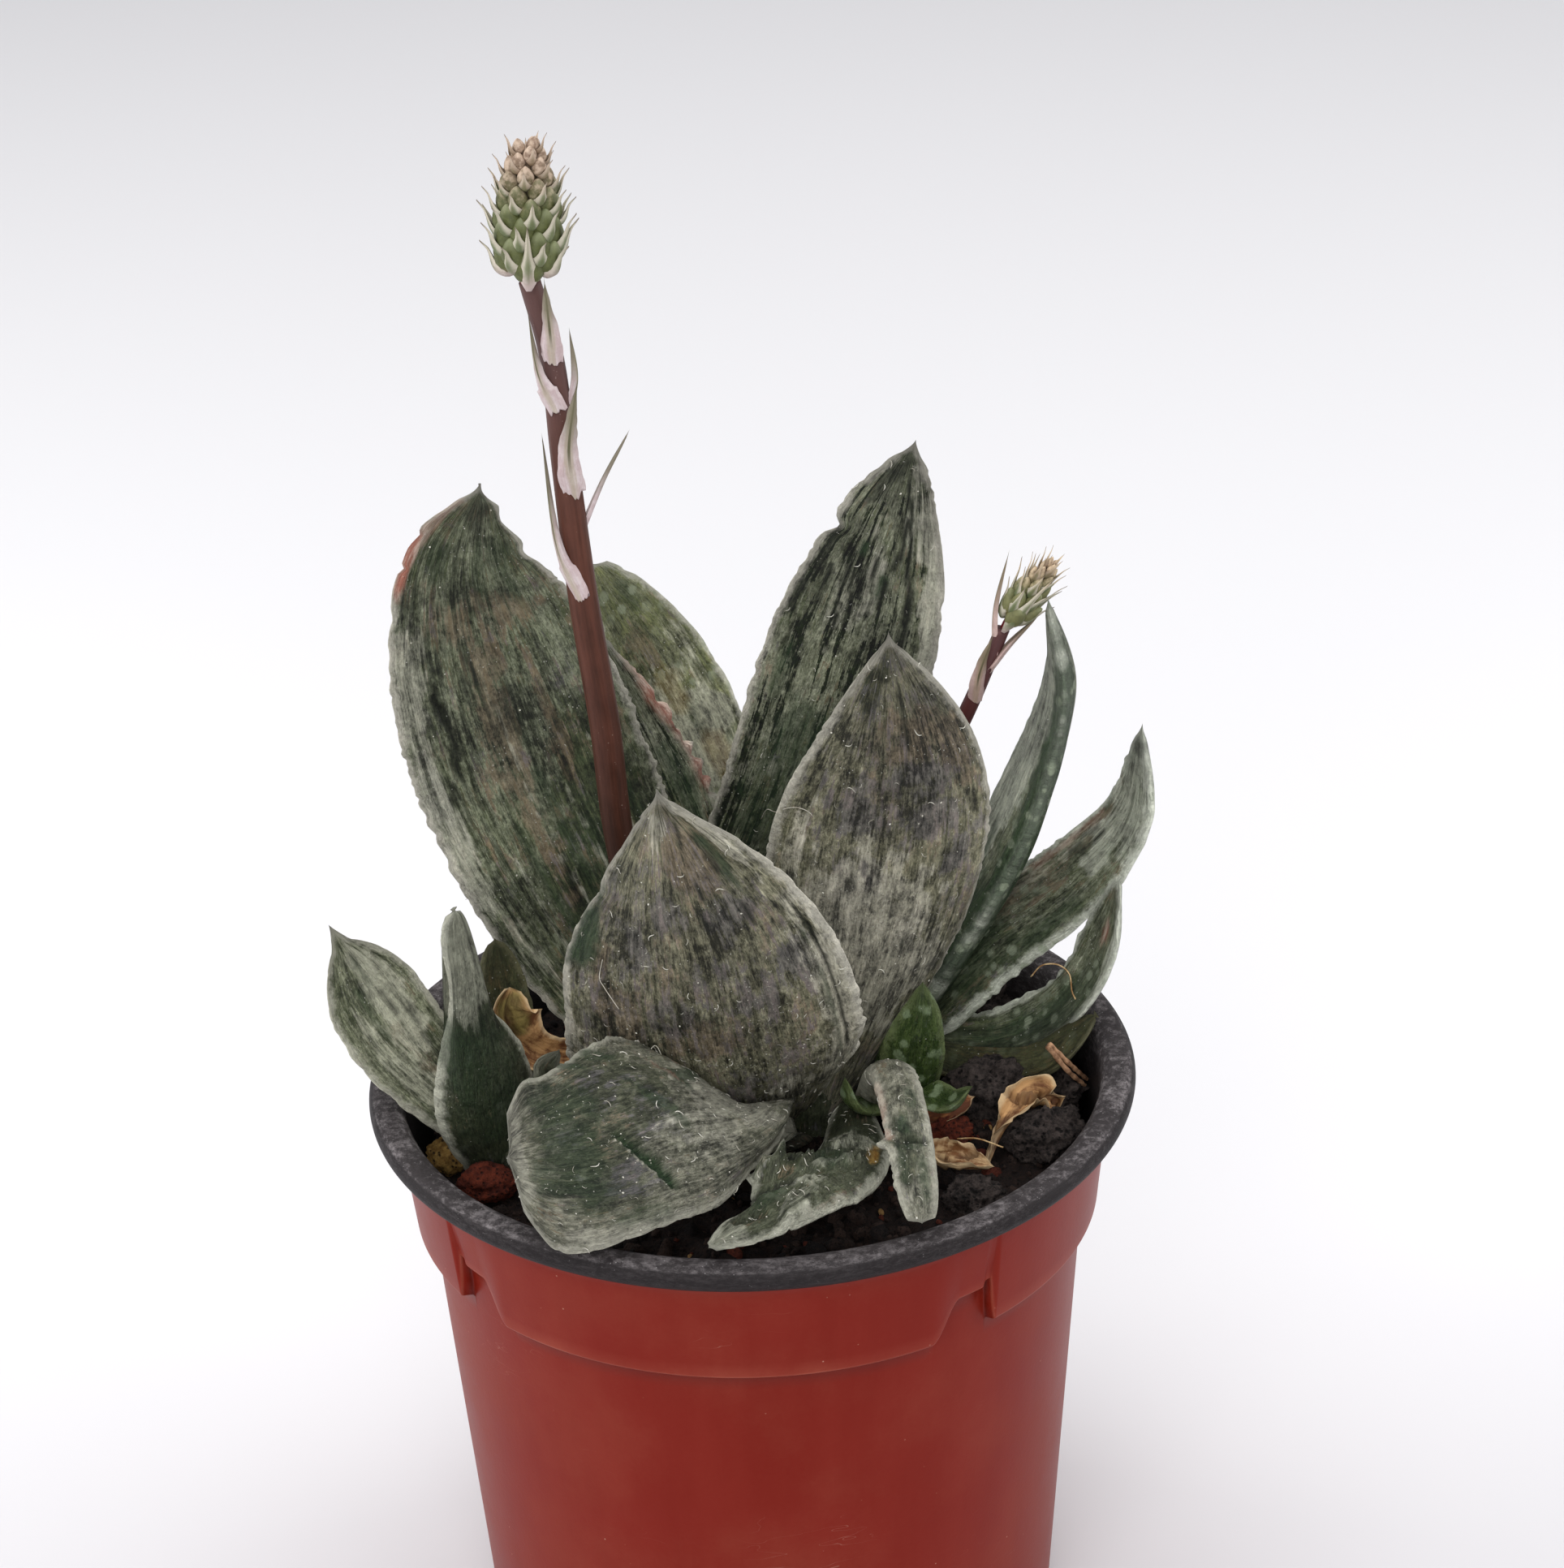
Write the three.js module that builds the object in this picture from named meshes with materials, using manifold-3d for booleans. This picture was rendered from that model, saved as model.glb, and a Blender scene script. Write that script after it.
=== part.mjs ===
// A clump of gasteria with two young flower stalks, growing in a round nursery pot.
// Millimetres, +Z up, origin at the centre of the pot's foot, the best side towards -Y.

import * as THREE from "three";
import Module from "manifold-3d";

const wasm = await Module();
wasm.setup();

// ---------------------------------------------------------------- driving dimensions

const GAP = 0.3; // clearance between touching pieces

const RIM_RADIUS = 50; // outside of the rolled rim
const RIM_TOP = 83.6;
const BEAD_WIDTH = 4.4; // rolled rim, across
const BEAD_HEIGHT = 3.2;
const COLLAR_BOTTOM = 65; // lower edge of the collar under the rim
const COLLAR_RADIUS = 46.6; // just under the rim
const COLLAR_FOOT_RADIUS = 45;
const BODY_RADIUS = 43; // where the tapered body meets the collar
const FOOT_RADIUS = 38.2;
const FOOT_ROUND = 4.5;
const FOOT_PAD_RADIUS = 13.5; // flat middle of the foot
const FOOT_RING_INNER = 32.3; // inside of the foot's outer ring
const WALL = 1.2;
const STACKING_NOTCHES = 4;
const NOTCH_AZIMUTH = 36; // degrees, from -Y towards +X
const NOTCH_RISE = 5.5;
const NOTCH_HALF_WIDTH = 3.5; // degrees
const FLOOR_GROOVE = 1.6; // raised ring of the floor that holds the drain holes
const DRAIN_HOLES = 8;
const DRAIN_RADIUS = 3.2;
const DRAIN_CIRCLE = 23;

const SOIL_TOP = 74;
const SOIL_LUMPS = 0.7; // height of its lumps

const GOLDEN_ANGLE = THREE.MathUtils.degToRad(137.508);

const COLOURS = {
  pot: 0x8c3223,
  soil: 0x2a1f1a,
  crown: 0x6d7a55,
  leaf: 0x66735f,
  leafDark: 0x41523f,
  leafOlive: 0x6a6a3c,
  pupLeaf: 0x3f5f35,
  dried: 0xb98a4e,
  stalk: 0x74443a,
  head: 0x8d9a78,
  lavaBlack: 0x2b2322,
  lavaRed: 0x7a2f20,
  pumice: 0x9c8048,
  twig: 0x8f7357,
};

// ---------------------------------------------------------------- general helpers

const point = ([x, y, z]) => new THREE.Vector3(x, y, z);

/** Repeatable random numbers between 0 and 1. */
function randomFrom(seed) {
  let state = seed;
  return () => {
    state = (state * 1664525 + 1013904223) % 4294967296;
    return state / 4294967296;
  };
}

/** A solid from rings of points, closed at both ends by a fan to an end point. */
function loft(rings, startPoint, endPoint) {
  const sides = rings[0].length;
  const points = [startPoint, ...rings.flat(), endPoint];
  const last = points.length - 1;
  const at = (ring, side) => 1 + ring * sides + (side % sides);
  const triangles = [];
  for (let side = 0; side < sides; side += 1) {
    triangles.push(0, at(0, side + 1), at(0, side));
    triangles.push(last, at(rings.length - 1, side), at(rings.length - 1, side + 1));
    for (let ring = 0; ring < rings.length - 1; ring += 1) {
      const [a, b] = [at(ring, side), at(ring, side + 1)];
      const [c, d] = [at(ring + 1, side), at(ring + 1, side + 1)];
      triangles.push(a, b, c, b, d, c);
    }
  }
  return solidFrom(points, triangles);
}

/** Signed volume of a triangle list, positive when its faces point out. */
function volumeOf(points, triangles) {
  let volume = 0;
  for (let i = 0; i < triangles.length; i += 3) {
    const [a, b, c] = [points[triangles[i]], points[triangles[i + 1]], points[triangles[i + 2]]];
    volume += a.dot(b.clone().cross(c)) / 6;
  }
  return volume;
}

function solidFrom(points, triangles) {
  const outwards = volumeOf(points, triangles) > 0 ? triangles : [...triangles].reverse();
  const vertProperties = new Float32Array(points.flatMap((p) => [p.x, p.y, p.z]));
  const triVerts = new Uint32Array(outwards);
  return new wasm.Manifold(new wasm.Mesh({ numProp: 3, vertProperties, triVerts }));
}

/** The largest body of a solid: what a cut leaves over as scrap is dropped. */
function largestBody(solid) {
  const bodies = solid.decompose();
  return bodies.reduce((best, body) => (body.volume() > best.volume() ? body : best));
}

/** A ring of points round a centre, square to an axis. */
function circle(centre, axis, radius, sides, turn = 0) {
  const helper = Math.abs(axis.z) > 0.9 ? new THREE.Vector3(1, 0, 0) : new THREE.Vector3(0, 0, 1);
  const across = new THREE.Vector3().crossVectors(helper, axis).normalize();
  const along = new THREE.Vector3().crossVectors(axis, across).normalize();
  return Array.from({ length: sides }, (_, side) => {
    const angle = turn + (side / sides) * 2 * Math.PI;
    return centre
      .clone()
      .addScaledVector(across, radius * Math.cos(angle))
      .addScaledVector(along, radius * Math.sin(angle));
  });
}

/** A turned solid on a vertical axis: profile is [radius, height] from bottom to top. */
function turned(x, y, profile, sides) {
  const up = new THREE.Vector3(0, 0, 1);
  const rings = profile.map(([radius, z]) => circle(point([x, y, z]), up, radius, sides));
  const bottom = point([x, y, profile[0][1]]);
  const top = point([x, y, profile[profile.length - 1][1]]);
  return loft(rings, bottom, top);
}

const smoothCurve = (points) =>
  new THREE.CatmullRomCurve3(points.map(point), false, "catmullrom", 0.5);

const model = new THREE.Group();

function addPiece(name, solid, colour, roughness) {
  const mesh = solid.getMesh();
  const geometry = new THREE.BufferGeometry();
  geometry.setAttribute("position", new THREE.BufferAttribute(mesh.vertProperties, 3));
  geometry.setIndex(new THREE.BufferAttribute(mesh.triVerts, 1));
  geometry.computeVertexNormals();
  const material = new THREE.MeshStandardMaterial({ color: colour, roughness, metalness: 0 });
  const piece = new THREE.Mesh(geometry, material);
  piece.name = name;
  model.add(piece);
}

// ---------------------------------------------------------------- pot

/** Azimuths round the pot in degrees, closer together at the stacking notches. */
function potAzimuths() {
  const quarter = 360 / STACKING_NOTCHES;
  const steps = [-6, -3, 3, 4.5, 14, 24, 34, 44, 54, 64, 74];
  const azimuths = [];
  for (let notch = 0; notch < STACKING_NOTCHES; notch += 1) {
    azimuths.push(...steps.map((step) => NOTCH_AZIMUTH + notch * quarter + step));
  }
  return azimuths;
}

/** Height of the collar's lower edge: it lifts at each stacking notch. */
function collarEdge(azimuth) {
  const quarter = 360 / STACKING_NOTCHES;
  const offset = THREE.MathUtils.euclideanModulo(azimuth - NOTCH_AZIMUTH + 45, quarter) - 45;
  return COLLAR_BOTTOM + (Math.abs(offset) < NOTCH_HALF_WIDTH ? NOTCH_RISE : 0);
}

const beadCentre = RIM_TOP - BEAD_HEIGHT / 2;
const taper = (BODY_RADIUS - FOOT_RADIUS) / (COLLAR_BOTTOM - FOOT_ROUND);
const bodyRadius = (z) => FOOT_RADIUS + taper * Math.max(0, z - FOOT_ROUND);
const innerRadius = (z) => bodyRadius(z) - WALL;

/** The pot's section at one azimuth, from the foot up the outside and down the inside. */
function potProfile(azimuth) {
  const edge = collarEdge(azimuth);
  const beadInner = RIM_RADIUS - BEAD_WIDTH;
  const cornerRadius = FOOT_RADIUS - FOOT_ROUND;
  return [
    [FOOT_PAD_RADIUS, 0],
    [FOOT_PAD_RADIUS + WALL, FLOOR_GROOVE],
    [FOOT_RING_INNER - WALL, FLOOR_GROOVE],
    [FOOT_RING_INNER, 0],
    [cornerRadius, 0],
    [cornerRadius + FOOT_ROUND * 0.71, FOOT_ROUND * 0.29],
    [FOOT_RADIUS, FOOT_ROUND],
    [bodyRadius(edge - 1), edge - 1],
    [COLLAR_FOOT_RADIUS, edge + 0.4],
    [COLLAR_RADIUS, beadCentre - BEAD_HEIGHT / 2 - 0.8],
    [RIM_RADIUS - 0.9, beadCentre - BEAD_HEIGHT / 2],
    [RIM_RADIUS, beadCentre],
    [RIM_RADIUS - 0.9, RIM_TOP - 0.4],
    [RIM_RADIUS - BEAD_WIDTH / 2, RIM_TOP],
    [beadInner, RIM_TOP - 0.8],
    [COLLAR_RADIUS - WALL - 0.2, beadCentre - BEAD_HEIGHT / 2 - 0.8],
    [COLLAR_FOOT_RADIUS - WALL, COLLAR_BOTTOM + NOTCH_RISE + 0.6],
    [innerRadius(COLLAR_BOTTOM), COLLAR_BOTTOM - 1],
    [innerRadius(FOOT_ROUND), FOOT_ROUND + 0.5],
    [cornerRadius, FLOOR_GROOVE + WALL],
  ];
}

function buildPot() {
  const azimuths = potAzimuths();
  const sections = azimuths.map(potProfile);
  const rings = sections[0].map((_, level) =>
    azimuths.map((azimuth, side) => {
      const [radius, z] = sections[side][level];
      const angle = THREE.MathUtils.degToRad(azimuth - 90);
      return point([radius * Math.cos(angle), radius * Math.sin(angle), z]);
    }),
  );
  let pot = loft(rings, point([0, 0, 0]), point([0, 0, FLOOR_GROOVE + WALL]));
  for (let hole = 0; hole < DRAIN_HOLES; hole += 1) {
    const angle = (hole / DRAIN_HOLES) * 2 * Math.PI;
    const [x, y] = [DRAIN_CIRCLE * Math.cos(angle), DRAIN_CIRCLE * Math.sin(angle)];
    const drill = turned(x, y, [[DRAIN_RADIUS, -1], [DRAIN_RADIUS, 6]], 10);
    pot = pot.subtract(drill);
  }
  return pot;
}

// ---------------------------------------------------------------- soil and crowns

/** Lumpy height of the potting mix at a place. */
function ground(x, y) {
  const lumps = Math.sin(x * 0.55 + 1.3) * Math.cos(y * 0.5 - 0.4) + 0.5 * Math.sin(x * 0.23 - y * 0.31);
  return SOIL_TOP + SOIL_LUMPS * lumps;
}

const CROWNS = [
  { name: "crown_main", x: 2.5, y: 7.5, radius: 12.5, top: 84 },
  { name: "crown_right", x: 21, y: 19, radius: 6.5, top: 80 },
  { name: "crown_left", x: -31, y: -4, radius: 6, top: 79 },
  { name: "crown_pup", x: 20.5, y: 1.5, radius: 3.8, top: 78 },
];
const CROWN_DEPTH = 9; // below the surface of the mix

function buildCrown(crown, grow = 0) {
  const radius = crown.radius + grow;
  const top = crown.top + grow;
  const profile = [
    [radius * 0.8, SOIL_TOP - CROWN_DEPTH - grow],
    [radius, SOIL_TOP - 3],
    [radius, crown.top - crown.radius * 0.35],
    [radius * 0.8, top - crown.radius * 0.12],
    [radius * 0.4, top],
  ];
  return turned(crown.x, crown.y, profile, 14);
}

/** The mix fills the pot; lift raises its surface, for cutting what lies on it. */
function buildSoil(lift = 0) {
  const sides = 34;
  const low = FLOOR_GROOVE + WALL + GAP;
  const edgeRadius = (z) => (z > COLLAR_BOTTOM ? COLLAR_FOOT_RADIUS - WALL : innerRadius(z)) - GAP;
  const outline = [
    [FOOT_RADIUS - FOOT_ROUND - 0.5, low],
    [edgeRadius(FOOT_ROUND + 0.5), FOOT_ROUND + 1],
    [edgeRadius(COLLAR_BOTTOM - 1), COLLAR_BOTTOM - 1],
    [edgeRadius(COLLAR_BOTTOM - 1) + 0.6, SOIL_TOP - 2],
  ];
  const surface = [0.995, 0.85, 0.7, 0.54, 0.38, 0.2];
  const ring = (radius, height) =>
    Array.from({ length: sides }, (_, side) => {
      const angle = (side / sides) * 2 * Math.PI;
      const [x, y] = [radius * Math.cos(angle), radius * Math.sin(angle)];
      return point([x, y, height(x, y)]);
    });
  const rings = outline.map(([radius, z]) => ring(radius, () => z));
  const reach = edgeRadius(COLLAR_BOTTOM - 1) + 0.6;
  rings.push(...surface.map((share) => ring(reach * share, (x, y) => ground(x, y) + lift)));
  return loft(rings, point([0, 0, low]), point([0, 0, ground(0, 0) + lift]));
}

// ---------------------------------------------------------------- leaves

const LEAF_DEFAULTS = {
  width: 20,
  thick: 4,
  neck: 0.55, // width at the root, as a share of the width
  belly: 0.5, // where along the leaf it is widest
  blunt: 2.2, // higher is a rounder tip
  point: 0.75, // higher is a narrower tip
  cup: 0, // how far the margins stand towards the upper face, as a share of half the width
  fold: 0, // the same for a leaf folded along a crease
  crease: 0, // where across the leaf the crease runs, from -1 to 1
  mucro: 1.6, // length of the point at the tip
  slim: 0.55, // how much the leaf thins towards its tip
  stations: 10,
  sides: 8,
};
const SMALL = { stations: 6, sides: 6, mucro: 0.8 };
const LAST_STATION = 0.975; // the last ring, as a share of the length: the point follows it

/** Half width of a leaf as a share of its greatest half width, along it from 0 to 1. */
function leafOutline(leaf, along) {
  if (along < leaf.belly) {
    return leaf.neck + (1 - leaf.neck) * Math.sin((Math.PI / 2) * (along / leaf.belly));
  }
  const past = (along - leaf.belly) / (1 - leaf.belly);
  return (1 - past ** leaf.blunt) ** leaf.point;
}

/** One ring of a leaf's section, at a share of its length. */
function leafRing(leaf, curve, along, grow) {
  const [rootFace, tipFace] = leaf.face.map(point);
  const centre = curve.getPointAt(along);
  const forward = curve.getTangentAt(along);
  const face = rootFace.lerp(tipFace, along);
  face.addScaledVector(forward, -face.dot(forward)).normalize();
  const across = new THREE.Vector3().crossVectors(forward, face);
  const half = (leaf.width / 2) * leafOutline(leaf, along) + grow;
  const depth = (leaf.thick / 2) * (1 - leaf.slim * along * along);
  return Array.from({ length: leaf.sides }, (_, side) => {
    const angle = (side / leaf.sides) * 2 * Math.PI;
    const [share, height] = [Math.cos(angle), Math.sin(angle)];
    const bulge = height * (depth * (height > 0 ? 0.8 : 1.2) + grow);
    const bend = half * (leaf.cup * share * share + leaf.fold * Math.abs(share - leaf.crease));
    return centre.clone().addScaledVector(across, share * half).addScaledVector(face, bulge + bend);
  });
}

/** A leaf, bract or husk; grow swells it, for cutting its neighbours clear. */
function buildLeaf(given, grow = 0) {
  const leaf = { ...LEAF_DEFAULTS, ...given };
  const curve = smoothCurve(leaf.spine);
  const rings = Array.from({ length: leaf.stations + 1 }, (_, station) =>
    leafRing(leaf, curve, (station / leaf.stations) * LAST_STATION, grow),
  );
  const lastRing = rings[leaf.stations];
  const middle = lastRing.reduce((sum, p) => sum.add(p), new THREE.Vector3());
  middle.multiplyScalar(1 / leaf.sides);
  const apex = middle.addScaledVector(curve.getTangentAt(1), leaf.mucro + grow);
  return loft(rings, curve.getPointAt(0), apex);
}

// Each leaf is laid on a centre line from its root to its tip. face is the way its upper
// side looks, at the root and at the tip. Earlier leaves keep their shape where two meet.
const LEAVES = [
  {
    name: "leaf_front",
    spine: [[0, -1, 77], [-4.4, -13, 93], [-6.7, -17, 112], [-10.2, -14, 130.5]],
    face: [[0.1, 1, 0.4], [0.2, 1, 0.1]],
    width: 38.2, thick: 5.5, neck: 0.43, belly: 0.38, blunt: 2.6, point: 1.05, cup: 0.2,
  },
  {
    name: "leaf_front_right",
    spine: [[7.5, 0, 77], [12.8, 2, 91.5], [17.2, 4, 107], [20, 5, 124], [19.6, 7, 140.8]],
    face: [[-0.3, 1, 0.2], [-0.1, 1, 0.1]],
    width: 29.6, thick: 5, neck: 0.3, belly: 0.52, blunt: 2.1, point: 1.02, cup: 0.2,
  },
  {
    name: "leaf_low_front",
    spine: [[4, -5, 77.5], [-2.4, -20, 88], [-11.8, -32, 94.6], [-21, -38.5, 95.9], [-30.6, -41, 96]],
    face: [[-0.5, -0.7, 1], [0.1, -0.75, 0.66]],
    width: 30, thick: 5, neck: 0.5, belly: 0.62, blunt: 3, point: 0.5, cup: -0.12, mucro: 1,
  },
  {
    name: "leaf_back_tall",
    spine: [[1, 15, 79], [1.6, 20, 95.6], [8.2, 22, 111.3], [15.8, 25, 132], [24.5, 28, 158.6]],
    face: [[0.1, -1, 0.6], [-0.1, -1, 0.35]],
    width: 22.5, thick: 5, neck: 0.6, belly: 0.6, blunt: 2.1, point: 0.88, cup: 0.12,
    fold: 0.1, crease: 0.45, colour: COLOURS.leafDark,
  },
  {
    name: "leaf_left_tall",
    spine: [
      [-8, 9, 79], [-16.5, 13, 93], [-23.1, 15, 108],
      [-29.1, 17, 126], [-33.3, 20, 145], [-31.2, 21, 157.9],
    ],
    face: [[0.35, -1, 0.5], [0.2, -1, 0.15]],
    width: 30.4, thick: 5.5, neck: 0.55, belly: 0.54, blunt: 2.4, point: 0.82, cup: 0.06,
    fold: 0.12, crease: -0.5,
  },
  {
    name: "leaf_left_1",
    spine: [[-33, -4, 75.5], [-41, -3, 85], [-47.4, -3, 95], [-52.8, -2, 105.2]],
    face: [[0.5, -0.6, 0.6], [0.6, -0.8, 0.3]],
    width: 14.2, thick: 3.5, neck: 0.5, belly: 0.66, blunt: 2.6, point: 0.78, cup: 0.1, mucro: 1,
  },
  {
    name: "leaf_left_2",
    spine: [[-33, -7, 75], [-34.3, -9, 86], [-35.6, -10, 97], [-36.6, -9, 113.4]],
    face: [[-0.4, 1, 0.2], [-0.7, 0.7, 0.1]],
    width: 14.5, thick: 4, neck: 0.7, belly: 0.3, blunt: 1.2, point: 1.15, cup: 0.2, mucro: 1,
  },
  {
    name: "leaf_right_1",
    spine: [[20, 20, 78], [27.6, 20, 91], [36, 20, 107], [42, 20, 126], [40.6, 18, 139.8]],
    face: [[-1, -0.2, 0.5], [-1, -0.2, 0.2]],
    width: 14, thick: 5.5, neck: 0.7, belly: 0.45, blunt: 1.8, point: 0.85, cup: 0.1, mucro: 1,
  },
  {
    name: "leaf_right_2",
    spine: [[22, 18, 78], [33.7, 20, 89.5], [44.5, 20, 98.5], [51.4, 20, 107.5], [52.9, 20, 120]],
    face: [[-0.6, -0.8, 0.8], [-0.8, -0.6, 0.2]],
    width: 12.2, thick: 5.5, neck: 0.8, belly: 0.4, blunt: 1.4, point: 1, cup: 0.1, mucro: 1,
  },
  {
    name: "leaf_right_3",
    spine: [[22, 15, 77], [33, 12, 78.2], [41, 9.6, 84], [46.4, 9, 93], [49.1, 10, 103.4]],
    face: [[-0.2, -0.3, 1], [-0.9, -0.5, 0.4]],
    width: 10, thick: 3, neck: 0.6, belly: 0.55, blunt: 2, point: 0.8, cup: 0.3, mucro: 0.8,
  },
  {
    name: "leaf_hooked",
    spine: [[15.5, 0, 78], [16.9, -9, 86.6], [18, -19, 91.3], [19.3, -31, 91], [21, -44, 86.6]],
    face: [[0, -0.5, 1], [0, 0, 1]],
    width: 5, thick: 4.2, neck: 0.8, belly: 0.5, blunt: 3.5, point: 0.5, mucro: 0.8,
  },
  {
    name: "leaf_crumpled",
    spine: [[13, -2, 77], [12, -18, 79.6], [6.8, -30, 84], [0.6, -40, 85.8], [-6.6, -47.6, 85.7]],
    face: [[0, -0.4, 1], [-0.2, -0.5, 1]],
    width: 11, thick: 3.5, neck: 0.5, belly: 0.5, blunt: 2, point: 0.8, cup: -0.2, mucro: 0.8,
  },
  {
    name: "pup_leaf_1",
    spine: [[20.5, 1.5, 76], [21.1, -1, 84.3], [22.2, -1, 90.4], [22.6, 0, 94.5]],
    face: [[0, 1, 0.2], [0, 1, 0.1]],
    width: 8.5, thick: 3, neck: 0.7, belly: 0.4, blunt: 1.8, point: 0.8, ...SMALL, cup: 0.2,
    colour: COLOURS.pupLeaf,
  },
  {
    name: "pup_leaf_2",
    spine: [[18.5, 3, 76], [16.5, 4, 84], [17.5, 5, 88], [19.8, 6, 93]],
    face: [[1, 0.6, 0.2], [1, 0.6, 0.1]],
    width: 5.5, thick: 2.2, ...SMALL,
    colour: COLOURS.pupLeaf,
  },
  {
    name: "pup_leaf_3",
    spine: [[21, 0, 77], [22.5, -5, 80.5], [25.5, -9, 81.5], [28.1, -10, 84.5]],
    face: [[0, -0.3, 1], [-0.5, 0, 1]],
    width: 5, thick: 2, ...SMALL, cup: 0.3,
    colour: COLOURS.pupLeaf,
  },
  {
    name: "pup_leaf_4",
    spine: [[18, 0, 76.5], [14.5, -5, 79.5], [12.5, -8.5, 82.5], [11.9, -9, 86]],
    face: [[1, 1, 0.3], [1, 1, 0.1]],
    width: 4, thick: 2, ...SMALL,
    colour: COLOURS.pupLeaf,
  },
  {
    name: "leaf_right_4",
    spine: [[23, 13.5, 76.5], [30, 6.5, 78.3], [38, 3, 80.5], [45.6, 4, 86.5]],
    face: [[-0.2, -0.3, 1], [-0.8, -0.5, 0.7]],
    width: 11, thick: 3, neck: 0.6, belly: 0.55, blunt: 2.4, point: 0.7, mucro: 0.6,
    colour: COLOURS.leafOlive,
  },
  {
    name: "leaf_back_left",
    spine: [[2, 16, 79], [0.2, 23, 93], [-3, 27.5, 109], [-9.2, 31, 125], [-18.5, 33, 141.8]],
    face: [[0.5, -1, 0.5], [0.6, -1, 0.5]],
    width: 15, thick: 4.5, neck: 0.6, belly: 0.6, blunt: 2.4, point: 0.7, cup: 0.1, mucro: 1,
    colour: COLOURS.leafOlive,
  },
  {
    name: "leaf_left_narrow",
    spine: [[-5, 13, 79], [-4.5, 18, 95], [-7.8, 20, 109.4], [-12.3, 21.5, 122], [-17.5, 22, 136]],
    face: [[0.3, -1, 0.5], [0.5, -1, 0.3]],
    width: 11, thick: 3.5, neck: 0.6, belly: 0.5, blunt: 1.8, point: 0.8, mucro: 1,
  },
  {
    name: "leaf_left_3",
    spine: [[-29.5, -1, 75.5], [-31, 2, 84], [-32, 4, 93], [-32.6, 5, 101]],
    face: [[0.2, -1, 0.2], [0.2, -1, 0.1]],
    width: 7.5, thick: 3, blunt: 2.4, point: 0.6, ...SMALL,
  },
  {
    name: "leaf_dark_low",
    spine: [[-8, 2, 77], [-18, -3, 81], [-26.5, -7, 87], [-24.5, -7, 91]],
    face: [[0, -0.6, 1], [0.8, -0.5, 0.6]],
    width: 7, thick: 2.6, ...SMALL,
    colour: COLOURS.leafDark,
  },
  {
    name: "leaf_rear_1",
    spine: [[4, 17, 79], [6, 29, 87], [8, 38, 97], [9, 43, 111]],
    face: [[0, -0.6, 1], [0, -1, 0.4]],
    width: 21, thick: 5, neck: 0.6, belly: 0.6, cup: 0.12,
  },
  {
    name: "leaf_rear_2",
    spine: [[-4, 15, 78], [-10, 27, 84], [-13, 36, 92], [-14, 41, 103]],
    face: [[0.3, -0.6, 1], [0.4, -1, 0.4]],
    width: 18, thick: 4.5, neck: 0.6, belly: 0.6, cup: 0.12,
  },
  {
    name: "leaf_rear_3",
    spine: [[21, 22, 77], [24, 31, 84], [26, 38, 91], [26, 41, 99]],
    face: [[-0.1, -0.6, 1], [-0.2, -1, 0.4]],
    width: 13, thick: 4, neck: 0.6, belly: 0.6, cup: 0.12,
  },
];

// Thin dried leaves, curled up on the mix.
const DRIED = [
  {
    name: "dry_leaf_left",
    spine: [[-8, 5, 79], [-19, 4, 82], [-27, 1.5, 85], [-31, 0, 89], [-32.2, 0, 93], [-30.7, 1, 96.4]],
    face: [[0, -0.5, 1], [1, -0.3, 0.2]],
    width: 5.5, thick: 1.2, cup: 0.5, ...SMALL,
  },
  {
    name: "dry_leaf_curl",
    spine: [[29.5, -14, 74.6], [32, -9, 77.4], [36, -5, 79.4], [39.5, -4, 76.4]],
    face: [[-0.6, -0.2, 1], [0.2, -0.5, 1]],
    width: 6, thick: 1, cup: 0.6, ...SMALL,
  },
  {
    name: "dry_leaf_flake",
    spine: [[21.5, -12, 76], [25, -15.5, 76.8], [30, -18, 77.4]],
    face: [[0.3, -0.5, 1], [0.3, -0.6, 1]],
    width: 5, thick: 1, cup: 0.6, ...SMALL,
  },
  {
    name: "dry_leaf_husk",
    spine: [[22, -3.5, 76.5], [25.5, -4, 78], [28.5, -2.7, 78.5]],
    face: [[0, -0.8, 1], [0, -0.8, 1]],
    width: 4.5, thick: 1, cup: 0.5, ...SMALL,
  },
];

// ---------------------------------------------------------------- flower stalks

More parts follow.
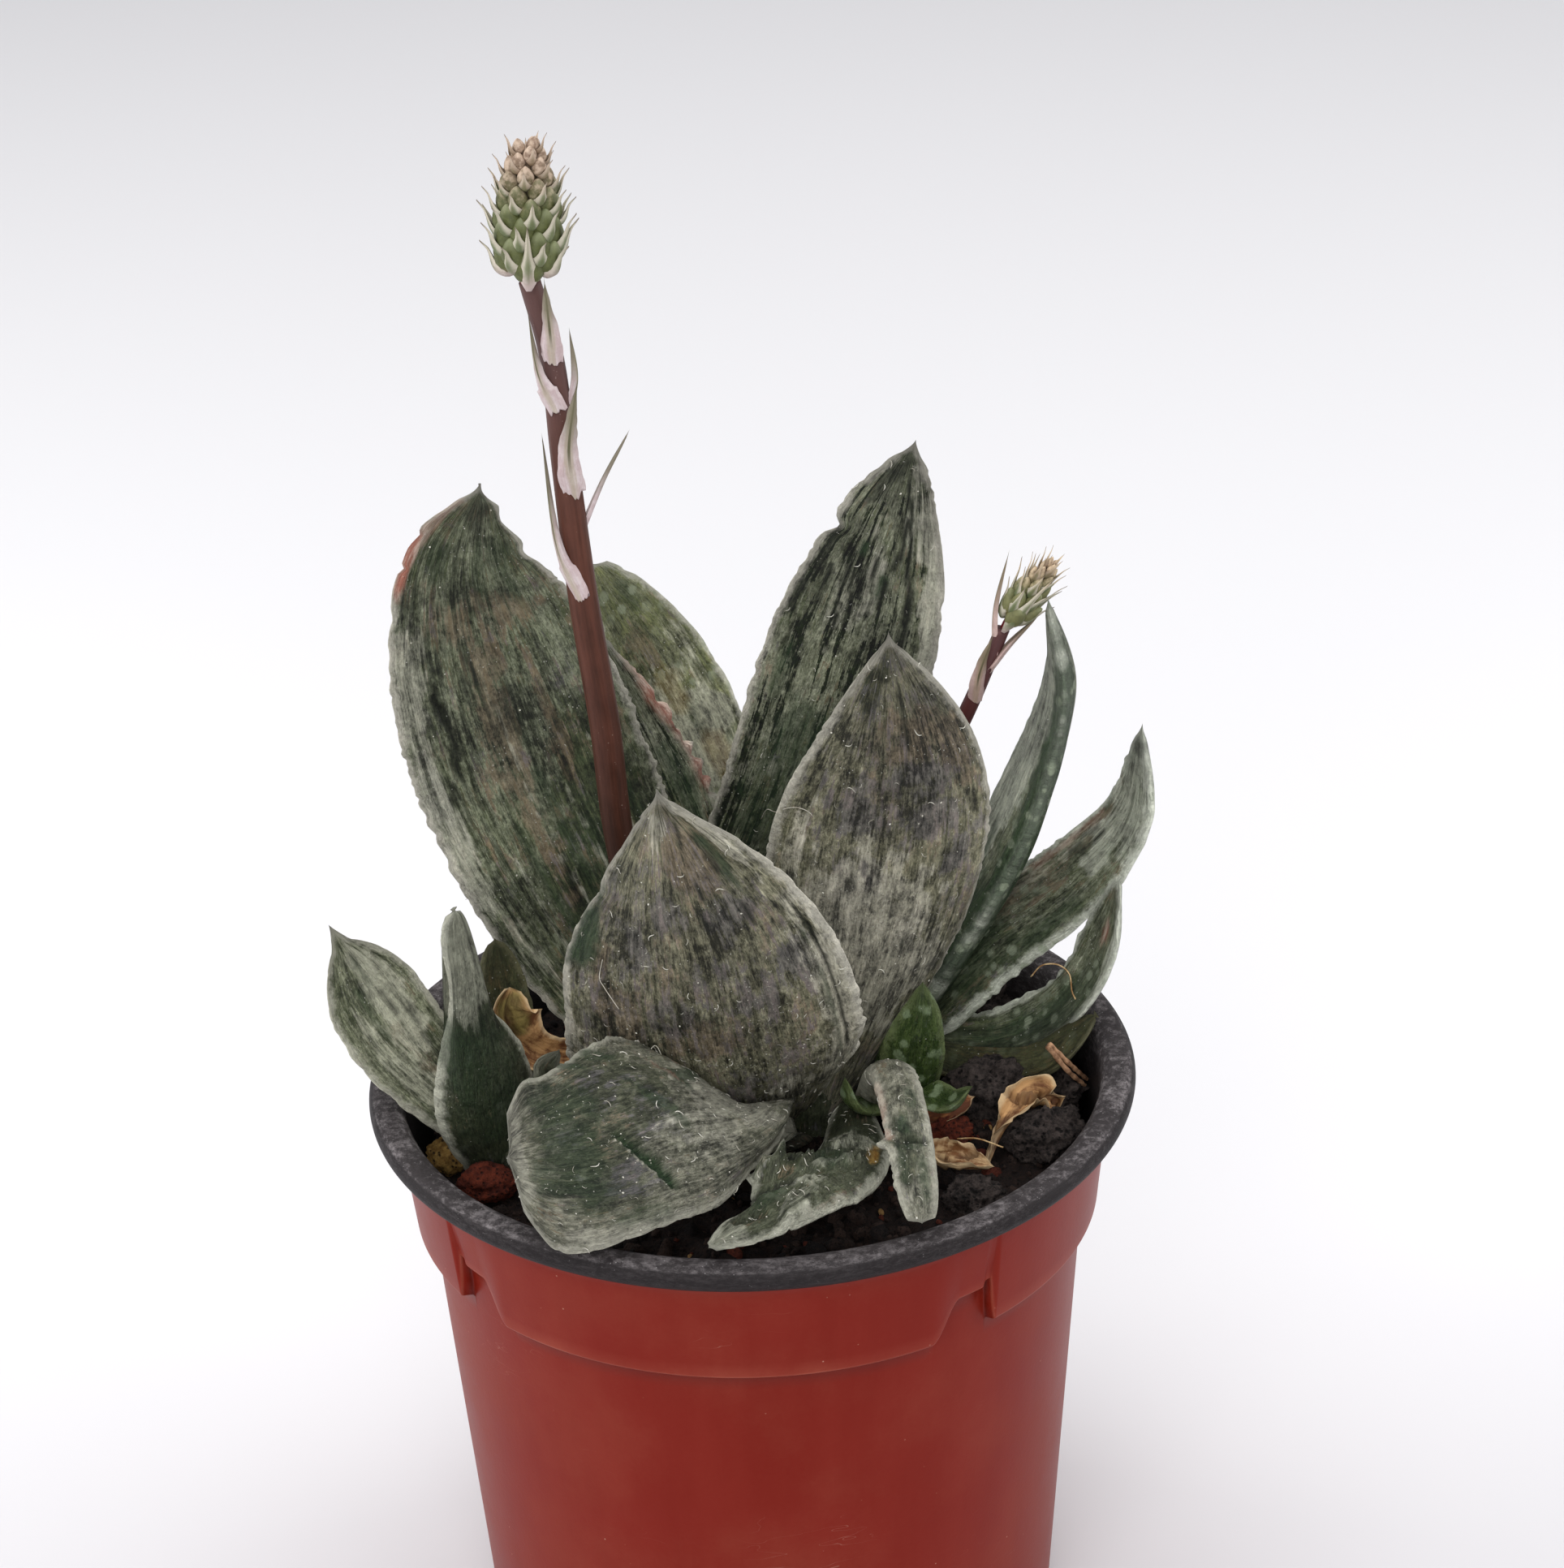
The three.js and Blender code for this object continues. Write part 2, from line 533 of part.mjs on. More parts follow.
const STALKS = [
  {
    name: "flower_stalk_main",
    spine: [
      [-6, 6, 79], [-13, 6, 96], [-15.8, 6, 115], [-16.8, 6, 131], [-18.6, 6, 149],
      [-19.9, 6, 168], [-20.7, 6, 181], [-22.8, 6, 191],
    ],
    rootRadius: 1.6, middleRadius: 1.95, topRadius: 1.35,
    bracts: [
      { spine: [[-21.1, 4.6, 180], [-20.8, 3.8, 185], [-20, 3.4, 192]], face: [0, 1, 0], width: 3 },
      { spine: [[-21.4, 5.4, 174], [-22.8, 5, 180], [-22.9, 5, 188]], face: [1, 0.6, 0], width: 2.8 },
      { spine: [[-19.2, 4.6, 163], [-19, 3.4, 170], [-18.2, 3, 179]], face: [0, 1, 0], width: 3.6 },
      { spine: [[-19.4, 6, 173], [-18, 6, 178], [-18.3, 6, 185]], face: [-1, 0.4, 0], width: 2.4 },
      { spine: [[-19.2, 4.4, 148.2], [-21.6, 4.5, 157], [-22.6, 5, 171]], face: [1, 1, 0], width: 3.4 },
      { spine: [[-18.4, 6.6, 157], [-15.3, 7, 164], [-12, 7, 170]], face: [-1, 0, 1], width: 1.8 },
    ],
  },
  {
    name: "flower_stalk_small",
    spine: [[9, 13, 80], [17, 19, 98], [24, 21, 111], [30, 22, 122.2], [35, 22, 134.3]],
    rootRadius: 1.5, middleRadius: 1.4, topRadius: 1.1,
    bracts: [
      { spine: [[31.2, 21.4, 124.5], [31.8, 20.4, 129], [33.5, 20, 134]], face: [0, 1, 0], width: 2.2 },
      { spine: [[33.4, 21.6, 129], [36, 21.4, 132.5], [39.5, 21.6, 136]], face: [-1, 0, 1], width: 1.8 },
      { spine: [[34, 22, 131], [34.2, 22, 137.5], [35.9, 22, 145]], face: [1, 0, 0], width: 1.8 },
    ],
  },
];
const STALK_SIDES = 8;
const STALK_STATIONS = 12;
const BRACT = {
  thick: 0.8, neck: 0.8, belly: 0.3, blunt: 1.2, point: 0.9, stations: 4, sides: 6, mucro: 0.6,
};

function buildStem(stem, grow = 0) {
  const curve = smoothCurve(stem.spine);
  const stations = stem.stations ?? STALK_STATIONS;
  const rings = Array.from({ length: stations + 1 }, (_, station) => {
    const along = station / stations;
    const swell = stem.middleRadius - (stem.rootRadius + stem.topRadius) / 2;
    const radius = THREE.MathUtils.lerp(stem.rootRadius, stem.topRadius, along)
      + swell * Math.sin(Math.PI * along) + grow;
    return circle(curve.getPointAt(along), curve.getTangentAt(along), radius, stem.sides ?? STALK_SIDES);
  });
  const top = curve.getPointAt(1).addScaledVector(curve.getTangentAt(1), grow);
  return loft(rings, curve.getPointAt(0), top);
}

function buildStalk(stalk, grow = 0) {
  const bracts = stalk.bracts.map((bract) =>
    buildLeaf({ ...BRACT, ...bract, face: [bract.face, bract.face] }, grow),
  );
  return bracts.reduce((whole, bract) => whole.add(bract), buildStem(stalk, grow));
}

// A flower head: buds in a spiral round a core, each with a pointed bract under it.
const HEADS = [
  {
    name: "flower_head_main",
    base: [-22.8, 6, 191], top: [-22, 6, 209.4], radius: 6.3,
    buds: 36, budLength: 5, budWidth: 3.7, bractLength: 7.4,
  },
  {
    name: "flower_head_small",
    base: [35.3, 22, 134.8], top: [41.8, 22, 143.6], radius: 3.1,
    buds: 18, budLength: 4.4, budWidth: 2, bractLength: 5.2,
  },
];

/** Radius of a head's outside at a share of its height, as a share of its greatest. */
function headOutline(share) {
  return 0.5 + 0.5 * Math.sin(Math.PI * Math.min(1, 0.12 + 0.88 * share)) - 0.08 * share;
}

/** One bud and the bract under it. size is 1 for the lowest, less towards the top. */
function buildBud(head, root, out, axis, lean, size) {
  const forward = out.clone().multiplyScalar(Math.sin(lean)).addScaledVector(axis, Math.cos(lean));
  const along = (share) => root.clone().addScaledVector(forward, share * head.budLength * size);
  const width = (share) => (head.budWidth / 2) * share * size;
  const bud = loft(
    [circle(along(0.1), forward, width(0.8), 5), circle(along(0.62), forward, width(0.95), 5)],
    root, along(1),
  );
  const start = root.clone().addScaledVector(axis, -0.8 * size);
  const tip = start.clone().addScaledVector(out, head.bractLength * size * 0.62);
  tip.addScaledVector(axis, head.bractLength * size * 0.78);
  const bend = start.clone().lerp(tip, 0.45).addScaledVector(out, 0.8 * size);
  const side = new THREE.Vector3().crossVectors(out, axis);
  const half = 0.22 * head.bractLength * size;
  const keel = bend.clone().addScaledVector(out, 0.35).addScaledVector(axis, -0.35);
  const inner = bend.clone().addScaledVector(out, -0.35).addScaledVector(axis, 0.35);
  const left = bend.clone().addScaledVector(side, half);
  const right = bend.clone().addScaledVector(side, -half);
  return bud.add(loft([[keel, left, inner, right]], start, tip));
}

function buildHead(head) {
  const base = point(head.base);
  const axis = point(head.top).sub(base);
  const height = axis.length();
  axis.normalize();
  const front = new THREE.Vector3(0, -1, 0);
  front.addScaledVector(axis, -front.dot(axis)).normalize();
  const level = (share) => base.clone().addScaledVector(axis, share * height);
  const coreRings = [0, 0.25, 0.5, 0.75, 0.95].map((share) =>
    circle(level(share), axis, head.radius * 0.45 * headOutline(share), 7),
  );
  let whole = loft(coreRings, base, level(1.02));
  for (let bud = 0; bud < head.buds; bud += 1) {
    const share = (bud + 0.5) / head.buds;
    const out = front.clone().applyAxisAngle(axis, bud * GOLDEN_ANGLE);
    const root = level(0.03 + 0.84 * share);
    root.addScaledVector(out, head.radius * 0.32 * headOutline(share));
    const lean = THREE.MathUtils.lerp(0.85, 0.3, share);
    whole = whole.add(buildBud(head, root, out, axis, lean, 1 - 0.55 * share));
  }
  return whole;
}

// ---------------------------------------------------------------- loose on the mix

const STONES = [
  { name: "pumice_grain", x: -39.8, y: -6.5, size: [2.5, 2.2, 2.1], colour: COLOURS.pumice },
  { name: "lava_red_1", x: -34.5, y: -13.5, size: [2.9, 2.4, 2.0], colour: COLOURS.lavaRed },
  { name: "lava_red_2", x: 25.2, y: -7, size: [2.4, 2.2, 1.8], colour: COLOURS.lavaRed },
  { name: "lava_black_1", x: 31, y: 2, size: [3.6, 3.2, 3.0], colour: COLOURS.lavaBlack },
  { name: "lava_black_2", x: 37.6, y: -9.5, size: [4.2, 3.4, 3.0], colour: COLOURS.lavaBlack },
  { name: "lava_black_3", x: 40.3, y: 3.4, size: [2.8, 3.2, 2.4], colour: COLOURS.lavaBlack },
  { name: "lava_black_4", x: 27.6, y: -22, size: [3.2, 2.8, 2.2], colour: COLOURS.lavaBlack },
  { name: "lava_black_5", x: 32.4, y: 24.4, size: [2.8, 2.8, 2.8], colour: COLOURS.lavaBlack },
];
const SUNK = 0.35; // share of a stone's half height that is in the mix

function buildStone(stone, seed) {
  const random = randomFrom(seed);
  const shape = new THREE.IcosahedronGeometry(1, 1);
  const rough = new Map();
  const position = shape.attributes.position;
  const points = [];
  const triangles = [];
  for (let i = 0; i < position.count; i += 1) {
    const corner = new THREE.Vector3().fromBufferAttribute(position, i);
    const key = corner.toArray().map((value) => value.toFixed(3)).join(" ");
    if (!rough.has(key)) {
      rough.set(key, points.length);
      points.push(corner.multiplyScalar(0.85 + 0.3 * random()));
    }
    triangles.push(rough.get(key));
  }
  const lift = SOIL_TOP + stone.size[2] * (1 - SUNK);
  const turn = random() * Math.PI;
  const placed = points.map((corner) => {
    const scaled = corner.multiply(point(stone.size)).applyAxisAngle(new THREE.Vector3(0, 0, 1), turn);
    return scaled.add(point([stone.x, stone.y, lift]));
  });
  return solidFrom(placed, triangles);
}

const TWIG = {
  spine: [[38.2, 12.5, 74.4], [41.7, 7, 77.8], [43, 2, 80]],
  rootRadius: 0.7, middleRadius: 0.6, topRadius: 0.5, stations: 4, sides: 6,
};

// ---------------------------------------------------------------- assembly

const RIM_SIDES = 52; // of the plain ring that leaves are cut clear of
const placed = []; // every piece so far, swollen by the gap, that later ones are cut clear of

/** Cuts a solid clear of everything placed before it, and keeps its main body. */
function clearOf(solid, cutters) {
  let cut = solid;
  for (const cutter of cutters) {
    cut = cut.subtract(cutter);
  }
  return largestBody(cut);
}

function addClear(name, solid, swollen, colour, roughness) {
  addPiece(name, clearOf(solid, placed), colour, roughness);
  placed.push(swollen);
}

/** The rim with the gap round it, which nothing that hangs over it may touch. */
function rimKeepOut() {
  const outer = RIM_RADIUS + GAP;
  const inner = RIM_RADIUS - BEAD_WIDTH - GAP;
  const block = turned(0, 0, [[outer, COLLAR_BOTTOM], [outer, RIM_TOP + GAP]], RIM_SIDES);
  const mouth = [[inner - WALL, COLLAR_BOTTOM - 1], [inner, RIM_TOP - 2], [inner, RIM_TOP + 1]];
  return block.subtract(turned(0, 0, mouth, RIM_SIDES));
}

addPiece("pot", buildPot(), COLOURS.pot, 0.35);
addPiece("soil", clearOf(buildSoil(), CROWNS.map((crown) => buildCrown(crown, GAP))), COLOURS.soil, 0.95);
for (const crown of CROWNS) {
  addPiece(crown.name, buildCrown(crown), COLOURS.crown, 0.7);
}
placed.push(rimKeepOut(), buildSoil(GAP), ...CROWNS.map((crown) => buildCrown(crown, GAP)));

for (const stalk of STALKS) {
  addClear(stalk.name, buildStalk(stalk), buildStalk(stalk, GAP), COLOURS.stalk, 0.5);
}
for (const head of HEADS) {
  addPiece(head.name, clearOf(buildHead(head), placed), COLOURS.head, 0.6);
}
for (const leaf of LEAVES) {
  addClear(leaf.name, buildLeaf(leaf), buildLeaf(leaf, GAP), leaf.colour ?? COLOURS.leaf, 0.6);
}
STONES.forEach((stone, index) => {
  const swollen = { ...stone, size: stone.size.map((half) => half + GAP) };
  addClear(stone.name, buildStone(stone, index + 1), buildStone(swollen, index + 1), stone.colour, 0.95);
});
for (const leaf of DRIED) {
  addClear(leaf.name, buildLeaf(leaf), buildLeaf(leaf, GAP), COLOURS.dried, 0.8);
}
addPiece("twig", clearOf(buildStem(TWIG), placed), COLOURS.twig, 0.9);

export default model;
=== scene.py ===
"""Potted gasteria: the finished looks of the plant, its pot and its mix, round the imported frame."""

import logging
import math
from collections.abc import Mapping, Sequence
from dataclasses import dataclass, field
from enum import Enum

import bmesh
import bpy
import numpy as np
from mathutils import Matrix, Vector


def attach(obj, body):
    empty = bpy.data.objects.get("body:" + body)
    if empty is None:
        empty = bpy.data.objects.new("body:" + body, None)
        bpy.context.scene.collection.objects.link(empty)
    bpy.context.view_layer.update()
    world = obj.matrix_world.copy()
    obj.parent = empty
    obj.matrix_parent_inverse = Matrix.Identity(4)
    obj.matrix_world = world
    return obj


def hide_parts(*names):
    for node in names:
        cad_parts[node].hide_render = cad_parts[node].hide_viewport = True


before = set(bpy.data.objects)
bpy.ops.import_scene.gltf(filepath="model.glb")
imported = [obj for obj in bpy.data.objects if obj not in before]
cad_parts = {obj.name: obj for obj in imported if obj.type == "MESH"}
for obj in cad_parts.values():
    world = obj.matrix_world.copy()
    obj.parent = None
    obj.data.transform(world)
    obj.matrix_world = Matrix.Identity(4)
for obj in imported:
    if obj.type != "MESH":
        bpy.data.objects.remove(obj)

logging.basicConfig(level=logging.INFO, format="%(message)s")
LOG = logging.getLogger("gasteria")

MM = 0.001
GOLDEN_ANGLE = math.radians(137.508)
LEAF_SEED, BRACT_SEED, STONE_SEED, LINT_SEED, MIX_SEED = 11, 400, 90, 21, 7  # where random draws start
Triple = tuple[float, float, float]


def srgb(red: int, green: int, blue: int) -> Triple:
    """The linear colour of a colour written as on a screen, 0 to 255."""
    parts = [value / 255 for value in (red, green, blue)]
    return tuple(p / 12.92 if p < 0.04045 else ((p + 0.055) / 1.055) ** 2.4 for p in parts)


def smooth_step(value: np.ndarray, low: float, high: float) -> np.ndarray:
    """0 below low, 1 above high and a soft change between them; low may be the larger."""
    share = np.clip((value - low) / (high - low), 0.0, 1.0)
    return share * share * (3 - 2 * share)


def unit(rows: np.ndarray) -> np.ndarray:
    """Rows of vectors, each made one long."""
    return rows / np.linalg.norm(rows, axis=-1, keepdims=True)


# ------------------------------------------------------------------ node graphs


class Wire:
    """One output of a node graph, which can be used in sums with numbers and other wires."""

    def __init__(self, graph: "Graph", socket: bpy.types.NodeSocket) -> None:
        """Keeps the graph and the socket that this wire comes from."""
        self.graph = graph
        self.socket = socket

    def __add__(self, other: "Value") -> "Wire":
        """self + other."""
        return self.graph.maths("ADD", self, other)

    __radd__ = __add__

    def __mul__(self, other: "Value") -> "Wire":
        """self * other."""
        return self.graph.maths("MULTIPLY", self, other)

    __rmul__ = __mul__

    def __sub__(self, other: "Value") -> "Wire":
        """self - other."""
        return self.graph.maths("SUBTRACT", self, other)

    def __rsub__(self, other: "Value") -> "Wire":
        """other - self."""
        return self.graph.maths("SUBTRACT", other, self)

    def __truediv__(self, other: "Value") -> "Wire":
        """self / other."""
        return self.graph.maths("DIVIDE", self, other)

    def __pow__(self, other: "Value") -> "Wire":
        """self to the power of other."""
        return self.graph.maths("POWER", self, other)


Value = Wire | float | int | bool | str | tuple | bpy.types.ID


class Graph:
    """A node tree with one method that adds any node."""

    def __init__(self, tree: bpy.types.NodeTree) -> None:
        """Starts on an empty tree."""
        self.tree = tree

    def add(
        self,
        kind: str,
        settings: Mapping[str, object] | None = None,
        inputs: Mapping[int | str, Value] | None = None,
        output: int | str = 0,
    ) -> Wire:
        """Adds a node.

        Args:
            kind: Blender's name of the node type.
            settings: the node's own settings.
            inputs: values or wires for its sockets, by name or number.
            output: which of its outputs is wanted.

        Returns:
            The wanted output.
        """
        node = self.tree.nodes.new(kind)
        for name, value in (settings or {}).items():
            setattr(node, name, value)
        for name, value in (inputs or {}).items():
            self.feed(node.inputs[name], value)
        return Wire(self, node.outputs[output])

    def feed(self, socket: bpy.types.NodeSocket, value: Value) -> None:
        """Links a wire to a socket, or sets the socket's own value."""
        if isinstance(value, Wire):
            self.tree.links.new(value.socket, socket)
        elif isinstance(value, tuple) and socket.type == "RGBA":
            socket.default_value = (*value[:3], 1.0)
        else:
            socket.default_value = value

    def maths(self, operation: str, first: Value, second: Value = 0.0, clamp: bool = False) -> Wire:
        """Adds a Math node on one or two values."""
        settings = {"operation": operation, "use_clamp": clamp}
        return self.add("ShaderNodeMath", settings, {0: first, 1: second})

    def clamped(self, value: Value) -> Wire:
        """The value kept between 0 and 1."""
        return self.maths("ADD", value, 0.0, clamp=True)

    def vector(self, x: Value, y: Value, z: Value) -> Wire:
        """A vector from its three parts."""
        return self.add("ShaderNodeCombineXYZ", None, {0: x, 1: y, 2: z})

    def scaled(self, vector: Value, factor: Value) -> Wire:
        """A vector or a colour times a number."""
        return self.add("ShaderNodeVectorMath", {"operation": "SCALE"}, {0: vector, "Scale": factor})


class SurfaceGraph(Graph):
    """The node tree of one material."""

    def __init__(self, name: str) -> None:
        """Makes the material and clears its tree."""
        self.material = bpy.data.materials.new(name)
        self.material.use_nodes = True
        super().__init__(self.material.node_tree)
        self.tree.nodes.clear()

    def place(self) -> Wire:
        """The point on the object, in millimetres."""
        return self.scaled(self.add("ShaderNodeTexCoord", output="Object"), 1 / MM)

    def parts(self, vector: Wire) -> tuple[Wire, Wire, Wire]:
        """The x, y and z of a vector."""
        node = self.add("ShaderNodeSeparateXYZ", None, {0: vector}).socket.node
        return tuple(Wire(self, node.outputs[number]) for number in range(3))

    def surface_map(self) -> tuple[Wire, Wire]:
        """The piece's own map: millimetres across and along."""
        across, along, _ = self.parts(self.add("ShaderNodeUVMap", {"uv_map": "surface"}))
        return across, along

    def measure(self, name: str) -> Wire:
        """A number stored on the piece's points."""
        return self.add("ShaderNodeAttribute", {"attribute_name": name}, output="Fac")

    def noise(self, at: Wire, scale: float, detail: float = 2.0, roughness: float = 0.5) -> Wire:
        """Soft noise from 0 to 1."""
        inputs = {"Vector": at, "Scale": scale, "Detail": detail, "Roughness": roughness}
        return self.add("ShaderNodeTexNoise", None, inputs, "Fac")

    def cells(self, at: Wire, scale: float) -> Wire:
        """Distance to the nearest of scattered points."""
        return self.add("ShaderNodeTexVoronoi", None, {"Vector": at, "Scale": scale}, "Distance")

    def step(self, value: Value, low: float, high: float) -> Wire:
        """0 at low, 1 at high, with a soft change between them; low may be the larger."""
        turned = low > high
        ends = (high, low) if turned else (low, high)
        rise = self.add(
            "ShaderNodeMapRange",
            {"interpolation_type": "SMOOTHSTEP"},
            {"Value": value, "From Min": ends[0], "From Max": ends[1]},
        )
        return 1 - rise if turned else rise

    def mix(self, factor: Value, first: Value, second: Value) -> Wire:
        """Two colours mixed by a factor."""
        return self.add("ShaderNodeMix", {"data_type": "RGBA"}, {0: factor, 6: first, 7: second}, 2)

    def strokes(self, at: Wire, detail: float, roughness: float, low: float, high: float) -> Wire:
        """Noise sharpened to strokes, which are long where at is squeezed."""
        return self.step(self.noise(at, 1.0, detail, roughness), low, high)

    def bump(self, height: Wire, distance: float, strength: float = 1.0) -> Wire:
        """A bump from a height; distance is its depth in millimetres."""
        inputs = {"Strength": strength, "Distance": distance * MM, "Height": height}
        return self.add("ShaderNodeBump", None, inputs)

    def finished(self, colour: Value, roughness: Value, normal: Wire, **sockets: Value) -> bpy.types.Material:
        """Closes the tree with one surface shader.

        Args:
            colour: base colour.
            roughness: roughness.
            normal: the bump.
            **sockets: further sockets of the shader, with _ for a space.

        Returns:
            The material.
        """
        inputs = {"Base Color": colour, "Roughness": roughness, "Normal": normal}
        inputs.update({name.replace("_", " "): value for name, value in sockets.items()})
        shader = self.add("ShaderNodeBsdfPrincipled", None, inputs)
        output = self.tree.nodes.new("ShaderNodeOutputMaterial")
        self.feed(output.inputs["Surface"], shader)
        return self.material


class ShapeGraph(Graph):
    """A geometry tree whose sizes are named inputs, run once and kept as a plain mesh."""

    def __init__(self, name: str) -> None:
        """Makes the tree with a geometry input and output."""
        super().__init__(bpy.data.node_groups.new(name, "GeometryNodeTree"))
        self.tree.interface.new_socket("Geometry", in_out="INPUT", socket_type="NodeSocketGeometry")
        self.tree.interface.new_socket("Geometry", in_out="OUTPUT", socket_type="NodeSocketGeometry")
        self.given: dict[str, Value] = {}

    def host(self) -> Wire:
        """The geometry of the object that the tree runs on."""
        return Wire(self, self.tree.nodes.new("NodeGroupInput").outputs["Geometry"])

    def size(self, name: str, value: Value, kind: str = "NodeSocketFloat") -> Wire:
        """A named input with the value that it is given on the modifier."""
        socket = self.tree.interface.new_socket(name, in_out="INPUT", socket_type=kind)
        self.given[socket.identifier] = value
        return Wire(self, self.tree.nodes.new("NodeGroupInput").outputs[name])

    def random(self, low: Value, high: Value, seed: Value, kind: str = "FLOAT") -> Wire:
        """A seeded random number or vector for each point."""
        sockets = {"FLOAT": (2, 3, 1), "FLOAT_VECTOR": (0, 1, 0)}[kind]
        inputs = {sockets[0]: low, sockets[1]: high, "Seed": seed}
        return self.add("FunctionNodeRandomValue", {"data_type": kind}, inputs, sockets[2])

    def template(self, thing: Wire) -> Wire:
        """The geometry of another object that is given as an input."""
        return self.add("GeometryNodeObjectInfo", None, {"Object": thing}, "Geometry")

    def stored(self, geometry: Wire, name: str, value: Value, domain: str = "INSTANCE") -> Wire:
        """Geometry with a number stored on it under a name."""
        settings = {"data_type": "FLOAT", "domain": domain}
        inputs = {"Geometry": geometry, "Name": name, "Value": value}
        return self.add("GeometryNodeStoreNamedAttribute", settings, inputs)

    def joined(self, *parts: Wire) -> Wire:
        """Several geometries as one."""
        node = self.tree.nodes.new("GeometryNodeJoinGeometry")
        for part in parts:
            self.tree.links.new(part.socket, node.inputs[0])
        return Wire(self, node.outputs[0])

    def run(
        self, name: str, geometry: Wire, material: bpy.types.Material, on: bpy.types.Object | None
    ) -> bpy.types.Object:
        """Ends the tree in Realize Instances and Set Material, and runs it.

        Args:
            name: name of the new piece.
            geometry: what the tree makes.
            material: the finish of the new piece.
            on: the object that the tree reads, or None where it starts from nothing.

        Returns:
            The new piece, as a plain mesh without a modifier.
        """
        solid = self.add("GeometryNodeRealizeInstances", None, {0: geometry})
        dressed = self.add("GeometryNodeSetMaterial", None, {"Geometry": solid, "Material": material})
        shaded = self.add("GeometryNodeSetShadeSmooth", None, {"Geometry": dressed})
        end = self.tree.nodes.new("NodeGroupOutput")
        self.tree.links.new(shaded.socket, end.inputs["Geometry"])
        carrier = bpy.data.objects.new(name + "_carrier", on.data.copy() if on else bpy.data.meshes.new(name))
        bpy.context.scene.collection.objects.link(carrier)
        modifier = carrier.modifiers.new("growth", "NODES")
        modifier.node_group = self.tree
        for identifier, value in self.given.items():
            modifier[identifier] = value
        carrier.update_tag()
        graph = bpy.context.evaluated_depsgraph_get()
        mesh = bpy.data.meshes.new_from_object(carrier.evaluated_get(graph))
        carrier.modifiers.remove(modifier)
        bpy.data.objects.remove(carrier)
        return link_piece(name, mesh, material)


# ------------------------------------------------------------------ meshes


class Ripple:
    """Smooth seeded noise over a plane, from -1 to 1."""

    SIDE = 128

    def __init__(self, seed: int) -> None:
        """Draws the lattice of random heights."""
        self.lattice = np.random.default_rng(seed).uniform(-1, 1, (self.SIDE, self.SIDE))

    def at(self, x: np.ndarray, y: np.ndarray | float, octaves: int = 1) -> np.ndarray:
        """Height at places; each further octave is half as high and twice as fine."""
        x, y = np.broadcast_arrays(np.asarray(x, float), np.asarray(y, float))
        total = np.zeros(x.shape)
        for octave in range(octaves):
            total += self._layer(x * 2**octave + 17 * octave, y * 2**octave + 31 * octave) / 2**octave
        return total

    def _layer(self, x: np.ndarray, y: np.ndarray) -> np.ndarray:
        """One octave."""
        left, low = np.floor(x).astype(int), np.floor(y).astype(int)
        across, up = smooth_step(x - left, 0, 1), smooth_step(y - low, 0, 1)
        bottom, top = (
            self._knot(left, row) * (1 - across) + self._knot(left + 1, row) * across
            for row in (low, low + 1)
        )
        return bottom * (1 - up) + top * up

    def _knot(self, column: np.ndarray, row: np.ndarray) -> np.ndarray:
        """Heights of the lattice, which repeats."""
        return self.lattice[column % self.SIDE, row % self.SIDE]


class CentreLine:
    """A smooth line through points, paced by its own length."""

    def __init__(self, points: Sequence[Triple]) -> None:
        """Lays the line densely through the points."""
        knots = np.array(points, float)
        ends = np.vstack([2 * knots[0] - knots[1], knots, 2 * knots[-1] - knots[-2]])
        pace = np.linspace(0, len(knots) - 1, 900)
        part = np.minimum(pace.astype(int), len(knots) - 2)
        t = (pace - part)[:, None]
        p0, p1, p2, p3 = (ends[part + shift] for shift in range(4))
        self.points = 0.5 * (
            2 * p1 + (p2 - p0) * t + (2 * p0 - 5 * p1 + 4 * p2 - p3) * t**2
            + (3 * p1 - p0 - 3 * p2 + p3) * t**3
        )
        steps = np.linalg.norm(np.diff(self.points, axis=0), axis=1)
        self.reach = np.concatenate([[0], np.cumsum(steps)])
        self.length = float(self.reach[-1])

    def at(self, share: np.ndarray) -> np.ndarray:
        """Points at shares of the length."""
        run = np.asarray(share) * self.length
        return np.stack([np.interp(run, self.reach, self.points[:, k]) for k in range(3)], -1)

    def heading(self, share: np.ndarray) -> np.ndarray:
        """Directions at shares of the length."""
        share = np.asarray(share)
        return unit(self.at(np.minimum(share + 0.004, 1)) - self.at(np.maximum(share - 0.004, 0)))


def link_piece(name: str, mesh: bpy.types.Mesh, material: bpy.types.Material) -> bpy.types.Object:
    """Puts a mesh into the scene as an object at the origin, in one material."""
    mesh.name = name
    mesh.materials.clear()
    mesh.materials.append(material)
    piece = bpy.data.objects.new(name, mesh)
    bpy.context.scene.collection.objects.link(piece)
    return piece


def mesh_from(name: str, points: np.ndarray, faces: Sequence[Sequence[int]]) -> bpy.types.Mesh:
    """A smooth-shaded mesh from points in millimetres."""
    mesh = bpy.data.meshes.new(name)
    mesh.from_pydata((points * MM).tolist(), [], [list(face) for face in faces])
    mesh.polygons.foreach_set("use_smooth", [True] * len(mesh.polygons))
    mesh.update()
    return mesh


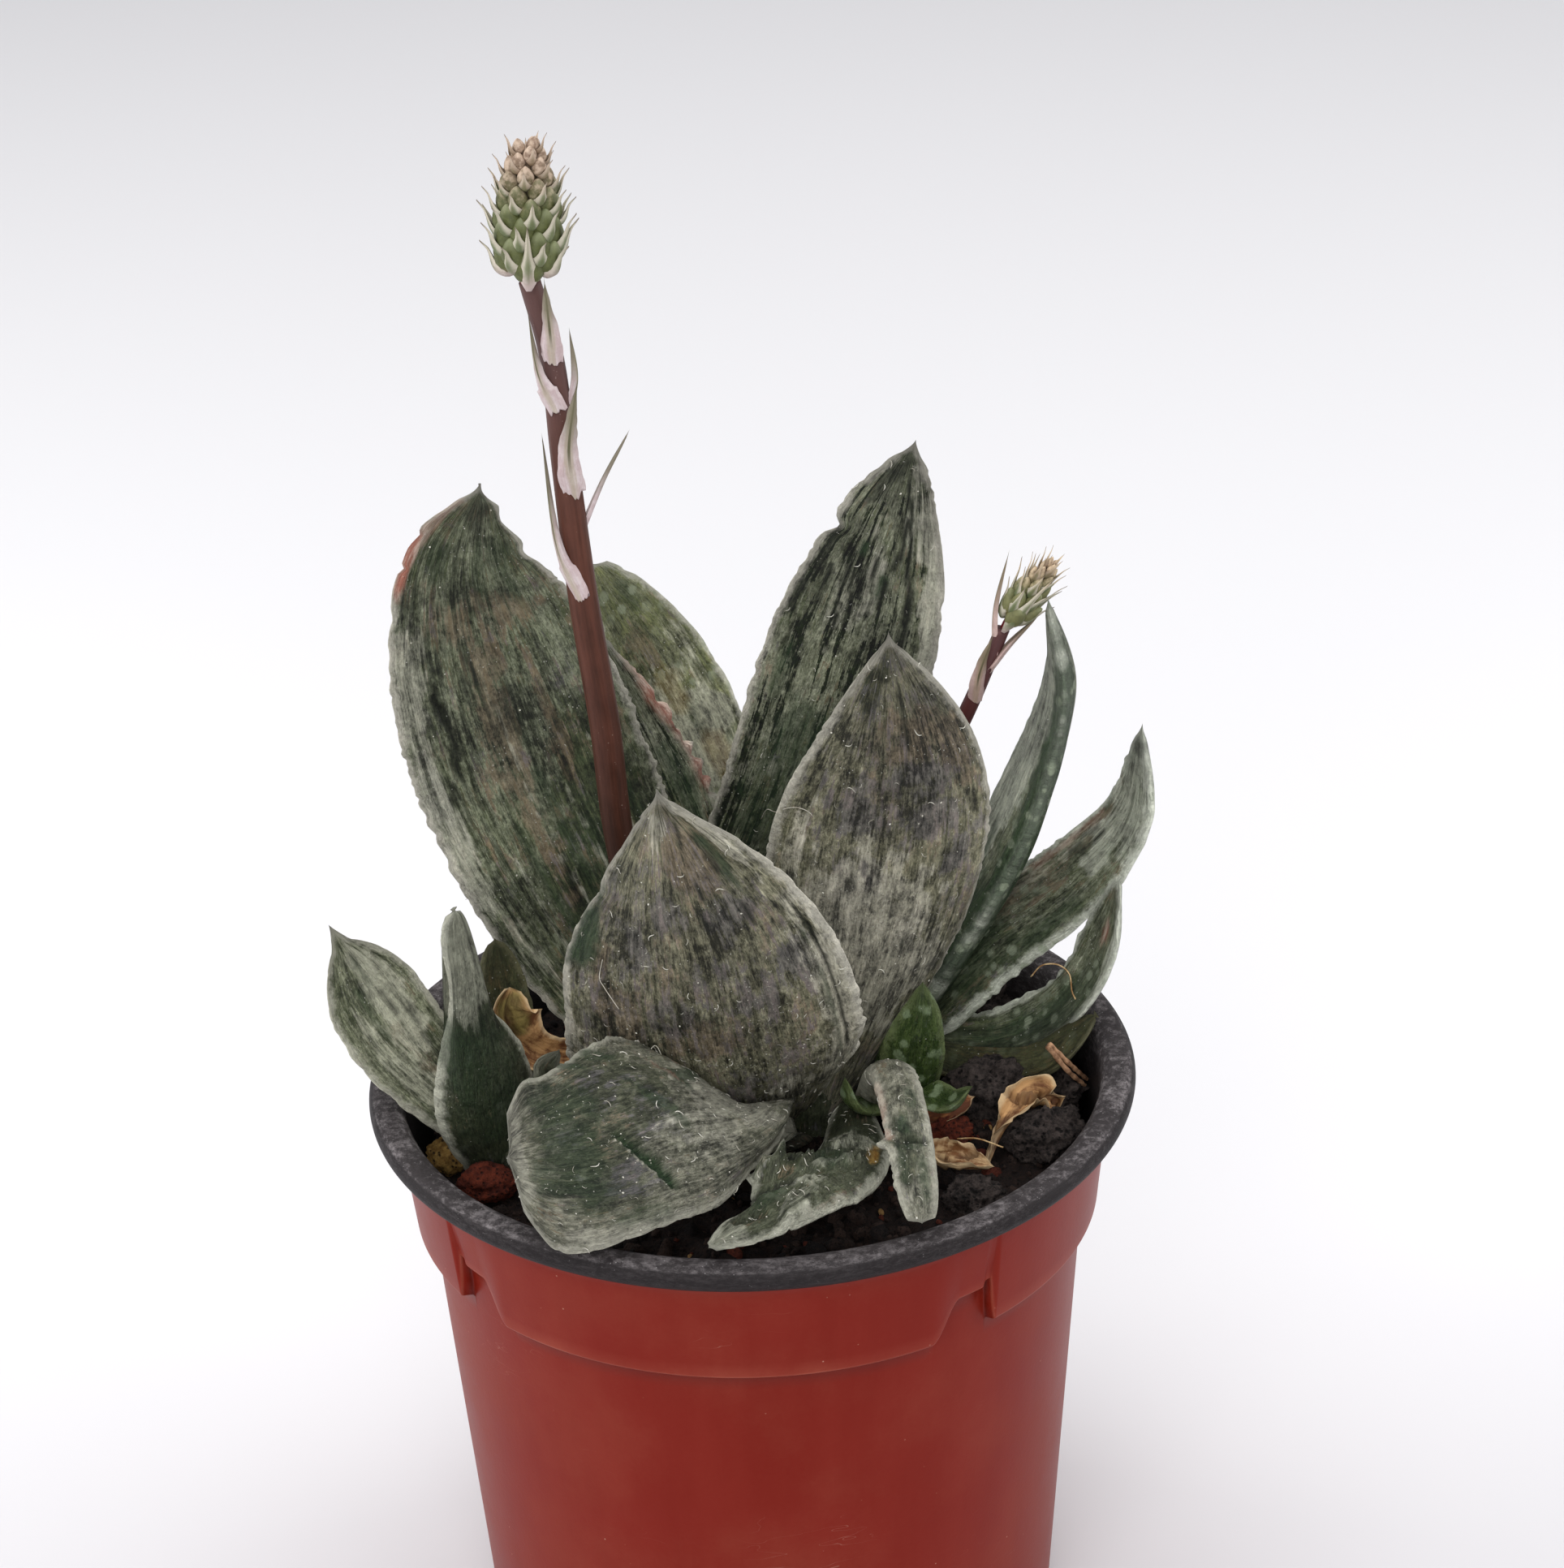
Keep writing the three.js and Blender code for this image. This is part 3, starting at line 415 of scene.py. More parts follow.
def ring_faces(rings: int, sides: int, start: int = 0) -> list[tuple[int, ...]]:
    """Faces of a tube of rings, closed at both ends by a fan to two last points.

    Args:
        rings: number of rings.
        sides: points of each ring.
        start: number of the first ring's first point; the fans' points follow the last ring.

    Returns:
        The faces.
    """
    faces = []
    first, last = start + rings * sides, start + rings * sides + 1
    end = start + (rings - 1) * sides
    for side in range(sides):
        after = (side + 1) % sides
        faces.append((first, start + after, start + side))
        faces.append((last, end + side, end + after))
        for ring in range(rings - 1):
            low, high = start + ring * sides, start + (ring + 1) * sides
            faces.append((low + side, low + after, high + after, high + side))
    return faces


def face_out(mesh: bpy.types.Mesh) -> None:
    """Turns the faces of a closed mesh outwards."""
    shell = bmesh.new()
    shell.from_mesh(mesh)
    bmesh.ops.recalc_face_normals(shell, faces=shell.faces)
    shell.to_mesh(mesh)
    shell.free()


def padded(shape: tuple[int, int], values: np.ndarray, foot: float, top: float) -> np.ndarray:
    """Numbers spread over all rings, with those of the two ends after them."""
    return np.append(np.broadcast_to(values, shape), [foot, top])


def store(mesh: bpy.types.Mesh, name: str, values: np.ndarray) -> None:
    """Stores a number on each point."""
    layer = mesh.attributes.new(name, "FLOAT", "POINT")
    layer.data.foreach_set("value", np.ascontiguousarray(values, np.float32).ravel())


def store_map(mesh: bpy.types.Mesh, across: np.ndarray, along: np.ndarray) -> None:
    """Stores the piece's own map, millimetres across and along, from numbers on its points."""
    layer = mesh.uv_layers.new(name="surface")
    corners = np.empty(len(mesh.loops), np.int32)
    mesh.loops.foreach_get("vertex_index", corners)
    flat = np.stack([across.ravel()[corners], along.ravel()[corners]], -1)
    layer.data.foreach_set("uv", flat.astype(np.float32).ravel())


def tube(line: CentreLine, radii: np.ndarray, sides: int) -> tuple[np.ndarray, list[tuple[int, ...]]]:
    """Points and faces of a closed round tube along a line, one radius for each ring."""
    share = np.linspace(0, 1, len(radii))
    forward = line.heading(share)
    across = np.empty_like(forward)
    side = np.cross((0.31, 0.9, 0.3), forward[0])
    for number, way in enumerate(forward):
        side = unit(side - way * np.dot(side, way))
        across[number] = side
    up = np.cross(forward, across)
    angle = np.linspace(0, 2 * np.pi, sides, endpoint=False)[None, :, None]
    rings = line.at(share)[:, None] + radii[:, None, None] * (
        np.cos(angle) * across[:, None] + np.sin(angle) * up[:, None]
    )
    points = np.vstack([rings.reshape(-1, 3), line.at([0]), line.at([1])])
    return points, ring_faces(len(radii), sides)


def place_piece(piece: bpy.types.Object, slot: str, *nodes: str) -> bpy.types.Object:
    """Seats a finished piece on the frame and reports it."""
    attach(piece, "root")
    if nodes:
        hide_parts(*nodes)
    count = sum(len(face.vertices) - 2 for face in piece.data.polygons)
    LOG.info("%s: %d triangles", piece.name, count)
    return piece


# ------------------------------------------------------------------ finishes


@dataclass(frozen=True)
class LeafFinish:
    """Fleshy leaf under a dry, silvery skin, streaked along and clouded with slate and brown."""

    name: str
    skin: Triple = srgb(152, 156, 134)
    flesh: Triple = srgb(78, 86, 56)
    deep: Triple = srgb(30, 40, 18)
    slate: Triple = srgb(92, 88, 94)
    brown: Triple = srgb(116, 98, 80)
    margin: Triple = srgb(196, 192, 178)
    green: float = 0.4  # share where the skin is worn through to the green
    clouds: float = 0.3  # share in slate
    tan: float = 0.3  # share in brown
    streaks: float = 0.4  # how strong the dark streaks are
    root: float = 0.6  # how green and dark it is towards the root
    spots: float = 0.0  # how strong the rows of pale spots are
    fresh: float = 0.0  # olive and yellow-green mottling
    dashes: float = 1.0  # how short the strokes in the skin are
    contrast: float = 1.0
    roughness: float = 0.6

    def material(self) -> bpy.types.Material:
        """Builds the material from the leaf's own map and stored numbers."""
        g = SurfaceGraph(self.name)
        line, along = g.surface_map()
        place, seed = g.place(), g.measure("seed")
        fibre = g.strokes(g.vector(line, along * 0.07, seed), 5.0, 0.7, 0.38, 0.62)
        strand = g.strokes(g.vector(line * 2.3, along * (0.33 * self.dashes), seed + 5), 4.0, 0.7, 0.36, 0.62)
        mottle = g.strokes(g.vector(line * 0.9, along * (0.36 * self.dashes), seed + 3), 6.0, 0.74, 0.4, 0.6)
        grit = g.strokes(g.vector(line * 2.4, along * 1.5, seed + 7), 3.0, 0.75, 0.34, 0.66)
        patch = g.noise(place, 0.26, 7.0, 0.75)
        zone = g.noise(g.vector(line * 0.09, along * 0.075, seed + 9), 1.0, 3.0, 0.5)
        ragged = (fibre - 0.5) * 0.14 + (strand - 0.5) * 0.14 + (mottle - 0.5) * 0.18
        blotch = g.step(g.noise(place, 0.42, 5.0, 0.7), 0.4, 0.6)
        depth = g.noise(place, 0.075, 4.0, 0.6) * 1.5 + zone * 0.8 - 1.15
        fine = mottle * 0.4 + strand * 0.35 + fibre * 0.35 + grit * 0.35 + blotch * 0.36
        tone = 1 + self.contrast * (fine + depth - 0.93)

        base = g.mix(fibre * 0.35 + mottle * 0.4 + grit * 0.25, self.flesh, self.skin)
        worn = patch * 0.4 + zone * 0.5 + ragged * 1.6 + g.measure("green") * 0.4
        fleshy = g.mix(strand * 0.6 + grit * 0.3, self.deep, self.flesh)
        base = g.mix(g.step(worn, 0.64 - 0.3 * self.green, 0.76 - 0.3 * self.green) * 0.9, base, fleshy)
        root = g.step(g.measure("along") + (mottle - 0.5) * 0.1, 0.5, 0.1) * self.root
        base = g.mix(root, base, g.mix(strand * 0.5 + grit * 0.3, self.deep, self.flesh))
        if self.fresh:
            olive = g.mix(mottle * 0.6 + strand * 0.4, srgb(64, 76, 32), srgb(132, 136, 92))
            base = g.mix(g.step(patch + ragged, 0.42, 0.54) * self.fresh, base, olive)
        tan = g.noise(place, 0.15, 6.0, 0.72) + ragged + g.measure("brown") * 0.22
        base = g.mix(g.step(tan, 0.68 - 0.3 * self.tan, 0.84 - 0.3 * self.tan) * 0.6, base, self.brown)
        cloud = g.noise(g.scaled(place, -1.0), 0.2, 7.0, 0.76) + ragged + g.measure("slate") * 0.22
        cloudy = g.step(cloud, 0.68 - 0.3 * self.clouds, 0.82 - 0.3 * self.clouds)
        base = g.mix(cloudy * 0.6, base, self.slate)
        film = g.step(g.measure("pale") + ragged * 1.2, 0.25, 0.75)
        base = g.mix(film * 0.75, base, g.mix(0.5, self.skin, self.margin))
        slash = g.noise(g.vector(line * 1.05, along * 0.075, seed + 31), 1.0, 6.0, 0.66) + (patch - 0.5) * 0.5
        slash = g.step(slash, 0.545, 0.575) * self.streaks * (1 - film * 0.8)
        base = g.mix(slash, base, g.mix(grit, srgb(18, 22, 14), self.deep))
        pores = g.step(g.cells(place, 1.1), 0.22, 0.08) * g.step(patch, 0.44, 0.56)
        base = g.scaled(base, g.maths("MAXIMUM", tone * (1 - pores * 0.4) * (1 - film * 0.15), 0.16))
        rim = g.measure("rim") + (g.noise(place, 0.55, 5.0, 0.7) - 0.5) * 2.6
        beaded = g.scaled(self.margin, 0.66 + mottle * 0.22 + grit * 0.25)
        base = g.mix(g.step(rim, 1.3, 0.2) * 0.85, base, beaded)
        green = g.mix(grit * 0.5 + strand * 0.5, srgb(22, 38, 20), srgb(54, 76, 48))
        base = g.mix(g.measure("clean") * 0.85, base, green)
        if self.spots:
            cells = g.cells(place, 0.46)
            few = g.step(g.noise(place, 0.13, 2.0), 0.5 - 0.2 * self.spots, 0.68 - 0.2 * self.spots)
            dots = g.step(cells + (grit - 0.5) * 0.14, 0.4, 0.22) * few * self.spots * (1 - film * 0.7)
            base = g.mix(dots, base, g.mix(0.5, self.skin, srgb(150, 166, 140)))
        base = g.mix(g.measure("dark"), base, g.mix(grit, srgb(12, 15, 9), srgb(40, 44, 32)))
        base = g.mix(g.measure("blush"), base, g.mix(mottle, srgb(156, 92, 74), srgb(208, 180, 164)))
        base = g.mix(g.measure("yellow"), base, g.mix(mottle, srgb(140, 100, 40), srgb(186, 152, 80)))
        dust = g.step(g.cells(place, 1.35), 0.15, 0.07) * g.step(g.noise(place, 0.17, 3.0), 0.5, 0.6)
        base = g.mix(dust * 0.85, base, srgb(206, 206, 194))
        height = fibre * 0.35 + strand * 0.35 + mottle * 0.35 + grit * 0.25 + patch * 0.9
        height = height + dust * 0.3 - slash * 0.35
        normal = g.bump(height, 0.45, 1.0)
        return g.finished(base, self.roughness + (grit - 0.5) * 0.16, normal, Specular_IOR_Level=0.3)


@dataclass(frozen=True)
class DriedFinish:
    """Thin dead leaf, golden to dark brown, crackled and curled."""

    name: str
    light: Triple = srgb(196, 156, 104)
    dark: Triple = srgb(92, 54, 26)
    brown: float = 0.5  # share in the dark brown

    def material(self) -> bpy.types.Material:
        """Builds the material from the leaf's own map."""
        g = SurfaceGraph(self.name)
        across, along = g.surface_map()
        flat = g.vector(across, along, g.measure("seed") * 5)
        veins = g.noise(g.vector(across * 1.8, along * 0.3, 2.0), 1.0, 5.0, 0.6)
        cloud = g.noise(flat, 0.35, 5.0, 0.62)
        shift = self.brown * 0.25
        pale = g.step(cloud * 0.7 + veins * 0.5, 0.4 + shift, 0.62 + shift)
        colour = g.mix(pale, self.dark, self.light)
        edge = g.step(g.measure("rim") + (g.noise(flat, 0.9, 3.0) - 0.5) * 0.6, 0.5, 0.1)
        colour = g.mix(edge * 0.6, colour, srgb(214, 190, 150))
        green = g.mix(g.step(veins, 0.35, 0.65), srgb(74, 66, 30), srgb(134, 124, 68))
        colour = g.mix(g.measure("green") * 0.8, colour, green)
        colour = g.mix(g.measure("dark"), colour, srgb(60, 34, 18))
        normal = g.bump(veins * 0.7 + cloud * 0.6, 0.5, 0.9)
        return g.finished(colour, 0.62 + veins * 0.2, normal, Specular_IOR_Level=0.3)


@dataclass(frozen=True)
class MembraneFinish:
    """Papery bract: white to pink, with a dark rib and a green or tan heart."""

    name: str
    sheet: Triple = srgb(204, 190, 190)
    heart: Triple = srgb(168, 158, 132)
    rib: Triple = srgb(84, 82, 54)

    def material(self) -> bpy.types.Material:
        """Builds the material from the bract's own map."""
        g = SurfaceGraph(self.name)
        across, along = g.surface_map()
        flat = g.vector(across, along, g.measure("seed") * 5)
        side = g.maths("ABSOLUTE", g.measure("share"))
        share = g.measure("along")
        veins = g.noise(g.vector(across * 4.0, along * 0.35, g.measure("seed")), 1.0, 4.0, 0.6)
        heart = g.step(side + (veins - 0.5) * 0.7 - share * 0.55, 0.42, 0.05)
        blush = g.noise(flat, 0.5, 5.0, 0.7)
        pink = g.mix(0.4, self.sheet, srgb(150, 108, 110))
        colour = g.mix(g.step(veins * 0.4 + blush * 0.6, 0.4, 0.6), pink, self.sheet)
        colour = g.mix(heart * 0.6, colour, self.heart)
        rib = g.step(side - share * 0.18, 0.13, 0.02) * g.step(share, 0.12, 0.45)
        colour = g.mix(rib, colour, self.rib)
        tip = g.step(share + (veins - 0.5) * 0.3, 0.3, 0.75) * 0.85
        colour = g.mix(tip, colour, g.mix(0.25, self.rib, self.heart))
        normal = g.bump(veins + g.noise(flat, 1.4, 3.0) * 0.6, 0.25, 0.8)
        return g.finished(colour, 0.5 + veins * 0.15, normal, Specular_IOR_Level=0.4)


@dataclass(frozen=True)
class StalkFinish:
    """Flower stalk: brownish red to dark red, waxy, with faint ribs and a little dust."""

    name: str
    light: Triple = srgb(92, 54, 42)
    dark: Triple = srgb(46, 22, 12)

    def material(self) -> bpy.types.Material:
        """Builds the material from the stalk's own map."""
        g = SurfaceGraph(self.name)
        across, along = g.surface_map()
        flat = g.vector(across, along * 0.4, 3.0)
        ribs = g.noise(g.vector(across * 1.6, along * 0.04, 1.0), 1.0, 4.0, 0.6)
        cloud = g.noise(flat, 0.6, 5.0, 0.6)
        share = g.measure("along")
        colour = g.mix(g.step(ribs * 0.5 + cloud * 0.35 + share * 0.35, 0.35, 0.85), self.dark, self.light)
        colour = g.mix(g.step(share, 0.5, 0.12), colour, g.mix(ribs, srgb(26, 13, 6), srgb(48, 28, 16)))
        colour = g.mix(g.step(share, 0.7, 0.95) * 0.5, colour, srgb(88, 72, 74))
        specks = g.step(g.cells(g.vector(across, along, 0.0), 1.3), 0.14, 0.05) * g.step(cloud, 0.5, 0.65)
        colour = g.mix(specks * 0.4, colour, srgb(190, 170, 160))
        normal = g.bump(ribs * 0.8 + g.noise(flat, 3.0, 3.0) * 0.3, 0.16, 0.7)
        return g.finished(colour, 0.4 + cloud * 0.2, normal, Specular_IOR_Level=0.22)


@dataclass(frozen=True)
class BudFinish:
    """Flower head: green buds below, cream and tan ones at the top, with pale bracts."""

    name: str
    low: float  # height of the head's foot, mm
    high: float  # height of its top, mm
    green: Triple = srgb(92, 98, 54)
    cream: Triple = srgb(206, 186, 164)

    def material(self) -> bpy.types.Material:
        """Builds the material from height and from what each point belongs to."""
        g = SurfaceGraph(self.name)
        place = g.place()
        _, _, up = g.parts(place)
        share = (up - self.low) / (self.high - self.low)
        grain = g.noise(place, 1.2, 4.0, 0.6)
        fine = g.noise(place, 4.5, 3.0, 0.6)
        age = g.measure("chance")
        length = g.measure("along")
        top = g.step(share + (grain - 0.5) * 0.35, 0.5, 0.86)
        bud = g.mix(g.step(grain, 0.3, 0.7), g.mix(0.4, self.green, srgb(38, 44, 22)), self.green)
        bud = g.mix(g.step(length + (age - 0.5) * 0.3, 0.35, 0.02) * 0.6, bud, srgb(140, 124, 84))
        bud = g.mix(g.step(length, 0.72, 1.0) * 0.5, bud, srgb(150, 156, 120))
        bud = g.mix(top, bud, g.mix(g.step(grain, 0.35, 0.6), srgb(130, 106, 88), self.cream))
        side = g.maths("ABSOLUTE", g.measure("share"))
        edge = g.step(side + (grain - 0.5) * 0.4, 0.2, 0.75)
        bract = g.mix(edge, srgb(104, 114, 78), srgb(190, 184, 166))
        bract = g.mix(g.step(length, 0.5, 0.75) * 0.8, bract, srgb(192, 184, 166))
        foot = g.step(share, 0.2, -0.02)
        bract = g.mix(foot, bract, g.mix(grain, srgb(184, 150, 146), srgb(222, 212, 208)))
        old = g.mix(g.step(length + (grain - 0.5) * 0.5, 0.35, 0.85), srgb(136, 110, 88), self.cream)
        bract = g.mix(top * 0.85, bract, old)
        keel = g.step(side, 0.2, 0.03) * g.step(length, 0.3, 0.5) * (0.55 - top * 0.3)
        bract = g.mix(keel, bract, srgb(104, 108, 72))
        bract = g.mix(g.step(length, 0.84, 1.0) * 0.75, bract, srgb(104, 88, 74))
        colour = g.mix(g.measure("bract"), bud, bract)
        core = g.mix(top, srgb(60, 62, 36), srgb(140, 116, 94))
        core = g.mix(g.step(share, 0.1, 0.5), srgb(120, 40, 44), core)
        colour = g.mix(g.measure("core"), colour, core)
        normal = g.bump(grain * 0.5 + fine * 0.5, 0.22, 0.7)
        return g.finished(colour, 0.46 + fine * 0.2, normal, Specular_IOR_Level=0.4)


@dataclass(frozen=True)
class PotFinish:
    """Two-layer nursery pot: terracotta red outside, black rim and inside, dusty and scuffed, with a painted
    highlight and painted shadow at the collar's lower edge, painted sheen on the rim's sides and painted
    shade inside below the rim.
    """

    name: str = "pot_plastic"
    red: Triple = srgb(117, 17, 2)
    black: Triple = srgb(34, 30, 31)

    def material(self) -> bpy.types.Material:
        """Builds the material from place and from which layer shows."""
        g = SurfaceGraph(self.name)
        place = g.place()
        x, y, up = g.parts(place)
        dark = g.measure("black")
        cloud = g.noise(place, 0.045, 4.0, 0.55)
        fine = g.noise(place, 1.6, 4.0, 0.7)
        streak = g.noise(g.vector(x * 0.2, y * 0.2, up * 0.03), 1.0, 4.0, 0.6)
        deep, faded = g.mix(0.1, self.red, srgb(70, 20, 14)), g.mix(0.05, self.red, srgb(160, 90, 76))
        red = g.mix(g.step(cloud * 0.5 + streak * 0.5, 0.3, 0.7), deep, faded)
        haze = g.step(g.noise(place, 0.05, 6.0, 0.6), 0.4, 0.75)
        red = g.mix(haze * 0.07 + fine * 0.03, red, srgb(180, 116, 90))
        motes = g.step(g.cells(place, 0.42), 0.06, 0.025) * g.step(g.noise(place, 0.12, 1.0), 0.52, 0.62)
        level = g.noise(g.vector(x * 0.1, y * 0.1, up * 0.4), 1.0, 2.0)
        scratch = g.step(g.maths("ABSOLUTE", level - 0.5), 0.003, 0.0)
        marks = g.clamped(motes + scratch * g.step(cloud, 0.54, 0.66) * 0.4)
        red = g.mix(marks * 0.5, red, srgb(206, 170, 150))
        # lip: above 0 a painted highlight on the collar's lower edge, below 0 a painted shadow just under it
        lip = g.measure("lip")
        # painted highlight along the collar's lower edge
        red = g.mix(g.clamped(lip) * (0.16 + haze * 0.2), red, srgb(204, 120, 96))
        # painted shadow just under the collar's lower edge
        red = g.mix(g.clamped(lip * -1.0) * 0.55, red, srgb(40, 8, 4))
        rub = g.noise(g.vector(x * 0.7, y * 0.7, up * 2.2), 1.0, 7.0, 0.82)
        scuff = g.step(rub + (g.noise(place, 0.08, 2.0) - 0.5) * 0.3, 0.44, 0.7)
        flecks = g.step(g.cells(place, 1.6), 0.16, 0.06) * g.step(g.noise(place, 0.3, 3.0), 0.46, 0.6)
        edge = g.measure("wear")
        # side: the scuffs grow towards the pot's left and right, a painted sheen on the rim's sides on top of
        # real scuffs
        side = 0.55 + g.clamped(g.maths("ABSOLUTE", x) * 0.02) * 0.75
        scuffs_and_sheen = g.clamped((scuff * (0.12 + 0.36 * edge) + fine * 0.1 * edge) * side)
        # the black layer, lighter where really scuffed and where the painted sheen falls at the sides
        black_and_inner_shade = g.mix(scuffs_and_sheen, self.black, srgb(156, 149, 150))
        black_and_inner_shade = g.mix(flecks * (0.2 + 0.4 * edge), black_and_inner_shade, srgb(176, 172, 172))
        # painted shade: the black inner wall goes near black below the rim, down to the mix
        black_and_inner_shade = g.mix(g.step(up, 79.0, 74.0), black_and_inner_shade, srgb(14, 11, 10))
        colour = g.mix(dark, red, black_and_inner_shade)
        roughness = 0.36 + haze * 0.08 + marks * 0.3 + fine * 0.06 + dark * (0.12 + scuff * 0.16)
        normal = g.bump(fine * 0.3 + (scuff * 0.8 + flecks) * dark, 0.12, 0.5)
        return g.finished(colour, roughness, normal, Specular_IOR_Level=0.13)


@dataclass(frozen=True)
class GritFinish:
    """Porous grit or crumbly mix, speckled, with open pores that are painted dark as shade."""

    name: str
    light: Triple
    dark: Triple
    pore_shade: Triple = srgb(14, 9, 8)
    pores: float = 0.5  # how far painted shade darkens the pores
    pore_size: float = 1.1  # pores per millimetre

    def material(self) -> bpy.types.Material:
        """Builds the material from place and from each grain's own chance number."""
        g = SurfaceGraph(self.name)
        place = g.place()
        chance = g.measure("chance")
        grain = g.noise(place, 0.9, 6.0, 0.72)
        fine = g.noise(place, 4.0, 4.0, 0.7)
        holes = g.step(g.cells(place, self.pore_size) + (fine - 0.5) * 0.3, 0.34, 0.14)
        colour = g.mix(g.step(grain + (chance - 0.5) * 0.5, 0.3, 0.72), self.dark, self.light)
        # painted shade in the pores
        colour = g.mix(holes * self.pores, colour, self.pore_shade)
        colour = g.mix(g.measure("tan"), colour, g.mix(fine, srgb(120, 84, 46), srgb(186, 150, 98)))
        colour = g.mix(g.measure("rust"), colour, g.mix(fine, srgb(54, 22, 14), srgb(106, 48, 32)))
        normal = g.bump(grain + fine * 0.5 - holes, 0.9, 1.0)
        return g.finished(colour, 0.85, normal, Specular_IOR_Level=0.2)


@dataclass(frozen=True)
class ThreadFinish:
    """Fine thread, hair or splinter, nearly one colour with slight change along it."""

    name: str
    light: Triple
    dark: Triple

    def material(self) -> bpy.types.Material:
        """Builds the material from place."""
        g = SurfaceGraph(self.name)
        place = g.place()
        change = g.noise(place, 0.7, 4.0, 0.6)
        fine = g.noise(place, 5.0, 3.0, 0.6)
        colour = g.mix(g.step(change, 0.35, 0.65), self.dark, self.light)
        return g.finished(colour, 0.7, g.bump(fine, 0.1, 0.8), Specular_IOR_Level=0.25)


# ------------------------------------------------------------------ leaves


class Trait(Enum):
    """What a mark on a leaf changes."""

    DARK = "dark"  # bruises, cracks and pits
    CLEAN = "clean"  # clear green without the dry skin
    GREEN = "green"  # skin worn thin
    SLATE = "slate"
    BROWN = "brown"
    PALE = "pale"
    BLUSH = "blush"
    YELLOW = "yellow"


DARK, CLEAN, GREEN, SLATE, BROWN, PALE, BLUSH, YELLOW = Trait


@dataclass(frozen=True)
class Mark:
    """A soft-edged mark on a leaf; length, width, sunk and lift are in millimetres."""

    trait: Trait
    along: float  # share of the way from root to tip
    across: float  # share of the way out to the margin, -1 to 1
    length: float
    width: float
    strength: float = 1.0
    turn: float = 0.0  # degrees
    sunk: float = 0.0  # how deep it lies in the leaf, less than 0 for a ridge
    lift: float = 0.0  # how far the whole leaf bends up there
    only: int = 0  # 1 only on the upper side, -1 only on the underside


@dataclass(frozen=True)
class Dent:
    """A place where the margin on one side, 1 or -1, draws in by a depth over a length."""

    along: float
    side: int
    depth: float
    length: float


def marked(*rows: tuple[Trait | float, ...]) -> tuple[Mark, ...]:
    """Marks from rows of values in the order of the mark's own."""
    return tuple(Mark(*row) for row in rows)


def dented(*rows: tuple[float, ...]) -> tuple[Dent, ...]:
    """Dents from rows of values: along, side, depth and length."""
    return tuple(Dent(*row) for row in rows)


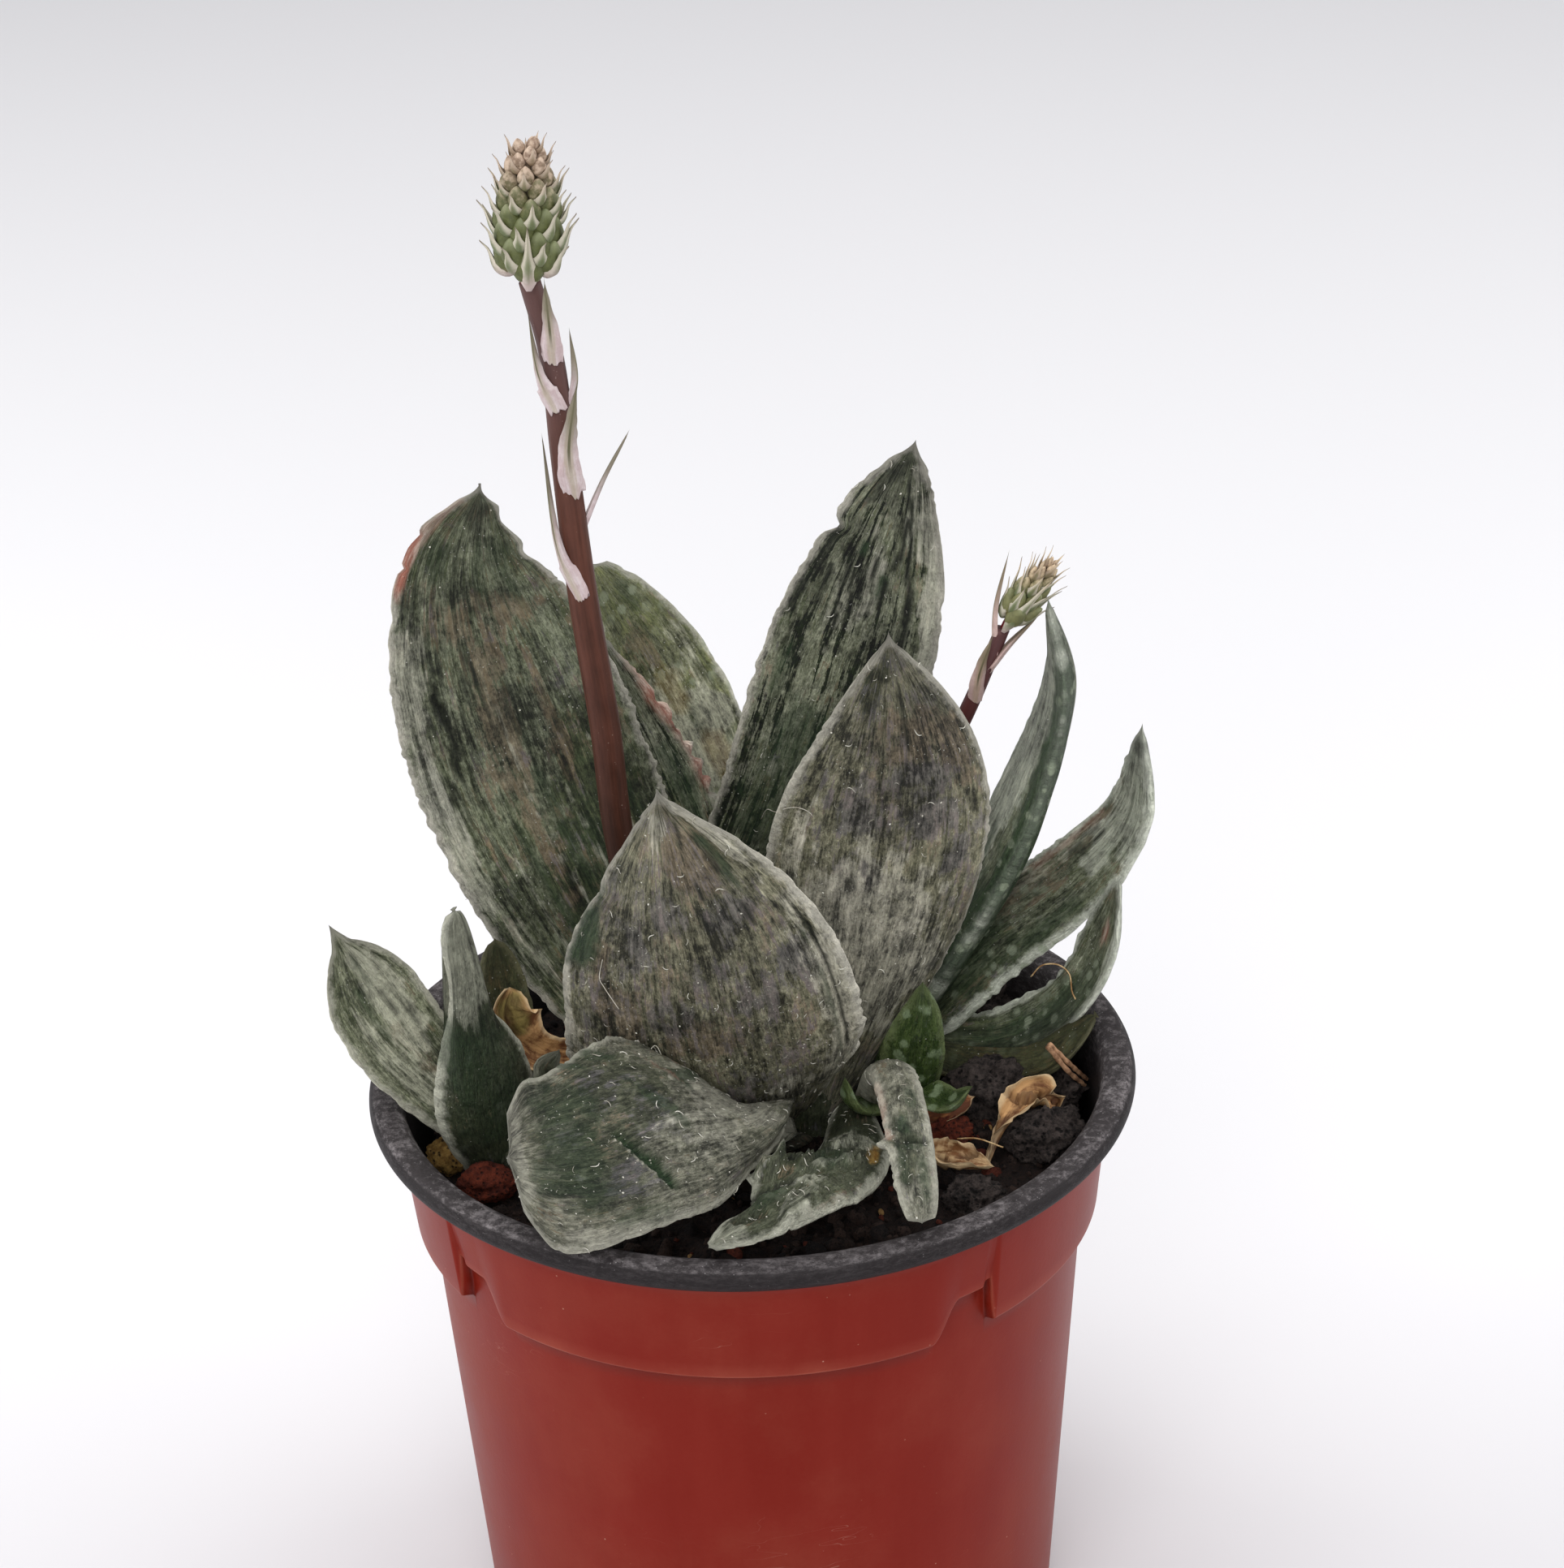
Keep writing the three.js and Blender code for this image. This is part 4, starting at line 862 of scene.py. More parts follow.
@dataclass(frozen=True)
class Leaf:
    """A leaf on a centre line from root to tip, with its section, margin and marks."""

    name: str
    spine: tuple[Triple, ...]
    root_face: Triple  # the way its upper side looks, at the root
    tip_face: Triple
    width: float
    thick: float
    finish: str
    neck: float = 0.55  # width at the root, as a share of the width
    belly: float = 0.5  # where along the leaf it is widest
    blunt: float = 2.2  # how long it stays wide past the belly
    point: float = 0.75  # how fast it closes at the tip
    cup: float = 0.0  # how far its sides curl up
    fold: float = 0.0  # how far it folds along its crease
    crease: float = 0.0  # where the crease lies across, -1 to 1
    mucro: float = 1.6  # length of the point at the tip
    slim: float = 0.55  # how much thinner it is at the tip
    slot: str = "leaf"
    teeth: float = 0.28  # how far the margin's tubercles stand out
    furrow: float = 0.1  # depth of the wrinkles along the leaf
    swell: float = 0.3  # height of its soft unevenness
    ragged: float = 0.0  # how far a torn margin wanders
    grain: float = 0.5  # size of the mesh's faces
    marks: tuple[Mark, ...] = ()
    dents: tuple[Dent, ...] = ()
    sharp: float = 1.7  # how hollow the sides of the tip's point are
    frayed: float = 0.0  # how far the root's edge is torn

    LAST_STATION = 0.975

    def outline(self, along: np.ndarray) -> np.ndarray:
        """Half width as a share of the greatest, along the leaf from 0 to 1."""
        rising = self.neck + (1 - self.neck) * np.sin(np.pi / 2 * along / self.belly)
        past = np.clip((along - self.belly) / (1 - self.belly), 0, 1)
        return np.where(along < self.belly, rising, (1 - past**self.blunt) ** self.point)

    def mesh(self, seed: int) -> bpy.types.Mesh:
        """The leaf as a closed mesh with its map and stored numbers.

        Args:
            seed: start of its random unevenness.

        Returns:
            The mesh.
        """
        line = CentreLine(self.spine)
        rows = int(np.clip(line.length / self.grain, 24, 210))
        sides = 2 * int(np.clip(self.width / self.grain, 10, 76))
        tip_rows = 7
        last = self.LAST_STATION
        station = np.append(np.linspace(0, last, rows), np.full(tip_rows, last))
        tip = np.concatenate([np.zeros(rows), np.linspace(0, 0.94, tip_rows + 1)[1:]])
        forward = line.heading(station)
        centre = line.at(station) + line.heading(np.ones(1)) * (tip * self.mucro)[:, None]
        lean = station[:, None]
        face = np.array(self.root_face) * (1 - lean) + np.array(self.tip_face) * lean
        face = unit(face - forward * np.sum(face * forward, 1, keepdims=True))
        across = np.cross(forward, face)
        taper = (1 - tip) ** self.sharp
        half = self.width / 2 * self.outline(station) * taper
        depth = self.thick / 2 * (1 - self.slim * station**2) * (1 - 0.7 * station**8) * taper

        angle = np.linspace(0, 2 * np.pi, sides, endpoint=False)
        share, height = np.cos(angle)[None], np.sin(angle)[None]
        along_mm = (station * line.length + tip * self.mucro)[:, None]
        side = np.sign(share + 1e-9)
        ripple = Ripple(seed)
        edge = smooth_step(np.abs(share), 0.82, 1.0)
        wander = 0.6 + 0.6 * ripple.at(along_mm / 6, side * 4.1)
        beads = (np.abs(ripple.at(along_mm / 1.3, side * 7.3)) ** 0.7 * 2.2 - 1.0) * wander
        torn = ripple.at(along_mm / 2.3, side * 3.1, 3)
        narrow = np.minimum(1, half[:, None] / 2)
        reach = half[:, None] + edge * (self.teeth * beads + self.ragged * torn) * narrow
        for dent in self.dents:
            pull = np.exp(-(((station - dent.along) * line.length / dent.length) ** 2))[:, None]
            reach = reach - dent.depth * pull * (side == dent.side) * smooth_step(np.abs(share), 0.3, 1.0)
        u = share * reach
        rough = self.furrow * ripple.at(u / 0.85 + 40, along_mm / 16, 2)
        broad = np.minimum(1, self.width / 25)
        rough = rough + self.swell * ripple.at(u / 9 + 9, along_mm / 11 + 5, 2) * broad
        inner = 1 - smooth_step(np.abs(share), 0.9, 1.0)
        bulge = height * depth[:, None] * np.where(height > 0, 0.8, 1.2)
        bulge = bulge + np.sign(height) * rough * inner * taper[:, None]
        bend = half[:, None] * (self.cup * share**2 + self.fold * np.abs(share - self.crease))
        numbers = {trait: np.zeros(u.shape) for trait in Trait}
        for order, mark in enumerate(self.marks):
            weight = self._weight(mark, u, along_mm / line.length, line.length, Ripple(seed + 50 + order))
            weight = weight * (height * mark.only >= 0)
            numbers[mark.trait] = np.maximum(numbers[mark.trait], weight * mark.strength)
            bulge = bulge - np.sign(height) * inner * mark.sunk * weight
            bend = bend + mark.lift * weight
        points = centre[:, None] + across[:, None] * u[..., None] + face[:, None] * (bulge + bend)[..., None]

        loose = (ripple.at(share * 3.1 + 3, 0.5, 3) + 0.3) * (1 - smooth_step(station[:, None], 0, 0.14))
        points = points - forward[:, None] * (self.frayed * loose)[..., None]

        apex = points[rows - 1].mean(0) + line.heading(np.ones(1))[0] * self.mucro
        points = np.vstack([points.reshape(-1, 3), line.at([0]), apex[None]])
        mesh = mesh_from(self.name, points, ring_faces(len(station), sides))
        face_out(mesh)
        shape, end = u.shape, line.length + self.mucro
        store_map(mesh, padded(shape, share * self.width / 2, 0, 0), padded(shape, along_mm, 0, end))
        store(mesh, "share", padded(shape, share, 0, 0))
        store(mesh, "along", padded(shape, station[:, None], 0, 1))
        store(mesh, "rim", padded(shape, reach * (1 - np.abs(share)), 3, 0))
        store(mesh, "seed", np.full(len(points), seed % 17 + 0.5))
        for trait in Trait:
            store(mesh, trait.value, padded(shape, numbers[trait], 0, 0))
        return mesh

    def _weight(
        self, mark: Mark, u: np.ndarray, share: np.ndarray, length: float, ripple: Ripple
    ) -> np.ndarray:
        """How strongly a mark shows at each point, from 0 to 1."""
        middle = mark.across * self.width / 2 * self.outline(np.clip(share, 0, self.LAST_STATION))
        x, y = u - middle, (share - mark.along) * length
        turn = math.radians(mark.turn)
        lengthways = (y * math.cos(turn) + x * math.sin(turn)) / (mark.length / 2)
        sideways = (x * math.cos(turn) - y * math.sin(turn)) / (mark.width / 2)
        distance = np.hypot(lengthways, sideways) + 0.3 * ripple.at(u / 1.6, share * length / 2.2, 3)
        return 1 - smooth_step(distance, 0.55, 1.05)


LEAF_FINISHES = (
    LeafFinish("leaf_silver", dashes=0.4, green=0.5, clouds=0.2, tan=0.4, streaks=0.5, contrast=1.3),
    LeafFinish(
        "leaf_dusky", dashes=0.75, green=0.15, root=0.15, clouds=0.45, tan=0.5, streaks=0.3,
        skin=srgb(150, 147, 124), flesh=srgb(86, 85, 62), contrast=1.5,
    ),
    LeafFinish(
        "leaf_streaked", dashes=0.55, green=0.45, clouds=0.1, tan=0.15, streaks=1.0,
        skin=srgb(152, 154, 134), flesh=srgb(86, 92, 66), contrast=1.25,
    ),
    LeafFinish(
        "leaf_spotted", dashes=0.5, green=0.5, root=0.8, clouds=0.15, tan=0.25, streaks=0.3, spots=0.7,
        margin=srgb(216, 220, 204),
    ),
    LeafFinish(
        "leaf_mottled", green=0.35, root=0.3, clouds=0.1, tan=0.15, streaks=0.3, fresh=0.85, spots=0.7,
        skin=srgb(172, 174, 144), flesh=srgb(96, 102, 60), margin=srgb(214, 212, 196),
    ),
    LeafFinish(
        "leaf_olive", green=0.8, clouds=0.1, tan=0.5, streaks=0.3, fresh=0.2, skin=srgb(84, 82, 52),
        flesh=srgb(50, 50, 28), brown=srgb(80, 64, 40), slate=srgb(60, 58, 44), margin=srgb(112, 110, 80),
        contrast=0.6, spots=0.2,
    ),
    LeafFinish(
        "leaf_shade", green=0.7, clouds=0.2, tan=0.25, streaks=0.35, skin=srgb(122, 126, 104),
        flesh=srgb(62, 66, 46), margin=srgb(146, 146, 128),
    ),
    LeafFinish(
        "leaf_young", green=0.9, clouds=0.0, tan=0.0, streaks=0.3, spots=1.0, skin=srgb(106, 126, 70),
        flesh=srgb(44, 64, 20), deep=srgb(24, 42, 10), margin=srgb(116, 130, 84), contrast=0.5,
        roughness=0.34,
    ),
    LeafFinish(
        "leaf_chalky", green=0.35, root=0.2, clouds=0.15, tan=0.25, streaks=0.12, skin=srgb(154, 152, 136),
        flesh=srgb(88, 90, 72), margin=srgb(184, 182, 166), contrast=1.15,
    ),
    LeafFinish(
        "leaf_dim", green=0.7, root=0.8, clouds=0.05, tan=0.15, streaks=0.25, spots=0.22,
        skin=srgb(122, 126, 104), flesh=srgb(64, 68, 48), margin=srgb(206, 206, 188), contrast=0.9,
    ),
    LeafFinish(
        "leaf_sage", dashes=0.55, green=0.3, clouds=0.1, tan=0.3, streaks=0.4, skin=srgb(176, 178, 152),
        margin=srgb(204, 202, 184),
    ),
)

DRIED_FINISHES = (
    DriedFinish("dried_pale", light=srgb(196, 166, 124), dark=srgb(112, 72, 40), brown=0.4),
    DriedFinish("dried_gold", light=srgb(186, 144, 96), dark=srgb(92, 54, 28), brown=0.35),
    DriedFinish("dried_brown", light=srgb(150, 96, 56), dark=srgb(84, 44, 22), brown=0.6),
)

LEAVES = (
    Leaf(
        "leaf_front", ((0, -1, 77), (-4.4, -13, 93), (-6.7, -17, 112), (-10.2, -14, 130.5)), (0.1, 1, 0.4),
        (0.2, 1, 0.1), 38.2, 5.5, "leaf_dusky", neck=0.43, belly=0.38, blunt=2.6, point=1.05, cup=0.2,
        teeth=0.32, furrow=0.12, swell=0.5, grain=0.44, mucro=2.4, sharp=1.8,
        marks=marked(
            (DARK, 0.5, -0.88, 36, 0.7, 0.85, 0, 0.4), (CLEAN, 0.47, -0.83, 32, 0.8, 0.6),
            (CLEAN, 0.86, -0.6, 9, 1.7, 0.9), (DARK, 0.845, -0.52, 4, 1.4, 0.7),
            (PALE, 0.88, -0.82, 12, 1.6, 1, 0, -0.4), (CLEAN, 0.655, 0.86, 10, 5),
            (CLEAN, 0.73, 0.9, 8, 3.4, 0.9), (SLATE, 0.73, -0.38, 8, 7), (SLATE, 0.75, 0.1, 6, 6),
            (SLATE, 0.59, -0.75, 9, 6), (SLATE, 0.56, -0.4, 7, 7), (SLATE, 0.25, -0.3, 10, 10, 0.7),
            (SLATE, 0.67, 0.45, 9, 6, 0.8), (SLATE, 0.5, 0.2, 8, 8, 0.6), (BROWN, 0.85, -0.3, 8, 8),
            (BROWN, 0.46, 0.6, 14, 7), (BROWN, 0.45, 0.05, 8, 12), (BROWN, 0.62, 0.72, 10, 3),
            (PALE, 0.5, -0.93, 34, 4, 1, -3), (PALE, 0.25, -0.85, 18, 7, 0.8), (PALE, 0.93, 0.2, 8, 3, 0.6),
            (PALE, 0.3, 0.95, 16, 4, 0.7), (PALE, 0.2, -0.45, 10, 9, 0.6),
            (DARK, 0.91, -0.3, 5, 0.6, 0.8, -14), (DARK, 0.735, -0.22, 4.2, 0.6, 1, -8),
            (DARK, 0.73, -0.56, 4.4, 0.6), (DARK, 0.79, -0.25, 2.6, 0.6), (DARK, 0.56, -0.45, 6, 0.5, 0.7),
            (DARK, 0.43, 0.72, 6, 0.6, 0.8), (DARK, 0.42, 0.66, 3, 0.5, 0.8),
            (PALE, 0.52, -0.86, 30, 5, 0.7), (CLEAN, 0.69, 0.9, 14, 3.6), (PALE, 0.6, 0.97, 30, 1.2, 0.8),
        ),
        dents=dented((0.2, 1, -3.5, 8), (0.8, 1, 0.7, 1.1), (0.985, -1, -0.3, 1.5)),
    ),
    Leaf(
        "leaf_front_right", ((7.5, 0, 77), (12.8, 2, 91.5), (17.2, 4, 107), (20, 5, 124), (19.6, 7, 140.8)),
        (-0.3, 1, 0.2), (-0.1, 1, 0.1), 29.6, 5, "leaf_dusky", neck=0.3, belly=0.52, blunt=2.1, point=1.02,
        cup=0.2, teeth=0.25, grain=0.44, mucro=2.6, sharp=1.8,
        marks=marked(
            (BROWN, 0.81, -0.45, 8, 10), (BROWN, 0.76, -0.7, 8, 6), (BROWN, 0.8, 0.1, 8, 10, 0.8),
            (SLATE, 0.71, -0.1, 5, 18), (SLATE, 0.64, 0.35, 8, 9), (SLATE, 0.645, -0.4, 6, 10),
            (SLATE, 0.5, 0.3, 9, 7), (SLATE, 0.57, -0.6, 7, 6), (SLATE, 0.42, -0.3, 8, 4, 0.7),
            (PALE, 0.33, 0.0, 26, 22), (PALE, 0.45, 0.0, 10, 18, 0.6), (PALE, 0.55, 0.8, 26, 3, 0.6),
            (DARK, 0.88, -0.12, 7, 0.5, 0.9), (DARK, 0.78, -0.1, 14, 0.5), (DARK, 0.7, -0.03, 6, 0.5, 0.7),
            (DARK, 0.38, -0.3, 5, 0.5, 0.8, 14), (GREEN, 0.9, 0.5, 10, 4), (PALE, 0.38, 0.1, 30, 26, 0.8),
        ),
    ),
    Leaf(
        "leaf_low_front",
        ((4, -5, 77.5), (-2.4, -20, 88), (-11.8, -32, 94.6), (-21, -38.5, 95.9), (-30.6, -41, 96)),
        (-0.5, -0.7, 1), (0.1, -0.75, 0.66), 30, 5, "leaf_chalky", neck=0.5, belly=0.62, blunt=3, point=0.5,
        cup=-0.12, mucro=1, teeth=0.4, furrow=0.2, swell=0.7, grain=0.44, sharp=1.5,
        marks=marked(
            (GREEN, 0.75, 0.3, 22, 18), (GREEN, 0.8, -0.4, 14, 10, 0.7),
            (CLEAN, 0.707, -0.345, 11, 1.9, 1.15, 65, 1.0), (PALE, 0.725, -0.3, 10, 0.7, 0.9, 65, -0.3),
            (CLEAN, 0.62, 0.16, 10, 2.6, 0.75, 65), (CLEAN, 0.5, 0.4, 6, 2, 0.9, 60),
            (CLEAN, 0.86, 0.0, 19, 9, 0.6, 76, 0.4), (CLEAN, 0.8, 0.35, 8, 5, 0.6, 60),
            (DARK, 0.6, -0.3, 14, 0.6, 0.6, 62, 0.2), (DARK, 0.66, 0.45, 9, 0.6, 0.7, 62),
            (BLUSH, 0.52, 0.52, 8, 0.8, 0.35, 60), (CLEAN, 0.69, 0.74, 7, 2.4, 0.8, 10),
            (CLEAN, 0.43, 0.42, 9, 3, 1, -4), (CLEAN, 0.9, -0.3, 7, 5, 0.6, 0, 0.3),
            (CLEAN, 0.78, 0.72, 6, 1.6, 0.8, 30), (DARK, 0.58, 0.12, 6, 1.1, 0.7, -20),
            (DARK, 0.62, 0.3, 3, 1.4, 0.7), (SLATE, 0.62, 0.0, 12, 10, 0.8), (SLATE, 0.75, -0.4, 9, 9, 0.8),
            (SLATE, 0.75, 0.4, 8, 6, 0.8), (PALE, 0.33, 0.1, 22, 14), (PALE, 0.75, -0.85, 22, 4, 0.9),
            (PALE, 0.97, 0.0, 3, 22), (BLUSH, 0.35, 0.62, 12, 1.6, 0.35), (PALE, 0.3, 0.25, 26, 16, 0.95),
            (PALE, 0.52, -0.2, 16, 12, 0.55), (CLEAN, 0.76, -0.72, 10, 3, 0.5, 8),
        ),
        dents=dented(
            (0.2, -1, 7, 9), (0.42, -1, 4.5, 8), (0.7, -1, 2.4, 10), (0.91, -1, -1.8, 4), (0.03, -1, 5, 7),
            (0.82, 1, 3.2, 9), (0.66, 1, 0.8, 6), (0.93, 1, -1.2, 1.4),
        ),
    ),
    Leaf(
        "leaf_back_tall",
        ((1, 15, 79), (1.6, 20, 95.6), (8.2, 22, 111.3), (15.8, 25, 132), (24.5, 28, 158.6)),
        (0.1, -1, 0.6), (-0.1, -1, 0.35), 22.5, 5, "leaf_streaked", neck=0.6, belly=0.6, blunt=2.1,
        point=0.88, cup=0.12, fold=0.1, crease=0.45, slot="leaf_dark", teeth=0.4, mucro=2.4, sharp=1.7,
        marks=marked(
            (PALE, 0.8, 0.88, 32, 5.4), (PALE, 0.6, 0.9, 16, 4, 0.8), (PALE, 0.75, -0.2, 20, 8, 0.5),
            (DARK, 0.93, -0.45, 10, 2.2, 0.6, 16), (DARK, 0.82, 0.45, 20, 0.8, 1, -4),
            (DARK, 0.72, 0.55, 14, 1.4, 1, 3), (DARK, 0.86, 0.3, 14, 0.7, 1, -3),
            (DARK, 0.78, 0.2, 12, 0.7, 1, 6), (DARK, 0.79, -0.05, 7, 0.7), (DARK, 0.78, -0.35, 8, 0.8),
            (CLEAN, 0.77, 0.1, 5, 1.6), (CLEAN, 0.82, -0.3, 3, 1.4), (DARK, 0.76, -0.6, 7, 1.2),
            (DARK, 0.8, -0.8, 10, 1.8, 0.8), (DARK, 0.73, -0.85, 6, 2, 0.8), (DARK, 0.7, -0.3, 2.6, 1),
            (PALE, 0.8, -0.97, 20, 1.6, 0.9), (CLEAN, 0.5, -0.3, 12, 8, 0.7),
            (CLEAN, 0.42, 0.2, 10, 6, 0.6), (CLEAN, 0.6, -0.7, 10, 2, 0.6), (PALE, 0.49, -0.78, 3, 3, 0.35),
            (PALE, 0.44, -0.45, 3.4, 3, 0.35), (PALE, 0.43, -0.8, 3, 2.6, 0.4),
            (PALE, 0.46, -0.1, 3, 3, 0.3), (PALE, 0.4, -0.3, 3, 3, 0.3), (PALE, 0.88, 0.55, 14, 4, 0.5),
            (CLEAN, 0.38, -0.1, 26, 16, 0.6), (CLEAN, 0.53, 0.35, 16, 5, 0.5),
        ),
        dents=dented((0.845, -1, 1.3, 1.0), (0.9, -1, -0.5, 3.5)),
    ),
    Leaf(
        "leaf_left_tall",
        (
            (-8, 9, 79), (-16.5, 13, 93), (-23.1, 15, 108), (-29.1, 17, 126), (-33.3, 20, 145),
            (-31.2, 21, 157.9),
        ),
        (0.35, -1, 0.5), (0.2, -1, 0.15), 30.4, 5.5, "leaf_silver", neck=0.55, belly=0.54, blunt=2.4,
        point=0.82, cup=0.06, fold=0.12, crease=-0.5, teeth=0.45, furrow=0.16, swell=0.5, mucro=2.6,
        sharp=1.9,
        marks=marked(
            (DARK, 0.965, -0.1, 5, 3.4, 0.55), (BLUSH, 0.885, -0.97, 9, 1.8, 0.9),
            (BLUSH, 0.93, -0.95, 14, 1.6, 0.45), (PALE, 0.72, -0.82, 20, 6, 0.7, 6),
            (PALE, 0.52, -0.85, 34, 6, 0.65), (PALE, 0.28, -0.8, 16, 5, 0.4),
            (BROWN, 0.66, -0.12, 34, 6, 1, 4), (BROWN, 0.6, 0.3, 26, 3), (BROWN, 0.45, -0.15, 30, 4),
            (BROWN, 0.79, -0.1, 8, 22, 0.7), (SLATE, 0.57, -0.85, 12, 5),
            (DARK, 0.7, -0.6, 6, 1.3, 1, 8, 0.4), (DARK, 0.65, -0.55, 8, 1.2, 1, -6, 0.5),
            (DARK, 0.6, -0.6, 7, 1.2, 0.9, -4, 0.4), (DARK, 0.555, -0.7, 4, 1.6, 0.8, 0, 0.3),
            (DARK, 0.735, -0.52, 2.4, 1.4, 0.8), (DARK, 0.76, -0.62, 2, 1.2, 0.7),
            (DARK, 0.75, -0.25, 3.2, 1, 0.7), (DARK, 0.72, -0.2, 4, 1, 0.8),
            (DARK, 0.64, -0.1, 6, 1.5, 0.5), (DARK, 0.82, 0.3, 4, 2, 0.4), (CLEAN, 0.9, 0.4, 8, 5, 0.4),
            (CLEAN, 0.88, -0.5, 9, 4, 0.5), (GREEN, 0.42, 0.5, 40, 14, 0.9), (GREEN, 0.3, -0.1, 26, 6),
            (CLEAN, 0.22, -0.25, 22, 3, 0.6), (CLEAN, 0.36, 0.2, 22, 6, 0.5),
            (DARK, 0.67, -0.7, 3, 1, 0.8, 20), (CLEAN, 0.36, 0.72, 44, 1.6, 0.7, -2),
            (CLEAN, 0.33, 0.45, 40, 1.3, 0.6, -2), (CLEAN, 0.38, 0.05, 46, 1.5, 0.6, -1),
            (CLEAN, 0.3, -0.3, 36, 1.4, 0.7), (PALE, 0.36, 0.58, 44, 1.0, 0.7, -2),
            (PALE, 0.34, 0.25, 40, 1.1, 0.65, -2), (PALE, 0.42, -0.08, 40, 1.0, 0.6, -1),
            (PALE, 0.3, -0.45, 34, 1.2, 0.6), (DARK, 0.66, 0.02, 9, 1.2, 0.6, 3),
            (DARK, 0.7, -0.32, 5, 0.9, 0.7, 3), (CLEAN, 0.87, 0.1, 10, 2, 0.5, 5),
            (CLEAN, 0.84, 0.45, 12, 2, 0.5, -6),
        ),
        dents=dented((0.955, 1, 1.2, 1.6), (0.905, 1, 0.8, 1.2), (0.93, -1, -0.5, 4)),
    ),
    Leaf(
        "leaf_left_1", ((-33, -4, 75.5), (-41, -3, 85), (-47.4, -3, 95), (-52.2, -2, 105.6)),
        (0.5, -0.6, 0.6), (0.6, -0.8, 0.3), 14.2, 3.5, "leaf_sage", neck=0.5, belly=0.66, blunt=2.2,
        point=0.78, cup=0.1, mucro=3.4, furrow=0.16, sharp=1.25,
        marks=marked(
            (DARK, 0.72, 0.2, 9, 0.8, 0.7, -6), (DARK, 0.8, -0.1, 7, 0.7, 0.6, -6),
            (DARK, 0.62, 0.5, 8, 0.7, 0.6), (PALE, 0.5, -0.5, 24, 3, 0.6), (PALE, 0.8, 0.3, 14, 6, 0.7),
            (DARK, 0.55, 0.4, 9, 0.7, 0.6, 10), (BROWN, 0.5, 0.1, 12, 4), (CLEAN, 0.86, 0.1, 6, 1.2, 0.6),
            (CLEAN, 0.7, -0.2, 9, 1.4, 0.6), (PALE, 0.45, -0.35, 20, 6, 0.6), (PALE, 0.62, 0.1, 16, 3, 0.5),
            (PALE, 0.64, 0.3, 18, 6, 0.8),
        ),
    ),
    Leaf(
        "leaf_left_2", ((-33, -7, 75), (-34.3, -9, 86), (-35.6, -10, 97), (-36.6, -9, 113.4)),
        (-0.4, 1, 0.2), (-0.7, 0.7, 0.1), 14.5, 4, "leaf_dim", neck=0.7, belly=0.3, blunt=1.8, point=0.5,
        cup=0.2, mucro=1, sharp=1.8, teeth=0.15,
        marks=marked(
            (CLEAN, 0.36, -0.1, 24, 10, 0.6), (PALE, 0.85, 0.3, 14, 6, 0.9), (DARK, 0.84, 0.1, 9, 0.5, 0.5),
            (DARK, 0.8, 0.5, 9, 0.5, 0.5), (PALE, 0.9, 0.6, 10, 5), (CLEAN, 0.3, 0.4, 14, 6, 0.4),
            (PALE, 0.9, 0.0, 16, 16), (PALE, 0.72, 0.1, 12, 8, 0.7), (DARK, 0.88, -0.25, 9, 0.5, 0.6),
            (CLEAN, 0.46, 0.35, 16, 7, 0.8), (PALE, 0.92, -0.05, 12, 14),
        ),
        dents=dented((0.7, 1, 3.6, 8), (0.7, -1, 3.6, 8), (0.5, 1, 1.2, 9)),
    ),
    Leaf(
        "leaf_right_1", ((20, 20, 78), (27.6, 20, 91), (36, 20, 107), (42, 20, 126), (40.6, 18, 139.8)),
        (-1, -0.2, 0.5), (-1, -0.2, 0.2), 14, 5.5, "leaf_spotted", neck=0.7, belly=0.45, blunt=1.8,
        point=0.85, cup=0.1, mucro=2.6,
        marks=marked(
            (CLEAN, 0.22, 0.2, 34, 14), (PALE, 0.68, -0.1, 44, 12, 1, 0, 0, 0, 1), (CLEAN, 0.6, 0.9, 56, 5),
            (PALE, 0.7, 0.4, 40, 3, 0.6, 0, 0, 0, -1), (PALE, 0.5, -0.4, 40, 7, 1, 0, 0, 0, 1),
            (PALE, 0.6, -0.7, 50, 6, 0.8),
        ),
    ),
    Leaf(
        "leaf_right_2",
        ((22, 18, 78), (33.7, 20, 89.5), (44.5, 20, 98.5), (51.4, 20, 107.5), (52.9, 20, 120)),
        (-0.6, -0.8, 0.8), (-0.8, -0.6, 0.2), 12.2, 5.5, "leaf_spotted", neck=0.8, belly=0.4, blunt=1.9,
        point=0.8, cup=0.1, mucro=2.2,
        marks=marked(
            (PALE, 0.78, 0.1, 26, 9, 0.75), (CLEAN, 0.2, 0.0, 16, 9, 0.6), (BROWN, 0.55, -0.6, 34, 7),
            (BLUSH, 0.58, -0.75, 18, 1.6, 0.35), (PALE, 0.9, 0.0, 8, 6, 0.8), (DARK, 0.66, -0.3, 9, 0.7),
            (CLEAN, 0.4, 0.6, 20, 3, 0.6), (DARK, 0.95, 0.3, 3, 2, 0.5), (DARK, 0.6, -0.45, 7, 0.9, 0.7),
            (DARK, 0.68, -0.55, 5, 0.8, 0.6), (PALE, 0.5, -0.62, 26, 3.4, 0.4),
            (PALE, 0.85, 0.2, 16, 8, 0.6),
        ),
    ),
    Leaf(
        "leaf_right_3", ((22, 15, 77), (33, 12, 78.2), (41, 9.6, 84), (46.4, 9, 93), (49.1, 10, 103.4)),
        (-0.2, -0.3, 1), (-0.9, -0.5, 0.4), 10.5, 3, "leaf_spotted", neck=0.6, belly=0.55, blunt=2,
        point=0.8, cup=0.3, mucro=0.8, teeth=0.45,
        marks=marked(
